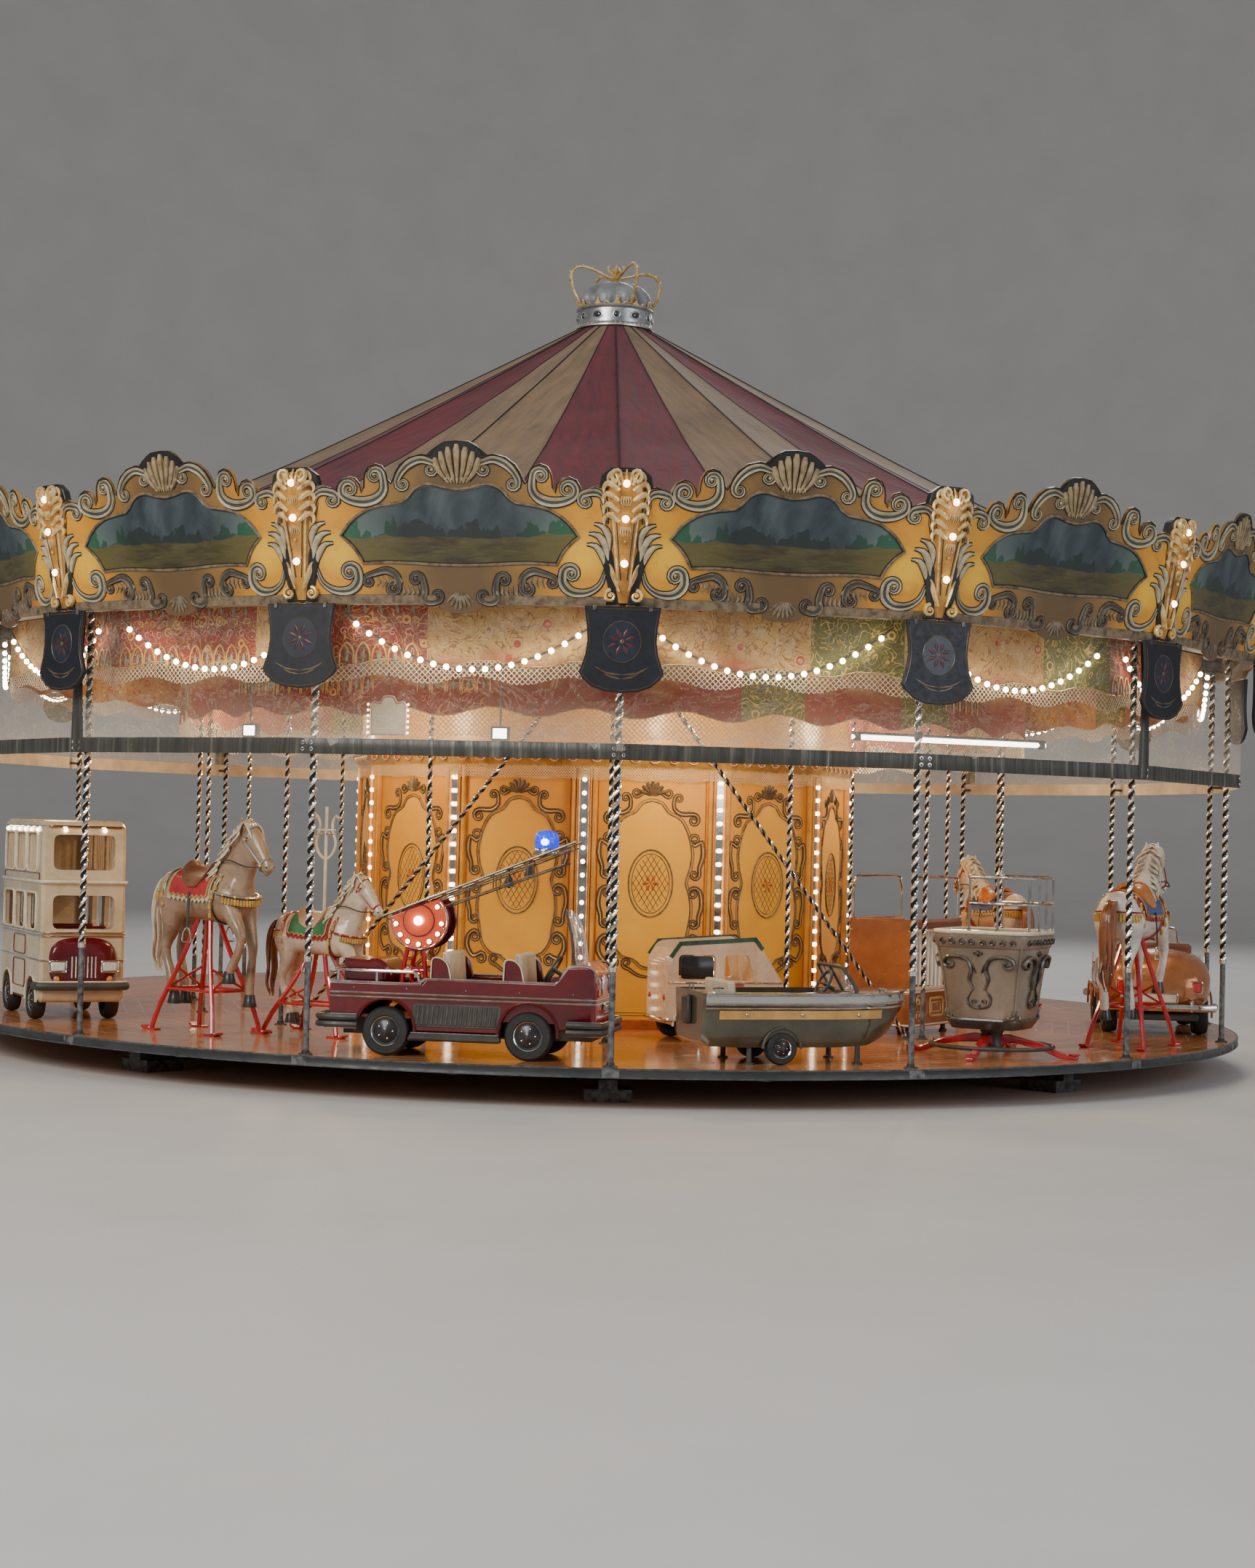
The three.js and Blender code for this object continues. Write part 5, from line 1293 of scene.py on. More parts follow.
def make_boards():
    plate = prism(board_outline(), 0.0, FRONT, 0.003)
    plate.spread = plate.points[:, :2].copy()
    upper, lower = board_scrolls()
    leaves, border = board_leaves()
    bands, carved_bands, lines, umbers, pale = [], [], [], [], []
    for path, width in upper:
        band, line = scroll_band(path, width, FRONT + 0.0005, 0.016)
        bands.append(band)
        lines.append(line)
        pale.append(ball((path[0][0], path[0][1], FRONT + 0.004), 0.010, 10, 6, 0.8))
    for path, width in lower:
        band, line = scroll_band(path, width, FRONT + 0.0005, 0.013, "carving")
        carved_bands.append(band)
        lines.append(line)
        umbers.append(ball((path[0][0], path[0][1], FRONT + 0.004), 0.009, 10, 6, 0.8))
    for points, width in leaves:
        path = smooth_path(points, 0.025)
        pale.append(ridge(path, width, FRONT + 0.001, 0.015, 0.08))
        lines.append(skin(strip(path, taper(path, width, 0.08) + 0.006, FLAT, FRONT + 0.0008, 0.0)))
    for points, width in border:
        umbers.append(ridge(smooth_path(points, 0.03), width, FRONT + 0.001, 0.010, 0.03))

    outline = lens_outline()
    frame_path = laid(outline, 2, FRONT + 0.003)
    moulding = tube(frame_path, 0.0095, 6, closed=True, flat=0.8)
    dark = tube(laid(inset(outline, 0.011), 2, FRONT + 0.0015), 0.0055, 3, True)
    rail_low = skin(strip(np.array([(-0.98, 0.028), (-0.5, 0.03), (-0.15, 0.03)]), np.full(3, 0.030),
        ((-1, 0), (-0.9, 1), (0.9, 1), (1, 0)), FRONT, 0.006))
    edge_path = board_outline()[5:-4]
    rim = laid(inset(edge_path, 0.004), 2, FRONT + 0.0005)
    border_line = tube(rim[1:-1], 0.006, 3)
    board = board_frame()
    spots = inset(outline, 0.006)
    picture = Shape(laid(spots, 2, FRONT + 0.0012), [tuple(range(len(spots)))], spots.copy())

    def ringed(shape):
        return around(moved(shape, board), BAYS, BAY / 2)

    piece("board_plates", [(ringed(plate), "field"), (ringed(picture), "picture"),
        (ringed(doubled([rail_low])), "umber")], ["rounding_boards"])
    piece("board_scrolls", [(ringed(doubled(bands)), "scroll"), (ringed(doubled(pale)), "scroll")])
    piece("board_carving", [(ringed(doubled(carved_bands)), "carving"), (ringed(doubled(umbers)), "carving"),
        (ringed(shell_ribs()), "shell"), (ringed(shell_back()), "black"), (ringed(drop_ribs()), "carving"),
        (ringed(doubled(lines)), "black"), (ringed(moulding), "umber"), (ringed(dark), "black"),
        (ringed(border_line), "black")])
    hoop = lathe([(5.032, RAIL_BOTTOM), (RAIL_RING - 0.004, RAIL_BOTTOM), (RAIL_RING, RAIL_BOTTOM + 0.004),
        (RAIL_RING, 3.2), (5.032, 3.2), (5.032, RAIL_BOTTOM)], BAYS)
    piece("board_rail", [(hoop, "umber")])


# Levels of the bracket's body: height, reach out from the rail, half width and depth
CORBEL_LEVELS = [
    (3.084, 0.012, 0.036, 0.018), (3.13, 0.020, 0.044, 0.024), (3.20, 0.032, 0.056, 0.032),
    (3.27, 0.042, 0.062, 0.038), (3.36, 0.058, 0.072, 0.044), (3.48, 0.080, 0.088, 0.052),
    (3.58, 0.100, 0.104, 0.056), (3.68, 0.120, 0.114, 0.056), (3.78, 0.141, 0.112, 0.048),
    (3.83, 0.151, 0.090, 0.036), (3.858, 0.156, 0.040, 0.018),
]


def on_corbel(x, z, lift=0.003):
    """A point on the bracket's swelling face, at a distance x from its middle."""
    heights, reaches, halves, depths = zip(*CORBEL_LEVELS)
    reach, half, deep = (np.interp(z, heights, row) for row in (reaches, halves, depths))
    swell = math.sqrt(max(0.0, 1 - (x / half) ** 2))
    return x, -(RAIL_RING + reach) - deep * swell - lift, z


# The gilded bracket and hanging plaque at each board joint, at azimuth 0
def corbel():
    rows = []
    for z, reach, half, deep in CORBEL_LEVELS:
        y = -(RAIL_RING + reach)
        ring = []
        for j in range(17):
            angle = math.pi * j / 16
            swell = 1 + 0.08 * math.cos(6 * angle)
            ring.append((half * math.cos(angle), y - deep * math.sin(angle) * swell, z))
        rows.append(ring)
    body = skin(rows)
    leaves, shadows = [], []
    for side in (-1, 1):
        for k in range(5):
            z = 3.832 - 0.062 * k
            _, y, _ = on_corbel(0.0, z, 0.0)
            half = np.interp(z, [level[0] for level in CORBEL_LEVELS], [level[2] for level in CORBEL_LEVELS])
            points = [(side * half * 0.36, y + 0.006, z - 0.026),
                (side * (half - 0.018), y + 0.018, z + 0.016), (side * (half + 0.008), y + 0.028, z + 0.014),
                (side * (half + 0.024), y + 0.026, z - 0.014), (side * (half + 0.022), y + 0.016, z - 0.042)]
            path = smooth_path(points, 0.016)
            widths = np.interp(np.linspace(0, 1, len(path)), [0, 0.3, 0.65, 1], [0.017, 0.030, 0.021, 0.006])
            leaves.append(tube(path, widths, 6, flat=0.7))
        for j in range(3):
            points = [(side * 0.026, 3.150), (side * (0.050 + 0.008 * j), 3.215 + 0.010 * j),
                (side * (0.072 + 0.010 * j), 3.285 + 0.014 * j),
                (side * (0.092 + 0.006 * j), 3.318 - 0.016 * j)]
            path = smooth_path([(x, -(RAIL_RING + 0.062 - 0.008 * j), z) for x, z in points], 0.02)
            widths = np.interp(np.linspace(0, 1, len(path)), [0, 0.5, 0.85, 1], [0.010, 0.019, 0.013, 0.004])
            leaves.append(tube(path, widths, 6, flat=0.6))
        rib = smooth_path([on_corbel(side * x, z) for x, z in ((0.078, 3.62), (0.066, 3.50), (0.052, 3.36),
            (0.042, 3.26), (0.036, 3.16))], 0.03)
        leaves.append(tube(rib, 0.0075, 5))
        line = smooth_path([on_corbel(side * x, z) for x, z in ((0.058, 3.60), (0.046, 3.48), (0.032, 3.34),
            (0.020, 3.22))], 0.03)
        shadows.append(tube(line, 0.0035, 4))
    for k in range(-2, 3):
        _, y, _ = on_corbel(0.0, 3.80, 0.0)
        top = smooth_path([(k * 0.020, y - 0.004, 3.775), (k * 0.030, y - 0.008, 3.825),
            (k * 0.040, y + 0.012, 3.874 - 0.007 * abs(k))], 0.02)
        leaves.append(tube(top, np.linspace(0.015, 0.004, len(top)), 6, flat=0.7))
    for z in (3.50, 3.68):
        for k in range(-2, 3):
            tip = smooth_path([on_corbel(k * 0.012, z + 0.03), on_corbel(k * 0.016, z),
                on_corbel(k * 0.010, z - 0.025)], 0.02)
            leaves.append(tube(tip, np.linspace(0.007, 0.002, len(tip)), 6))
    volutes = []
    for side in (-1, 1):
        spiral = curl((side * 0.078, 0.050), 0.038, QUARTER, -1.35 * side)
        path = np.column_stack([spiral[:, 0], np.full(len(spiral), -(RAIL_RING + 0.040)),
            3.075 + spiral[:, 1]])
        volutes.append(tube(path, np.linspace(0.013, 0.006, len(path)), 7, flat=1.6, up=(0, 1, 0)))
        volutes.append(ball((side * 0.078, -(RAIL_RING + 0.046), 3.125), 0.010, 9, 6))
        lobe = curl((side * 0.056, 3.838), 0.042, -QUARTER, 1.2 * side)
        path = np.column_stack([lobe[:, 0], np.full(len(lobe), -(RAIL_RING + 0.190)), lobe[:, 1]])
        leaves.append(tube(path, np.linspace(0.016, 0.006, len(path)), 6, flat=1.5, up=(0, 1, 0)))
    half = [(0.105, 3.075), (0.090, 3.16), (0.125, 3.30), (0.110, 3.42), (0.128, 3.55), (0.158, 3.66),
        (0.165, 3.76), (0.150, 3.84), (0.09, 3.885)]
    backing = prism(np.vstack([half, both_sides(half)]), 0.0, 0.05, 0.004)
    lean = math.atan2(0.145, 0.78)
    points = backing.points.copy()
    placed = np.column_stack([points[:, 0], -(RAIL_RING + 0.008) - (points[:, 1] - 3.082) * math.tan(lean)
        - points[:, 2] + 0.035, points[:, 1]])
    shadows.append(Shape(placed, backing.faces))
    lamp_heights = (3.315, 3.576, 3.785)
    lamps = [bulb(on_corbel(0.0, z, 0.014), 0.024) for z in lamp_heights]
    socket = lathe([(0.030, 0.0), (0.027, 0.008), (0.020, 0.011)], 16)
    sockets = [moved(socket, shift(*on_corbel(0.0, z, 0.0)) @ tilt("X", QUARTER)) for z in lamp_heights]
    sockets.append(ball(on_corbel(0.0, 3.445, 0.006), 0.011, 10, 6))
    return body, joined(leaves), joined(volutes), joined(shadows), joined(lamps), joined(sockets)


PLAQUE_HALF = [(0.232, 3.062), (0.224, 3.0), (0.214, 2.93), (0.210, 2.85), (0.221, 2.77), (0.243, 2.70),
    (0.258, 2.662), (0.236, 2.625), (0.18, 2.577), (0.10, 2.549), (0.0, 2.54)]


def plaque():
    """A glossy hanging plaque with a thin border line, a rosette and curved strokes near its foot."""
    half = np.array(PLAQUE_HALF)
    outline = np.vstack([half, both_sides(half[:-1])])
    face = 0.0
    plate = prism(outline, -0.024, face, 0.004)
    line = tube(np.column_stack([inset(outline[::-1], 0.014), np.full(len(outline), face + 0.0005)]), 0.002,
        4, True)
    petals, sprays, studs = [], [], []
    centre = np.array((0.0, 2.85))
    for k in range(8):
        angle = TURN * k / 8 + TURN / 16
        step = np.array((math.cos(angle), math.sin(angle)))
        path = smooth_path([centre + step * 0.02, centre + step * 0.055, centre + step * 0.088], 0.02)
        petals.append(ridge(path, 0.016, face, 0.004, 0.04))
    ring_angles = round_steps(28)
    ring_path = np.column_stack([0.115 * np.cos(ring_angles), 2.85 + 0.125 * np.sin(ring_angles),
        np.full(28, face + 0.001)])
    ring_line = tube(ring_path, 0.0028, 4, True)
    disc = prism(ring_path[:, :2], face, face + 0.0008)
    studs.append(ball((0, 2.85, face), 0.016, 10, 6, 0.4))
    for side in (-1, 1):
        for reach, low in ((0.165, 2.650), (0.105, 2.625)):
            stem = smooth_path([(0.0, low), (side * 0.55 * reach, low + 0.010),
                (side * reach, low + 0.30 * reach)], 0.03)
            sprays.append(ridge(stem, 0.006, face, 0.003, 0.03))
    hooks = [block(side * 0.17 - 0.012, side * 0.17 + 0.012, 3.035, 3.069, -0.010, 0.006, 0.002)
        for side in (-1, 1)]
    shapes = [(plate, "navy"), (joined([line, ring_line]), "dull_gold"), (disc, "dull_blue"),
        (joined(petals), "dull_red"), (joined(studs), "dull_gold"), (joined(sprays), "dull_gold"),
        (joined(hooks), "steel")]
    return all_moved(shapes, upright(RAIL_RING + 0.025 + 0.012))


def make_corbels():
    body, leaves, volutes, dark, lamps, sockets = corbel()
    piece("corbels", [(around(body), "amber"), (around(leaves), "leaf_gold"), (around(volutes), "gilt_pale"),
        (around(dark), "black"), (around(sockets), "gilt")])
    piece("corbel_lamps", [(around(lamps), "bulb")])
    piece("plaques", [(around(shape), colour) for shape, colour in plaque()])


# Clear curtain with its hem, in four lengths
def curtain_point(angle, z):
    """A point on the sheet, which runs straight from pole to pole."""
    apothem = CURTAIN_RING * math.cos(BAY / 2) - 0.001
    return polar(apothem / math.cos(in_bay(angle)), angle, z)


def make_curtain():
    quarter_bays = BAYS // 4
    steps = 14
    top = RAIL_BOTTOM - 0.0005
    side = 2 * CURTAIN_RING * math.sin(BAY / 2)
    for q in range(4):
        first = q * quarter_bays + CURTAIN_FIRST_BAY
        rows, spread = [], []
        levels = np.linspace(CURTAIN_BOTTOM + HEM_HEIGHT * 0.5, top, 14)
        for z in levels:
            row = []
            for j in range(quarter_bays * steps + 1):
                x, y, _ = curtain_point((first + j / steps) * BAY, z)
                slack = 0.004 * math.sin(j * 0.9 + z * 7) * math.sin(math.pi * (j % steps) / steps)
                pull = 1 - abs(slack) / CURTAIN_RING
                row.append((x * pull, y * pull, z))
                spread.append(((first + j / steps) * side, z))
            rows.append(row)
        sheet = piece(f"curtain_sheet_{q}", [(skin(rows, spread=np.array(spread)), "clear")],
            ["weather_curtain"], crease=60)
        trims = [hem_band(q, first, quarter_bays), curtain_strap(q, first)]


def curtain_strap(q, first):
    """The dark folded band that joins two sheets, from the rail down to the hem."""
    rows, spread = [], []
    half = 0.068
    columns = 17
    middle = first * BAY
    for z in np.linspace(CURTAIN_BOTTOM + 0.02, RAIL_BOTTOM - 0.001, 24):
        row = []
        narrow = 1 - 0.22 * math.sin((z - CURTAIN_BOTTOM) * 3.1) ** 2
        for share in np.linspace(-1, 1, columns):
            angle = middle + share * half * narrow / CURTAIN_RING
            x, y, _ = curtain_point(angle, z)
            fold = 0.0045 * math.sin(share * 7.5 + z * 1.8) + 0.002 * math.sin(share * 15 - z * 5)
            grow = 1 + (0.0035 + fold * 0.5) / CURTAIN_RING
            row.append((x * grow, y * grow, z))
            spread.append((share * half, z))
        rows.append(row)
    return piece(f"curtain_strap_{q}", [(skin(rows, spread=np.array(spread)), "hem_film")],
        crease=60)


def hem_band(q, first, bays):
    """The dark band at the foot of one length, with its pale back."""
    outer, inner, spread = [], [], []
    steps = 40
    shrink = 1 - 0.004 / CURTAIN_RING
    for rise, out in ((0.0, -0.002), (0.004, 0.0005), (0.05, 0.001), (0.096, 0.0005), (HEM_HEIGHT, -0.002)):
        z = CURTAIN_BOTTOM + rise
        row_out, row_in = [], []
        for j in range(bays * steps + 1):
            angle = (first + j / steps) * BAY
            x, y, _ = curtain_point(angle, z)
            dip = 0.0010 * math.sin(j * 1.7) + 0.0012 * math.sin(j * 0.37 + z * 9) ** 3
            grow = 1 + (out + dip) / CURTAIN_RING
            row_out.append((x * grow, y * grow, z))
            row_in.append((x * shrink, y * shrink, z))
            spread.append((angle * CURTAIN_RING, z))
        outer.append(row_out)
        inner.append(row_in)
    spread = np.array(spread)
    return piece(f"curtain_hem_{q}", [(skin(outer, spread=spread), "hem_film"),
        (skin(inner, spread=spread), "peach")])


def make_curtain_fixings():
    eyelet = lathe([(0.006, 0.0), (0.009, 0.002), (0.013, 0.0015), (0.014, 0.0)], 12)
    parts = []
    for z in (CURTAIN_BOTTOM + 0.03, CURTAIN_BOTTOM + 0.07):
        for x in (-0.03, 0.03):
            parts.append(moved(eyelet, shift(x, -CURTAIN_RING + 0.004, z) @ tilt("X", QUARTER)))
    strap = block(-0.012, 0.012, -CURTAIN_RING - 0.001, -POLE_RING - 0.021, CURTAIN_BOTTOM + 0.035,
        CURTAIN_BOTTOM + 0.055, 0.002)
    piece("curtain_fixings", [(around(joined(parts)), "plated"), (around(strap), "hem")])


# Cloth valances with lace edges; the paints of each bay's three panels repeat after eight bays
CLOTH_BAYS = [("cloth_gold", "cloth_gold", "cloth_green"), ("cloth_gold", "cloth_gold", "cloth_green"),
    ("cloth", "cloth_gold", "cloth_gold"), ("cloth_gold", "cloth_gold", "cloth_gold"),
    ("cloth_gold", "cloth_gold", "cloth_green"), ("cloth_gold", "cloth_gold", "cloth"),
    ("cloth", "cloth", "cloth_gold"), ("cloth", "cloth_gold", "cloth_gold")]


def valance_rows(ring, top, bottom_of, folds, steps, levels):
    """Rows of points and their places on the cloth, for a ring hung from pole to pole."""
    rows, spread = [], []
    side = 2 * ring * math.sin(BAY / 2)
    count = BAYS * steps
    for level in range(levels + 1):
        row = []
        for j in range(count + 1):
            angle = BAY * j / steps
            share = level / levels
            distance = straight(ring, angle) + 0.004
            distance += 0.0035 * math.sin(angle * folds) * (1 - share)
            z = bottom_of(j / steps) + (top - bottom_of(j / steps)) * share
            row.append(polar(distance, angle, z))
            spread.append((side * j / steps, z))
        rows.append(row)
    return rows, np.array(spread), side * BAYS


def make_valance(name, node, ring, top, low, high, lace_depth, scallops, cloth):
    """A ring of cloth in panels of the given paints, with a scalloped lace edge and a braid."""
    steps = 24
    panels = len(cloth[0])

    def lace_bottom(bays):
        return low + (high - low) * (0.5 - 0.5 * math.cos(TURN * bays * scallops)) * 0.55

    def cloth_bottom(bays):
        return lace_bottom(bays) + lace_depth * (0.80 + 0.16 * math.cos(TURN * bays * scallops + 1.1))

    rows, spread, length = valance_rows(ring, top, cloth_bottom, 130, steps, 8)
    rows = np.array(rows)
    width = rows.shape[1]
    parts = []
    for number in range(BAYS * panels):
        bay, panel = divmod(number, panels)
        columns = slice(number * steps // panels, (number + 1) * steps // panels + 1)
        own = spread.reshape(9, width, 2)[:, columns].reshape(-1, 2)
        parts.append((skin(rows[:, columns], spread=own), cloth[bay % len(cloth)][panel]))
    drop, _, _ = valance_rows(ring - 0.002, top, lace_bottom, 130, steps, 8)
    drop = np.array(drop)
    edge = drop.copy()
    for j in range(width):
        bays = j / steps
        share = (cloth_bottom(bays) + 0.012 - lace_bottom(bays)) / (top - lace_bottom(bays))
        for level in range(3):
            edge[level, j] = drop[0, j] + (drop[-1, j] - drop[0, j]) * share * level / 2
    edge = edge[:3]
    flat = np.column_stack([np.tile(np.linspace(0, length, width), 3), edge.reshape(-1, 3)[:, 2]])
    trim = piece(f"{name}_lace", [(skin(edge, spread=flat), "lace")], crease=60)
    braid_path = rows[0] + np.array([0, 0, 0.002])
    cord = piece(f"{name}_braid", [(tube(braid_path[::2], 0.0045, 5), "gilt")])
    made = piece(name, parts, [node], crease=60)


def make_notice():
    """A blank hanging panel with a shaped top and small bulbs down both edges."""
    half = [(0.125, -0.13), (0.125, 0.07), (0.100, 0.095), (0.062, 0.085), (0.035, 0.125), (0.0, 0.130)]
    outline = np.vstack([half, both_sides(half[:-1])])
    board = prism(outline, -0.010, 0.0, 0.003)
    border = tube(laid(inset(outline, 0.010), 2, 0.001), 0.003, 4, True)
    bulbs = [bulb((side * 0.137, -0.11 + 0.036 * k, 0.004), 0.009) for side in (-1, 1) for k in range(6)]
    hanger = rod((0.0, 0.128, -0.004), (0.0, 0.70, -0.004), 0.003, 5)
    place = about_z(math.radians(-18.6)) @ upright(4.560, 2.405)
    piece("blank_notice", all_moved([(board, "cream_trim"), (border, "strap_red"), (joined(bulbs), "bulb"),
        (hanger, "hem")], place))


# Lamp swags under the boards, one in each bay
def make_swags():
    parts_bar, parts_lamp = [], []
    ring = 4.70
    for k in range(BAYS):
        middle = (k + 0.5) * BAY
        path = []
        for i in range(21):
            share = i / 20
            angle = middle + (share - 0.5) * BAY * 0.90
            z = 2.700 + 0.340 * (2 * share - 1) ** 2
            path.append(polar(straight(ring, angle) + 0.085, angle, z))
            if 0 < i < 20:
                parts_lamp.append(bulb((path[-1][0] * 1.004, path[-1][1] * 1.004, z - 0.006), 0.020))
        parts_bar.append(tube(path, 0.007, 5))
        for end in (path[0], path[-1]):
            parts_bar.append(rod(end, (end[0], end[1], SWEEP_BOTTOM - 0.002), 0.003, 5))
    piece("lamp_swags", [(joined(parts_bar), "hem"), (joined(parts_lamp), "swag_bulb")])


def make_floodlights():
    """Small box lamps on the beams and a bright tube clamped to one pole."""
    boxes, faces = [], []
    ring, z = 4.60, 2.30
    for degrees in (-31, -9.2):
        turn = about_z(math.radians(degrees))
        case = joined([block(-0.06, 0.06, -ring - 0.015, -ring + 0.03, z - 0.045, z + 0.045, 0.006),
            rod((0, -ring, z + 0.04), (0, -ring, SWEEP_BOTTOM - 0.002), 0.006, 6)])
        boxes.append(moved(case, turn))
        faces.append(moved(block(-0.045, 0.045, -ring - 0.017, -ring - 0.010, z - 0.032, z + 0.032, 0.003),
            turn))
    first, last = math.radians(17.5), math.radians(35)
    ring = 4.89
    start, end = (Vector(polar(ring, angle, 2.335)) for angle in (first, last))
    faces.append(rod(start, end, 0.017, 12))
    boxes.append(rod(start + Vector((0, 0, 0.022)), end + Vector((0, 0, 0.022)), 0.012, 6))
    for share in (0.02, 0.98):
        spot = start.lerp(end, share)
        boxes.append(block(spot.x - 0.025, spot.x + 0.025, spot.y - 0.025, spot.y + 0.025, spot.z - 0.025,
            spot.z + 0.03, 0.006))
    pole = Vector(polar(POLE_RING, BAY, 2.357))
    spot = start.lerp(end, 0.27) + Vector((0, 0, 0.022))
    boxes.append(rod(spot, pole, 0.008, 6))
    boxes.append(lathe_ring(pole, 0.027, 0.02))
    piece("work_lamps", [(joined(boxes), "hem"), (joined(faces), "tube")])


def lathe_ring(centre, radius, height):
    band = lathe([(radius - 0.004, -height), (radius, -height), (radius, height), (radius - 0.004, height),
        (radius - 0.004, -height)], 14)
    return moved(band, shift(*centre))


# Canvas roof: one sheet over sixteen rafters, sagging between them
def roof_height(radius):
    """Height of the canvas at the rafters."""
    return float(np.interp(radius, [0.30, 1.40, 2.56, 3.80, 4.98], [5.755, 5.145, 4.520, 3.898, 3.318]))


def roof_point(radius, angle):
    share = 1 - (2 * in_bay(angle) / BAY) ** 2
    run = (radius - 0.30) / 4.68
    sag = 0.034 * share * math.sin(math.pi * run * 1.1) if run * 1.1 < 1 else 0.0
    lift = 0.012 * math.sin(radius * 9 + angle * 3) * share * run * (1 - run)
    return polar(straight(radius, angle), angle, roof_height(radius) - sag + lift)


def make_roof():
    steps, rings = 16, 40
    parts = []
    radii = np.linspace(0.30, 4.975, rings + 1)
    heights = [roof_height(r) for r in radii]
    slope = np.concatenate([[0], np.cumsum(np.hypot(np.diff(radii), np.diff(heights)))])
    for k in range(BAYS):
        rows, spread = [], []
        for r, s in zip(radii, slope):
            row = []
            for j in range(steps + 1):
                angle = (k - 0.5 + j / steps) * BAY
                row.append(roof_point(r, angle))
                spread.append((r * (j / steps - 0.5) * BAY + k * 3.1, s))
            rows.append(row)
        parts.append((skin(rows, spread=np.array(spread)), "canvas_red" if k % 2 == 0 else "canvas_tan"))
    seams = []
    for k in range(BAYS):
        for shift_bays, lift, thick in ((0.0, 0.004, 0.0055), (0.5, 0.003, 0.0035)):
            angle = (k + shift_bays) * BAY
            path = []
            for r in radii[::2]:
                x, y, z = roof_point(r, angle)
                path.append((x, y, z + lift))
            seams.append(tube(path, thick, 5, flat=0.7))
    cords = piece("roof_seams", [(joined(seams), "seam")])
    rope = []
    for j in range(BAYS * 8):
        angle = BAY * j / 8
        x, y, z = roof_point(4.972, angle)
        rope.append((x, y, z - 0.004))
    edge = piece("roof_hem", [(tube(rope, 0.010, 6, closed=True), "canvas_red")])
    rafters = []
    for k in range(BAYS):
        path = [(0, -r, roof_height(r) - 0.036) for r in (0.35, 1.4, 2.56, 3.8, 4.94)]
        rafters.append(moved(tube(path, 0.024, 6), about_z(k * BAY)))
        rafters.append(moved(rod((0, -4.9, roof_height(4.9) - 0.04), (0, -4.9, 3.241), 0.018, 6),
            about_z(k * BAY)))
    poles = piece("roof_rafters", [(joined(rafters), "steel")])
    canopy = piece("roof_canvas", parts, ["roof_canopy"], crease=60)


def make_applique(name, ring, low, panels):
    """Arches, tear-drops and small curls sewn on the cloth, in the given panels of each bay."""
    side = 2 * ring * math.sin(BAY / 2)
    strokes = []
    for centre in (-0.21, -0.105, 0.0, 0.105, 0.21):
        arch = smooth_path([(centre - 0.045, low + 0.06), (centre - 0.042, low + 0.16),
            (centre, low + 0.215), (centre + 0.042, low + 0.16), (centre + 0.045, low + 0.06)], 0.03)
        strokes.append((arch, 0.0065, "gilt_thread"))
        strokes.append((smooth_path([(centre, low + 0.16), (centre, low + 0.09)], 0.02), 0.015,
            "drop_thread"))
        strokes.append((curl((centre - 0.02, low + 0.285), 0.030, 0.0, 1.2), 0.005, "pink_thread"))
        strokes.append((curl((centre + 0.025, low + 0.36), 0.026, math.pi, -1.2), 0.005, "gilt_thread"))
        strokes.append((smooth_path([(centre, low + 0.46), (centre + 0.012, low + 0.40)], 0.02), 0.013,
            "drop_thread"))
    parts = {}
    for path, width, colour in strokes:
        flat = ridge(path, width, 0.0, 0.004, 0.03)
        for bay, panel, count in panels:
            middle = (panel + 0.5) / count
            across = middle * side + flat.points[:, 0]
            bays = bay + across / side
            angle = BAY * bays
            distance = ring * math.cos(BAY / 2) / np.cos(in_bay(angle)) + 0.0085 + flat.points[:, 2]
            points = np.column_stack([distance * np.sin(angle), -distance * np.cos(angle), flat.points[:, 1]])
            parts.setdefault(colour, []).append(Shape(points, flat.faces))
    piece(name, [(joined(shapes), colour) for colour, shapes in parts.items()])


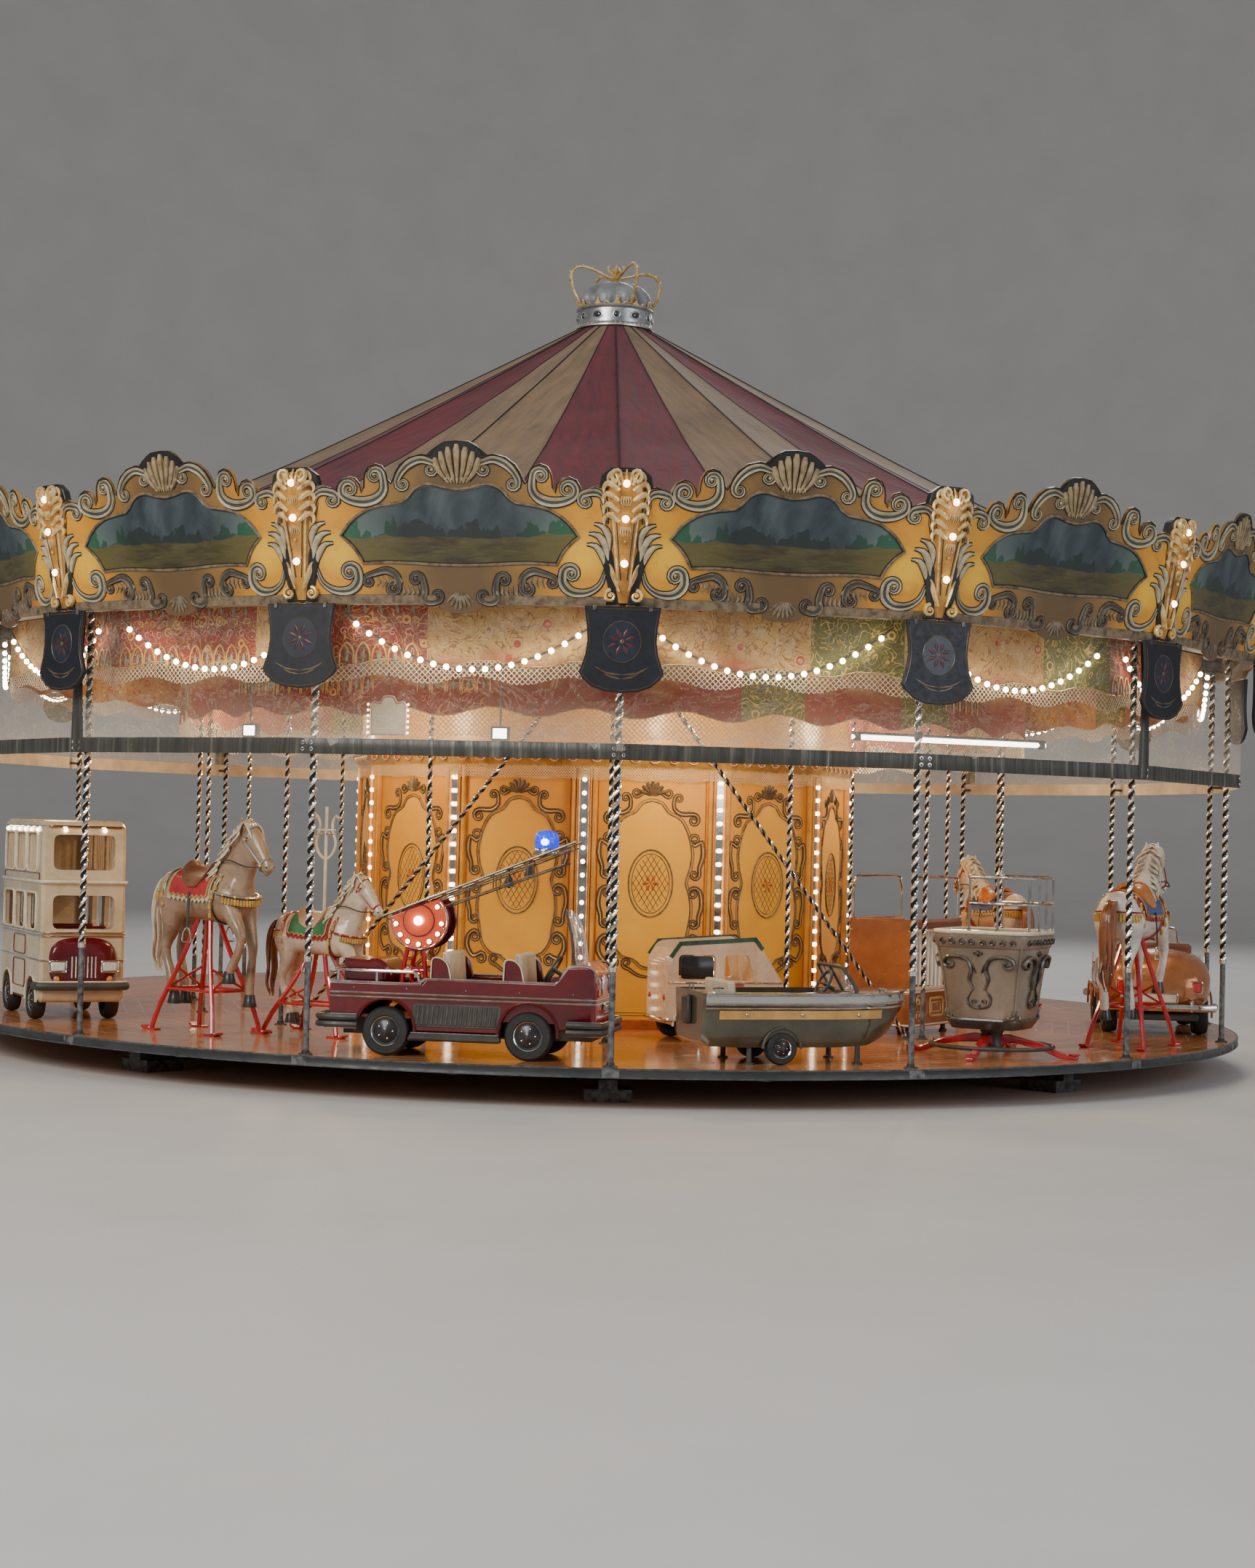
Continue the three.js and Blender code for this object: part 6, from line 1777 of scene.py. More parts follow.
# Crown with its band, points, puffed cap, arches and finial
def make_crown():
    z0 = CROWN_BOTTOM + 0.0005
    band = lathe([(AXIS, z0), (0.315, z0), (0.316, z0 + 0.012), (0.308, z0 + 0.024), (0.300, z0 + 0.034),
        (0.300, z0 + 0.142), (0.308, z0 + 0.150), (0.314, z0 + 0.160), (0.308, z0 + 0.172),
        (0.295, z0 + 0.180), (0.255, z0 + 0.182)], 64)
    jewels, settings, points, beads, arches = [], [], [], [], []
    for k in range(12):
        turn = about_z(TURN * k / 12 + 0.03)
        stone = ball((0, 0, 0), 0.024, 12, 6)
        wide = 1.45 if k % 2 else 0.85
        shape = Matrix.Diagonal((wide, 0.45, 0.95, 1))
        place = turn @ shift(0, -0.302, z0 + 0.088)
        jewels.append(moved(stone, place @ shape))
        oval = [(0.031 * wide * math.cos(a), -0.302, z0 + 0.088 + 0.030 * math.sin(a))
            for a in round_steps(20)]
        settings.append(moved(tube(oval, 0.0045, 5, True), turn))
        tall = 0.060 if k % 3 == 0 else 0.042
        point = prism([(-0.038, 0.0), (0.038, 0.0), (0.018, tall * 0.35), (0.012, tall * 0.7), (0.0, tall),
            (-0.012, tall * 0.7), (-0.018, tall * 0.35)], 0.0, 0.010, 0.002)
        rim = turn @ upright(0.300, z0 + 0.172)
        points.append(moved(point, rim))
        points.append(moved(ball((0, -0.306, z0 + 0.172 + tall), 0.011, 8, 5), turn))
        leaf = smooth_path([(0.050, 0.0), (0.078, 0.018), (0.104, 0.0)], 0.02)
        points.append(moved(ridge(leaf, 0.008, 0.0, 0.006, 0.02), rim))
    for k in range(48):
        angle = TURN * k / 48
        beads.append(ball(polar(0.309, angle, z0 + 0.020), 0.009, 6, 4))
    lobes = 8
    rows = []
    for z, r in ((z0 + 0.17, 0.262), (z0 + 0.20, 0.294), (z0 + 0.25, 0.300), (z0 + 0.30, 0.280),
            (z0 + 0.345, 0.230), (z0 + 0.378, 0.160), (z0 + 0.395, 0.08), (z0 + 0.398, 0.005)):
        row = []
        for j in range(96):
            angle = TURN * j / 96
            puff = 1 - 0.20 * abs(math.cos(lobes * angle / 2)) ** 5
            lift = 0.012 * math.sin(3 * angle + z * 20)
            row.append(polar(r * puff, angle, z + lift * 0.3))
        rows.append(row)
    cap = skin(rows, False, True)
    line = smooth_path([(0.300, 5.945), (0.332, 5.985), (0.372, 6.05), (0.396, 6.13), (0.394, 6.20),
        (0.353, 6.246), (0.29, 6.260), (0.21, 6.248), (0.13, 6.220), (0.06, 6.198), (0.0, 6.193)], 0.03)
    for k in range(4):
        path = [(0, -r, z) for r, z in line]
        turn = about_z(TURN * k / 4 + 0.42)
        arches.append(moved(tube(path, 0.0115, 7), turn))
        for r, z in line[2:-3:2]:
            arches.append(moved(ball((0, -r - 0.009, z + 0.007), 0.012, 7, 5), turn))
    finial = lathe([(AXIS, 6.130), (0.020, 6.135), (0.014, 6.16), (0.022, 6.185), (0.034, 6.20),
        (0.022, 6.216), (0.016, 6.228), (0.034, 6.245), (0.038, 6.262), (0.026, 6.28), (0.010, 6.29),
        (0.007, 6.30), (AXIS, 6.318)], 18)
    leaves = []
    for k in range(4):
        path = smooth_path([(0, -0.01, 6.226), (0, -0.050, 6.25), (0, -0.066, 6.285), (0, -0.052, 6.300)],
            0.02)
        leaves.append(moved(tube(path, np.linspace(0.011, 0.004, len(path)), 6), about_z(TURN * k / 4)))
    piece("crown_band", [(band, "silver"), (joined(settings), "silver"), (joined(jewels), "jewel"),
        (joined(beads), "gilt"), (joined(points), "gilt")], ["crown"])
    piece("crown_cap", [(cap, "cap")])
    piece("crown_arches", [(joined(arches), "gilt"), (finial, "gilt"), (joined(leaves), "gilt")])


# Drum: panels with cartouches, lamp strips on the corners, cornice with lace
def drum_face():
    """The frame of a drum side at azimuth 0: x across, y up from the ground, z outwards."""
    return upright(DRUM_RADIUS * math.cos(math.pi / DRUM_SIDES))


def cartouche():
    paths = []

    def add(points, width):
        paths.append((smooth_path(np.vstack(points), 0.022), width))

    add([curl((0.200, 1.955), 0.034, math.pi, -1.2)[::-1], [(0.165, 1.885), (0.215, 1.845), (0.285, 1.845)],
        curl((0.315, 1.800), 0.045, QUARTER, -1.3)], 0.017)
    add([curl((0.330, 1.660), 0.046, -QUARTER, -1.2)[::-1], [(0.380, 1.640), (0.392, 1.540), (0.366, 1.450)],
        curl((0.330, 1.400), 0.040, 0.3, -1.2)], 0.018)
    add([curl((0.325, 1.260), 0.042, QUARTER, 1.2)[::-1], [(0.372, 1.280), (0.390, 1.180), (0.368, 1.090)],
        curl((0.330, 1.040), 0.040, 0.3, -1.2)], 0.017)
    add([[(0.0, 2.030), (0.045, 2.010), (0.085, 1.980)], curl((0.118, 1.995), 0.032, -QUARTER, 1.1)], 0.016)
    add([curl((0.325, 0.905), 0.044, QUARTER, 1.2)[::-1], [(0.372, 0.915), (0.380, 0.830), (0.330, 0.760)],
        curl((0.270, 0.745), 0.042, QUARTER, 1.2)], 0.017)
    add([[(0.0, 0.640), (0.080, 0.655), (0.150, 0.700)], curl((0.165, 0.745), 0.040, -QUARTER, 1.1)], 0.017)
    return paths


def medallion():
    """A generic oval medallion with a lozenge lattice and a rosette."""
    centre = np.array((0.0, 1.33))
    angles = round_steps(40)
    oval = np.column_stack([0.165 * np.cos(angles), centre[1] + 0.245 * np.sin(angles)])
    shapes = [tube(laid(oval, 2, 0.002), 0.006, 5, True)]
    small = np.column_stack([0.142 * np.cos(angles), centre[1] + 0.218 * np.sin(angles)])
    shapes.append(tube(laid(small, 2, 0.002), 0.003, 4, True))
    for sign in (-1, 1):
        for k in range(-3, 4):
            offset = k * 0.07
            ends = []
            for t in np.linspace(-0.3, 0.3, 31):
                x, y = t * 0.62, sign * t + offset
                if (x / 0.138) ** 2 + (y / 0.214) ** 2 < 1:
                    ends.append((x, centre[1] + y))
            if len(ends) > 2:
                path = smooth_path([ends[0], ends[-1]], 0.06)
                shapes.append(skin(strip(path, np.full(len(path), 0.0022), PEAKED, 0.0008, 0.002)))
    rosette = []
    for k in range(6):
        angle = TURN * k / 6
        step = np.array((math.cos(angle), math.sin(angle)))
        path = smooth_path([centre + step * 0.012, centre + step * 0.04, centre + step * 0.062], 0.02)
        rosette.append(ridge(path, 0.015, 0.002, 0.006, 0.03))
    return joined(shapes), joined(rosette)


def inner_frame():
    """Half of the waisted line inside the scrolls, from the top of a panel to its foot."""
    return smooth_path([(0.0, 1.935), (0.070, 1.915), (0.120, 1.850), (0.215, 1.800), (0.272, 1.700),
        (0.305, 1.560), (0.292, 1.440), (0.262, 1.340), (0.292, 1.240), (0.302, 1.110), (0.280, 0.980),
        (0.262, 0.880), (0.205, 0.800), (0.110, 0.770), (0.060, 0.725), (0.0, 0.710)], 0.03)


def make_drum():
    face = drum_face()
    wall = lathe([(DRUM_RADIUS - 0.03, 0.1405), (DRUM_RADIUS, 0.1405), (DRUM_RADIUS, 3.0),
        (DRUM_RADIUS - 0.03, 3.0), (DRUM_RADIUS - 0.03, 0.1405)], DRUM_SIDES, DRUM_TURN)
    bands, lines = [], []
    for path, width in cartouche():
        band, line = scroll_band(path, width, 0.0006, 0.008, "umber", "gilt_pale")
        bands.append(band)
        lines.append(line)
    crest = []
    for k in range(-3, 4):
        angle = QUARTER - k * 0.42
        end = np.array((0.0, 1.975)) + 0.105 * np.array((math.cos(angle), math.sin(angle)))
        path = smooth_path([(k * 0.006, 1.975), ((0.0, 1.975) + end) / 2, end], 0.03)
        widths = np.interp(np.linspace(0, 1, len(path)), [0, 0.75, 1], [0.006, 0.019, 0.010])
        crest.append(skin(strip(path, widths, PEAKED, 0.001, 0.012)))
    half_line = inner_frame()
    whole_line = np.vstack([half_line, (half_line * (-1, 1))[::-1][1:-1]])
    lit = prism(whole_line.tolist(), 0.0004, 0.0022)
    borders = []
    for width, pull in ((0.0065, 0.0), (0.0030, 0.018)):
        border = inset(whole_line.tolist(), pull) if pull else whole_line
        borders.append(tube(laid(border, 2, 0.0026), width, 5, True))
    lattice, rosette = medallion()
    frame_line = []
    for half, low, high in ((0.425, 0.36, 2.12), (0.405, 0.38, 2.10)):
        corner = [(-half, low), (half, low), (half, high), (-half, high)]
        frame_line.append(flat_loop(corner, 2, 0.002, 0.004, 4))
    dado = block(-0.43, 0.43, 0.145, 0.33, 0.0, 0.012, 0.004)
    lift = shift(0, 0, 0.0024)

    def sides(shape):
        return around(moved(shape, face), DRUM_SIDES, DRUM_TURN + math.pi / DRUM_SIDES)

    piece("drum_panels", [(wall, "panel"), (sides(dado), "rail_orange"),
        (sides(joined(frame_line)), "rail_orange")], ["drum_wall"], "centre")
    piece("drum_cartouches", [(sides(doubled(bands)), "gilt"), (sides(doubled(lines)), "umber"),
        (sides(joined(crest)), "umber"), (sides(lit), "panel_light"), (sides(joined(borders)), "umber"),
        (sides(moved(lattice, lift)), "umber"), (sides(moved(rosette, lift)), "rail_orange")],
        body="centre")
    rails, mirrors, lamps, edges = [], [], [], []
    out = DRUM_RADIUS + 0.001
    foot, top = 0.15, 2.168
    for side in (-1, 1):
        for x, half, proud in ((0.043, 0.011, 0.016), (0.075, 0.014, 0.004)):
            rails.append(block(side * x - half, side * x + half, -out - proud, -out + 0.03, foot, top, 0.004))
        edges.append(rod((side * 0.043, -out - 0.0165, 0.16), (side * 0.043, -out - 0.0165, 2.160), 0.003, 6))
    mirrors.append(block(-0.033, 0.033, -out - 0.004, -out + 0.03, foot, top, 0.001))
    for k in range(18):
        lamps.append(bulb((0, -out - 0.018, 0.38 + 0.10 * k), 0.018))

    def corners(shapes):
        return around(joined(shapes), DRUM_SIDES, DRUM_TURN)

    piece("drum_pilasters", [(corners(rails), "rail_gold"), (corners(edges), "rail_orange"),
        (corners(mirrors), "mirror"), (corners(lamps), "bulb")], body="centre")


def make_cornice():
    seat = DRUM_RADIUS + 0.0005
    profile = [(seat, CORNICE_BOTTOM), (seat + 0.025, CORNICE_BOTTOM), (seat + 0.03, CORNICE_BOTTOM + 0.02),
        (seat + 0.045, CORNICE_BOTTOM + 0.035), (seat + 0.052, CORNICE_BOTTOM + 0.06),
        (seat + 0.072, CORNICE_BOTTOM + 0.085), (seat + 0.086, CORNICE_BOTTOM + 0.098),
        (seat + 0.088, CORNICE_TOP - 0.006), (seat + 0.084, CORNICE_TOP), (seat, CORNICE_TOP)]
    moulding = lathe(profile, DRUM_SIDES, DRUM_TURN)
    ovals, gems = [], []
    apothem = (seat + 0.056) * math.cos(math.pi / DRUM_SIDES)
    middle = CORNICE_BOTTOM + 0.064
    for k in range(-3, 4):
        x = k * 0.145
        ring_path = [(x + 0.034 * math.cos(a), -apothem - 0.006, middle + 0.022 * math.sin(a))
            for a in round_steps(16)]
        ovals.append(tube(ring_path, 0.005, 5, True))
        gem_place = shift(x, -apothem - 0.004, middle) @ Matrix.Diagonal((1.2, 0.4, 0.8, 1))
        gems.append(moved(ball((0, 0, 0), 0.02, 10, 6), gem_place))
    turn = DRUM_TURN + math.pi / DRUM_SIDES
    piece("drum_cornice_moulding", [(moulding, "gilt"), (around(joined(ovals), DRUM_SIDES, turn), "scroll"),
        (around(joined(gems), DRUM_SIDES, turn), "rail_orange")], ["drum_cornice"], "centre")
    rows, spread = [], []
    steps = 10
    sector = TURN / DRUM_SIDES
    side = 2 * (seat + 0.03) * math.sin(math.pi / DRUM_SIDES)
    for share in (0.0, 0.5, 1.0):
        row = []
        for j in range(DRUM_SIDES * steps + 1):
            angle = DRUM_TURN + sector * j / steps
            offset = (sector * j / steps) % sector - sector / 2
            distance = (seat + 0.030) * math.cos(sector / 2) / math.cos(offset)
            wavy = 0.008 * math.sin(j * 1.9)
            z = CORNICE_BOTTOM + 0.002 - (0.088 + wavy) * (1 - share)
            distance += 0.003 * math.sin(j * 0.9) * (1 - share)
            row.append(polar(distance, angle, z))
            spread.append((side * j / steps, z))
        rows.append(row)
    shape = skin(rows, spread=np.array(spread))
    made = piece("cornice_lace", [(shape, "lace_small")], body="centre", crease=60)


# Shapes that need a cut or a remesh
def worked(shape, changes):
    """A shape after modifiers have been applied to it."""
    mesh = new_mesh("work", shape)
    face_outwards(mesh)
    obj = new_object("work", mesh)
    for kind, values in changes:
        modifier = obj.modifiers.new(kind.lower(), kind)
        for key, value in values.items():
            setattr(modifier, key, value)
    result = obj.evaluated_get(bpy.context.evaluated_depsgraph_get()).to_mesh()
    points = np.zeros(len(result.vertices) * 3)
    result.vertices.foreach_get("co", points)
    faces = [tuple(face.vertices) for face in result.polygons]
    bpy.data.objects.remove(obj)
    bpy.data.meshes.remove(mesh)
    return Shape(points.reshape(-1, 3), faces)


def carved(shape, cutters):
    """The shape with the cutters taken out of it."""
    tools, changes = [], []
    for cutter in cutters:
        mesh = new_mesh("cutter", cutter)
        face_outwards(mesh)
        tool = new_object("cutter", mesh)
        tools.append(tool)
        changes.append(("BOOLEAN", {"object": tool, "operation": "DIFFERENCE", "solver": "EXACT"}))
    result = worked(shape, changes)
    for tool in tools:
        bpy.data.meshes.remove(tool.data)
    return result


def moulded(shapes, voxel, rounds=4, kept=1.0):
    """Overlapping shapes grown together into one smooth body, with the given share of its faces kept."""
    return worked(joined(shapes), [("REMESH", {"mode": "VOXEL", "voxel_size": voxel}),
        ("SMOOTH", {"factor": 0.5, "iterations": rounds}), ("DECIMATE", {"ratio": kept})])


def rounded(outline, radius, steps=4):
    """An outline with its corners rounded."""
    outline = [np.array(p, float) for p in outline]
    made = []
    for i, corner in enumerate(outline):
        before = outline[i - 1] - corner
        after = outline[(i + 1) % len(outline)] - corner
        reach = min(radius, 0.48 * np.linalg.norm(before), 0.48 * np.linalg.norm(after))
        start = corner + before / np.linalg.norm(before) * reach
        end = corner + after / np.linalg.norm(after) * reach
        for t in np.linspace(0, 1, steps + 1):
            made.append((1 - t) ** 2 * start + 2 * t * (1 - t) * corner + t ** 2 * end)
    return np.array(made)


def round_rect(x0, x1, y0, y1, radius, steps=4):
    return rounded([(x0, y0), (x1, y0), (x1, y1), (x0, y1)], radius, steps)


def arc(x, z, radius, start, end, count):
    """Points on part of a circle."""
    return [(x + radius * math.cos(a), z + radius * math.sin(a)) for a in np.linspace(start, end, count)]


def panel_box(x0, x1, y0, y1, z0, z1, corner=0.03, bevel=0.006):
    """A box seen from the side, with rounded corners there."""
    return side_plate(round_rect(x0, x1, z0, z1, corner), y0, y1, bevel)


def both(shape):
    return joined([shape, mirrored(shape, 1)])


def side_line(points, y, radius, sides=6, spacing=0.04, flat=1.0, closed=False):
    """A bar along points in x and z, at one distance from the middle on each side."""
    path = smooth_path(points, spacing, closed)
    path = laid(path, 1, y)
    return both(tube(path, radius, sides, closed, flat))


def ride_wheel(x, y, z, radius, width):
    """A tyre, its hub and a bright ring, with the outer face away from the middle."""
    half = width / 2
    tyre = lathe([(0.55 * radius, -half), (0.9 * radius, -half), (0.975 * radius, -0.72 * half),
        (radius, -0.3 * half), (radius, 0.3 * half), (0.975 * radius, 0.72 * half), (0.9 * radius, half),
        (0.64 * radius, half), (0.60 * radius, 0.8 * half), (0.55 * radius, 0.6 * half)], 30)
    hub = lathe([(0.60 * radius, 0.55 * half), (0.48 * radius, 0.5 * half), (0.40 * radius, 0.7 * half),
        (0.22 * radius, 0.8 * half), (0.16 * radius, 1.0 * half), (AXIS, 1.06 * half)], 24)
    band = lathe([(0.56 * radius, 0.7 * half), (0.62 * radius, 0.86 * half), (0.64 * radius, 0.7 * half)], 30)
    nuts = [ball((0.31 * radius * math.cos(a), 0.31 * radius * math.sin(a), 0.78 * half), 0.045 * radius, 6,
        4) for a in np.arange(5) * TURN / 5]
    outward = tilt("X", QUARTER if y < 0 else -QUARTER)
    place = shift(x, y, z) @ outward
    return [(moved(tyre, place), "tyre"), (moved(hub, place), "hubcap"), (moved(band, place), "plated"),
        (moved(joined(nuts), place), "plated")]


def lamp(place, radius, wide=1.0, tall=1.0, colour="lamp_glass", facing=0.0):
    """A lamp on a face that looks along +x, or turned about z by facing."""
    dome = ball((0, 0, 0), radius, 14, 8)
    ring_path = [(0, radius * 1.08 * math.cos(a), radius * 1.08 * math.sin(a)) for a in round_steps(24)]
    bezel = tube(ring_path, radius * 0.13, 6, True)
    size = Matrix.Diagonal((0.45, wide, tall, 1))
    spot = shift(*place) @ about_z(facing) @ size
    return [(moved(dome, spot), colour), (moved(bezel, spot), "plated")]


def steering_wheel(radius, steps, thick, spoke, spoke_thick, column, column_thick):
    """A rim across x with one spoke bar and a stub of its column."""
    rim = [(0.0, radius * math.cos(a), radius * math.sin(a)) for a in round_steps(steps)]
    return joined([tube(rim, thick, 7, True), rod((0, -spoke, 0), (0, spoke, 0), spoke_thick, 6),
        rod((0, 0, 0), (column, 0, 0), column_thick, 8)])


def wheels_and_arches(places, reach, radius, width, side, bead, colour):
    """Two pairs of wheels, a bead round each arch; bead is (height, radius, overlap, steps, thickness)."""
    height, arch, overlap, steps, thick = bead
    parts = []
    for x in places:
        for y in (-reach, reach):
            parts += ride_wheel(x, y, radius, radius, width)
        line = arc(x, height, arch, math.pi + overlap, -overlap, steps)
        parts.append((side_line(line, side, thick, 6), colour))
    return parts


def all_moved(parts, matrix):
    return [(moved(shape, matrix), colour) for shape, colour in parts]


# Fire engine
def engine_side_outline():
    outline = [(-0.860, 0.195), (-0.692, 0.195)]
    outline += arc(-0.494, 0.170, 0.190, math.pi, 0, 14)
    outline += [(-0.290, 0.160), (0.225, 0.160)]
    outline += arc(0.418, 0.170, 0.186, math.pi, 0, 14)
    outline += [(0.620, 0.195), (0.800, 0.195)]
    outline += arc(0.800, 0.235, 0.040, -QUARTER, 0, 5)
    outline += arc(0.788, 0.538, 0.053, 0.1, QUARTER, 5)
    outline += [(0.660, 0.585), (0.600, 0.500), (0.580, 0.484), (-0.235, 0.484), (-0.262, 0.452),
        (-0.860, 0.452)]
    return outline


def engine_seat(x):
    back = rounded([(x - 0.045, 0.262), (x + 0.14, 0.262), (x + 0.14, 0.38), (x + 0.055, 0.40),
        (x + 0.035, 0.60), (x - 0.035, 0.606)], 0.022)
    whole = side_plate(back, -0.272, 0.272, 0.012)
    cushion = side_plate(rounded([(x + 0.045, 0.37), (x + 0.15, 0.365), (x + 0.155, 0.405),
        (x + 0.05, 0.43)], 0.02), -0.24, 0.24, 0.014)
    rest = side_plate(rounded([(x + 0.02, 0.44), (x + 0.062, 0.43), (x + 0.044, 0.655), (x + 0.0, 0.66)],
        0.022), -0.225, 0.225, 0.016)
    side = rounded([(x - 0.05, 0.47), (x + 0.085, 0.47), (x + 0.060, 0.585), (x + 0.015, 0.625),
        (x - 0.045, 0.625)], 0.03)
    cheek = both(side_plate(side, -0.302, -0.262, 0.010))
    edge = side_line(side, -0.306, 0.0045, 5, closed=True)
    return [(whole, "maroon"), (cushion, "seat_tan"), (rest, "seat_cream"), (cheek, "maroon"),
        (edge, "cream_trim")]


def engine_screen():
    """The domed clear screen and its frame."""
    rows, rim = [], []
    count = 11
    for i in range(count):
        t = i / (count - 1)
        z = 0.575 + 0.360 * t
        x = np.interp(z, [0.575, 0.70, 0.80, 0.88, 0.935], [0.684, 0.672, 0.652, 0.622, 0.585])
        half = 0.215 * math.sqrt(max(0.0, 1 - max(0.0, (t - 0.25) / 0.75) ** 2.4)) + 0.002
        rows.append([(x + 0.035 * (1 - s * s), half * s, z) for s in np.linspace(-1, 1, 13)])
        rim.append((x, -half, z))
    path = rim + [(x, -y, z) for x, y, z in reversed(rim[:-1])]
    ribs = []
    for column in range(2, 12, 2):
        ribs.append(tube([row[column] for row in rows[:-1]], 0.0035, 5))
    return skin(rows), tube(path, 0.009, 8), joined(ribs)


def make_engine():
    place = ride_place(-11.25, 4.400)
    side = engine_side_outline()
    parts = [(both(side_plate(side, -0.330, -0.304, 0.009)), "maroon")]
    hood = carved(side_plate([(0.592, 0.20), (0.842, 0.20), (0.846, 0.50), (0.835, 0.555), (0.79, 0.597),
        (0.66, 0.587), (0.600, 0.502), (0.592, 0.48)], -0.306, 0.306, 0.012),
        [side_plate(arc(0.418, 0.17, 0.19, 0, TURN, 24)[:-1], -0.5, 0.5)])
    parts.append((hood, "engine_red"))
    crown_rows = []
    for x, lift in ((0.63, 0.0), (0.66, 0.016), (0.72, 0.026), (0.78, 0.022), (0.83, 0.0)):
        base = np.interp(x, [0.60, 0.66, 0.79, 0.835], [0.50, 0.586, 0.596, 0.556])
        crown_rows.append([(x, y, base + lift * math.cos(y / 0.27 * QUARTER))
            for y in np.linspace(-0.27, 0.27, 15)])
    parts.append((skin(crown_rows), "engine_red"))
    floor_and_walls = [block(-0.845, 0.60, -0.305, 0.305, 0.235, 0.260),
        block(-0.86, -0.832, -0.306, 0.306, 0.195, 0.452, 0.01),
        block(-0.285, -0.235, -0.305, 0.305, 0.26, 0.468), block(-0.835, -0.26, -0.305, 0.305, 0.376, 0.400),
        both(block(-0.83, -0.25, -0.306, -0.275, 0.39, 0.450)),
        both(block(-0.23, 0.6, -0.306, -0.275, 0.25, 0.478)), block(0.55, 0.60, -0.305, 0.305, 0.26, 0.520)]
    parts.append((joined(floor_and_walls), "maroon"))
    parts.append((joined([block(-0.80, 0.80, -0.20, 0.20, 0.125, 0.235),
        both(block(-0.30, 0.24, -0.30, -0.20, 0.135, 0.24))]), "hem"))
    for x in (-0.165, 0.300):
        parts += engine_seat(x)
    d_seat = side_plate([(-0.80, 0.402), (-0.535, 0.402)] + arc(-0.60, 0.505, 0.098, -0.6, 2.1, 9)
        + [(-0.80, 0.60)], -0.225, 0.225, 0.02)
    parts.append((d_seat, "maroon"))
    parts += wheels_and_arches((-0.494, 0.418), 0.285, 0.155, 0.085, -0.332, (0.17, 0.192, 0.1, 15, 0.011),
        "maroon")
    running = rounded([(-0.345, 0.105), (0.250, 0.105), (0.240, 0.150), (-0.330, 0.150)], 0.02)
    parts.append((both(side_plate(running, -0.366, -0.295, 0.012)), "hem"))
    parts.append((side_line([(-0.325, 0.1535), (0.235, 0.1535)], -0.345, 0.005), "plated"))
    louvres = [side_plate([(-0.30 + 0.031 * k, 0.205), (-0.282 + 0.031 * k, 0.205),
        (-0.270 + 0.031 * k, 0.325), (-0.288 + 0.031 * k, 0.325)], -0.339, -0.326, 0.003) for k in range(17)]
    parts.append((both(joined(louvres)), "louvre"))
    parts.append((both(panel_box(-0.318, 0.246, -0.334, -0.328, 0.192, 0.337, 0.02, 0.002)), "hem"))
    for z in (0.392, 0.366):
        belt = [(-0.864, -0.318), (-0.85, -0.335), (0.83, -0.335), (0.850, -0.318), (0.850, 0.318),
            (0.83, 0.335), (-0.85, 0.335), (-0.864, 0.318)]
        parts.append((flat_loop(belt, 2, z, 0.0075, 6), "plated"))
    sill = [(-0.858, 0.458), (-0.275, 0.458), (-0.244, 0.488), (0.585, 0.488), (0.612, 0.505),
        (0.662, 0.589), (0.79, 0.600), (0.838, 0.556)]
    parts.append((side_line(sill, -0.319, 0.0085, 6, 0.02), "plated"))
    rail = [(-0.285, -0.30, 0.462), (-0.295, -0.30, 0.515), (-0.33, -0.30, 0.528), (-0.79, -0.30, 0.530),
        (-0.835, -0.27, 0.530), (-0.840, 0.27, 0.530), (-0.79, 0.30, 0.530), (-0.33, 0.30, 0.528),
        (-0.295, 0.30, 0.515), (-0.285, 0.30, 0.462)]
    posts = [rod((x, y, 0.45), (x, y, 0.528), 0.010, 8) for x in (-0.81, -0.56) for y in (-0.30, 0.30)]
    parts.append((joined([tube(rail, 0.011, 8), *posts]), "plated"))
    for y in (-0.12, 0.12):
        parts += lamp((0.848, y, 0.485), 0.045, 0.8, 1.35)
    parts.append((block(0.842, 0.860, -0.085, 0.085, 0.315, 0.352, 0.008), "lamp_glass"))
    bezel = round_rect(-0.095, 0.095, 0.305, 0.362, 0.02)
    parts.append((flat_loop(bezel, 0, 0.855, 0.006, 6), "plated"))
    for y in (-0.245, 0.245):
        for z in (0.435, 0.325):
            parts += lamp((-0.862, y, z), 0.024, colour="lamp_red", facing=math.pi)
        parts += lamp((0.850, y, 0.43), 0.024, colour="lamp_orange")
    for z in (0.190, 0.236):
        front = [(0.665, -0.350, z), (0.80, -0.352, z), (0.872, -0.325, z), (0.885, -0.22, z),
            (0.886, 0.22, z), (0.872, 0.325, z), (0.80, 0.352, z), (0.665, 0.350, z)]
        rear = [(-x * 1.035 - (0.02 if x > 0.7 else -0.02), y, z) for x, y, z in front]
        for path in (front, rear):
            curve = smooth_path(path, 0.05)
            parts.append((tube(curve, 0.022, 8), "hem"))
            trim = curve + np.array([0, 0, 0.018 if z > 0.2 else -0.018])
            trim[:, 0] += np.sign(curve[:, 0]) * 0.004
            parts.append((tube(trim, 0.0055, 5), "plated"))
    glass, rim, ribs = engine_screen()
    parts += [(glass, "screen_glass"), (rim, "hem"), (ribs, "screen_rib")]
    steering = joined([steering_wheel(0.095, 28, 0.010, 0.09, 0.008, 0.09, 0.014),
        rod((0, 0, 0), (0, 0, -0.09), 0.008, 6)])
    parts.append((moved(steering, shift(0.505, 0, 0.56) @ tilt("Y", 0.55)), "hem"))
    for y in (-0.331, 0.331):
        for x in (-0.70, -0.36, 0.02, 0.36, 0.70):
            parts.append((ball((x, y, 0.425), 0.006, 8, 4), "plated"))
    piece("engine_body", all_moved(parts, place), ["fire_engine"])
    make_ladder(place)


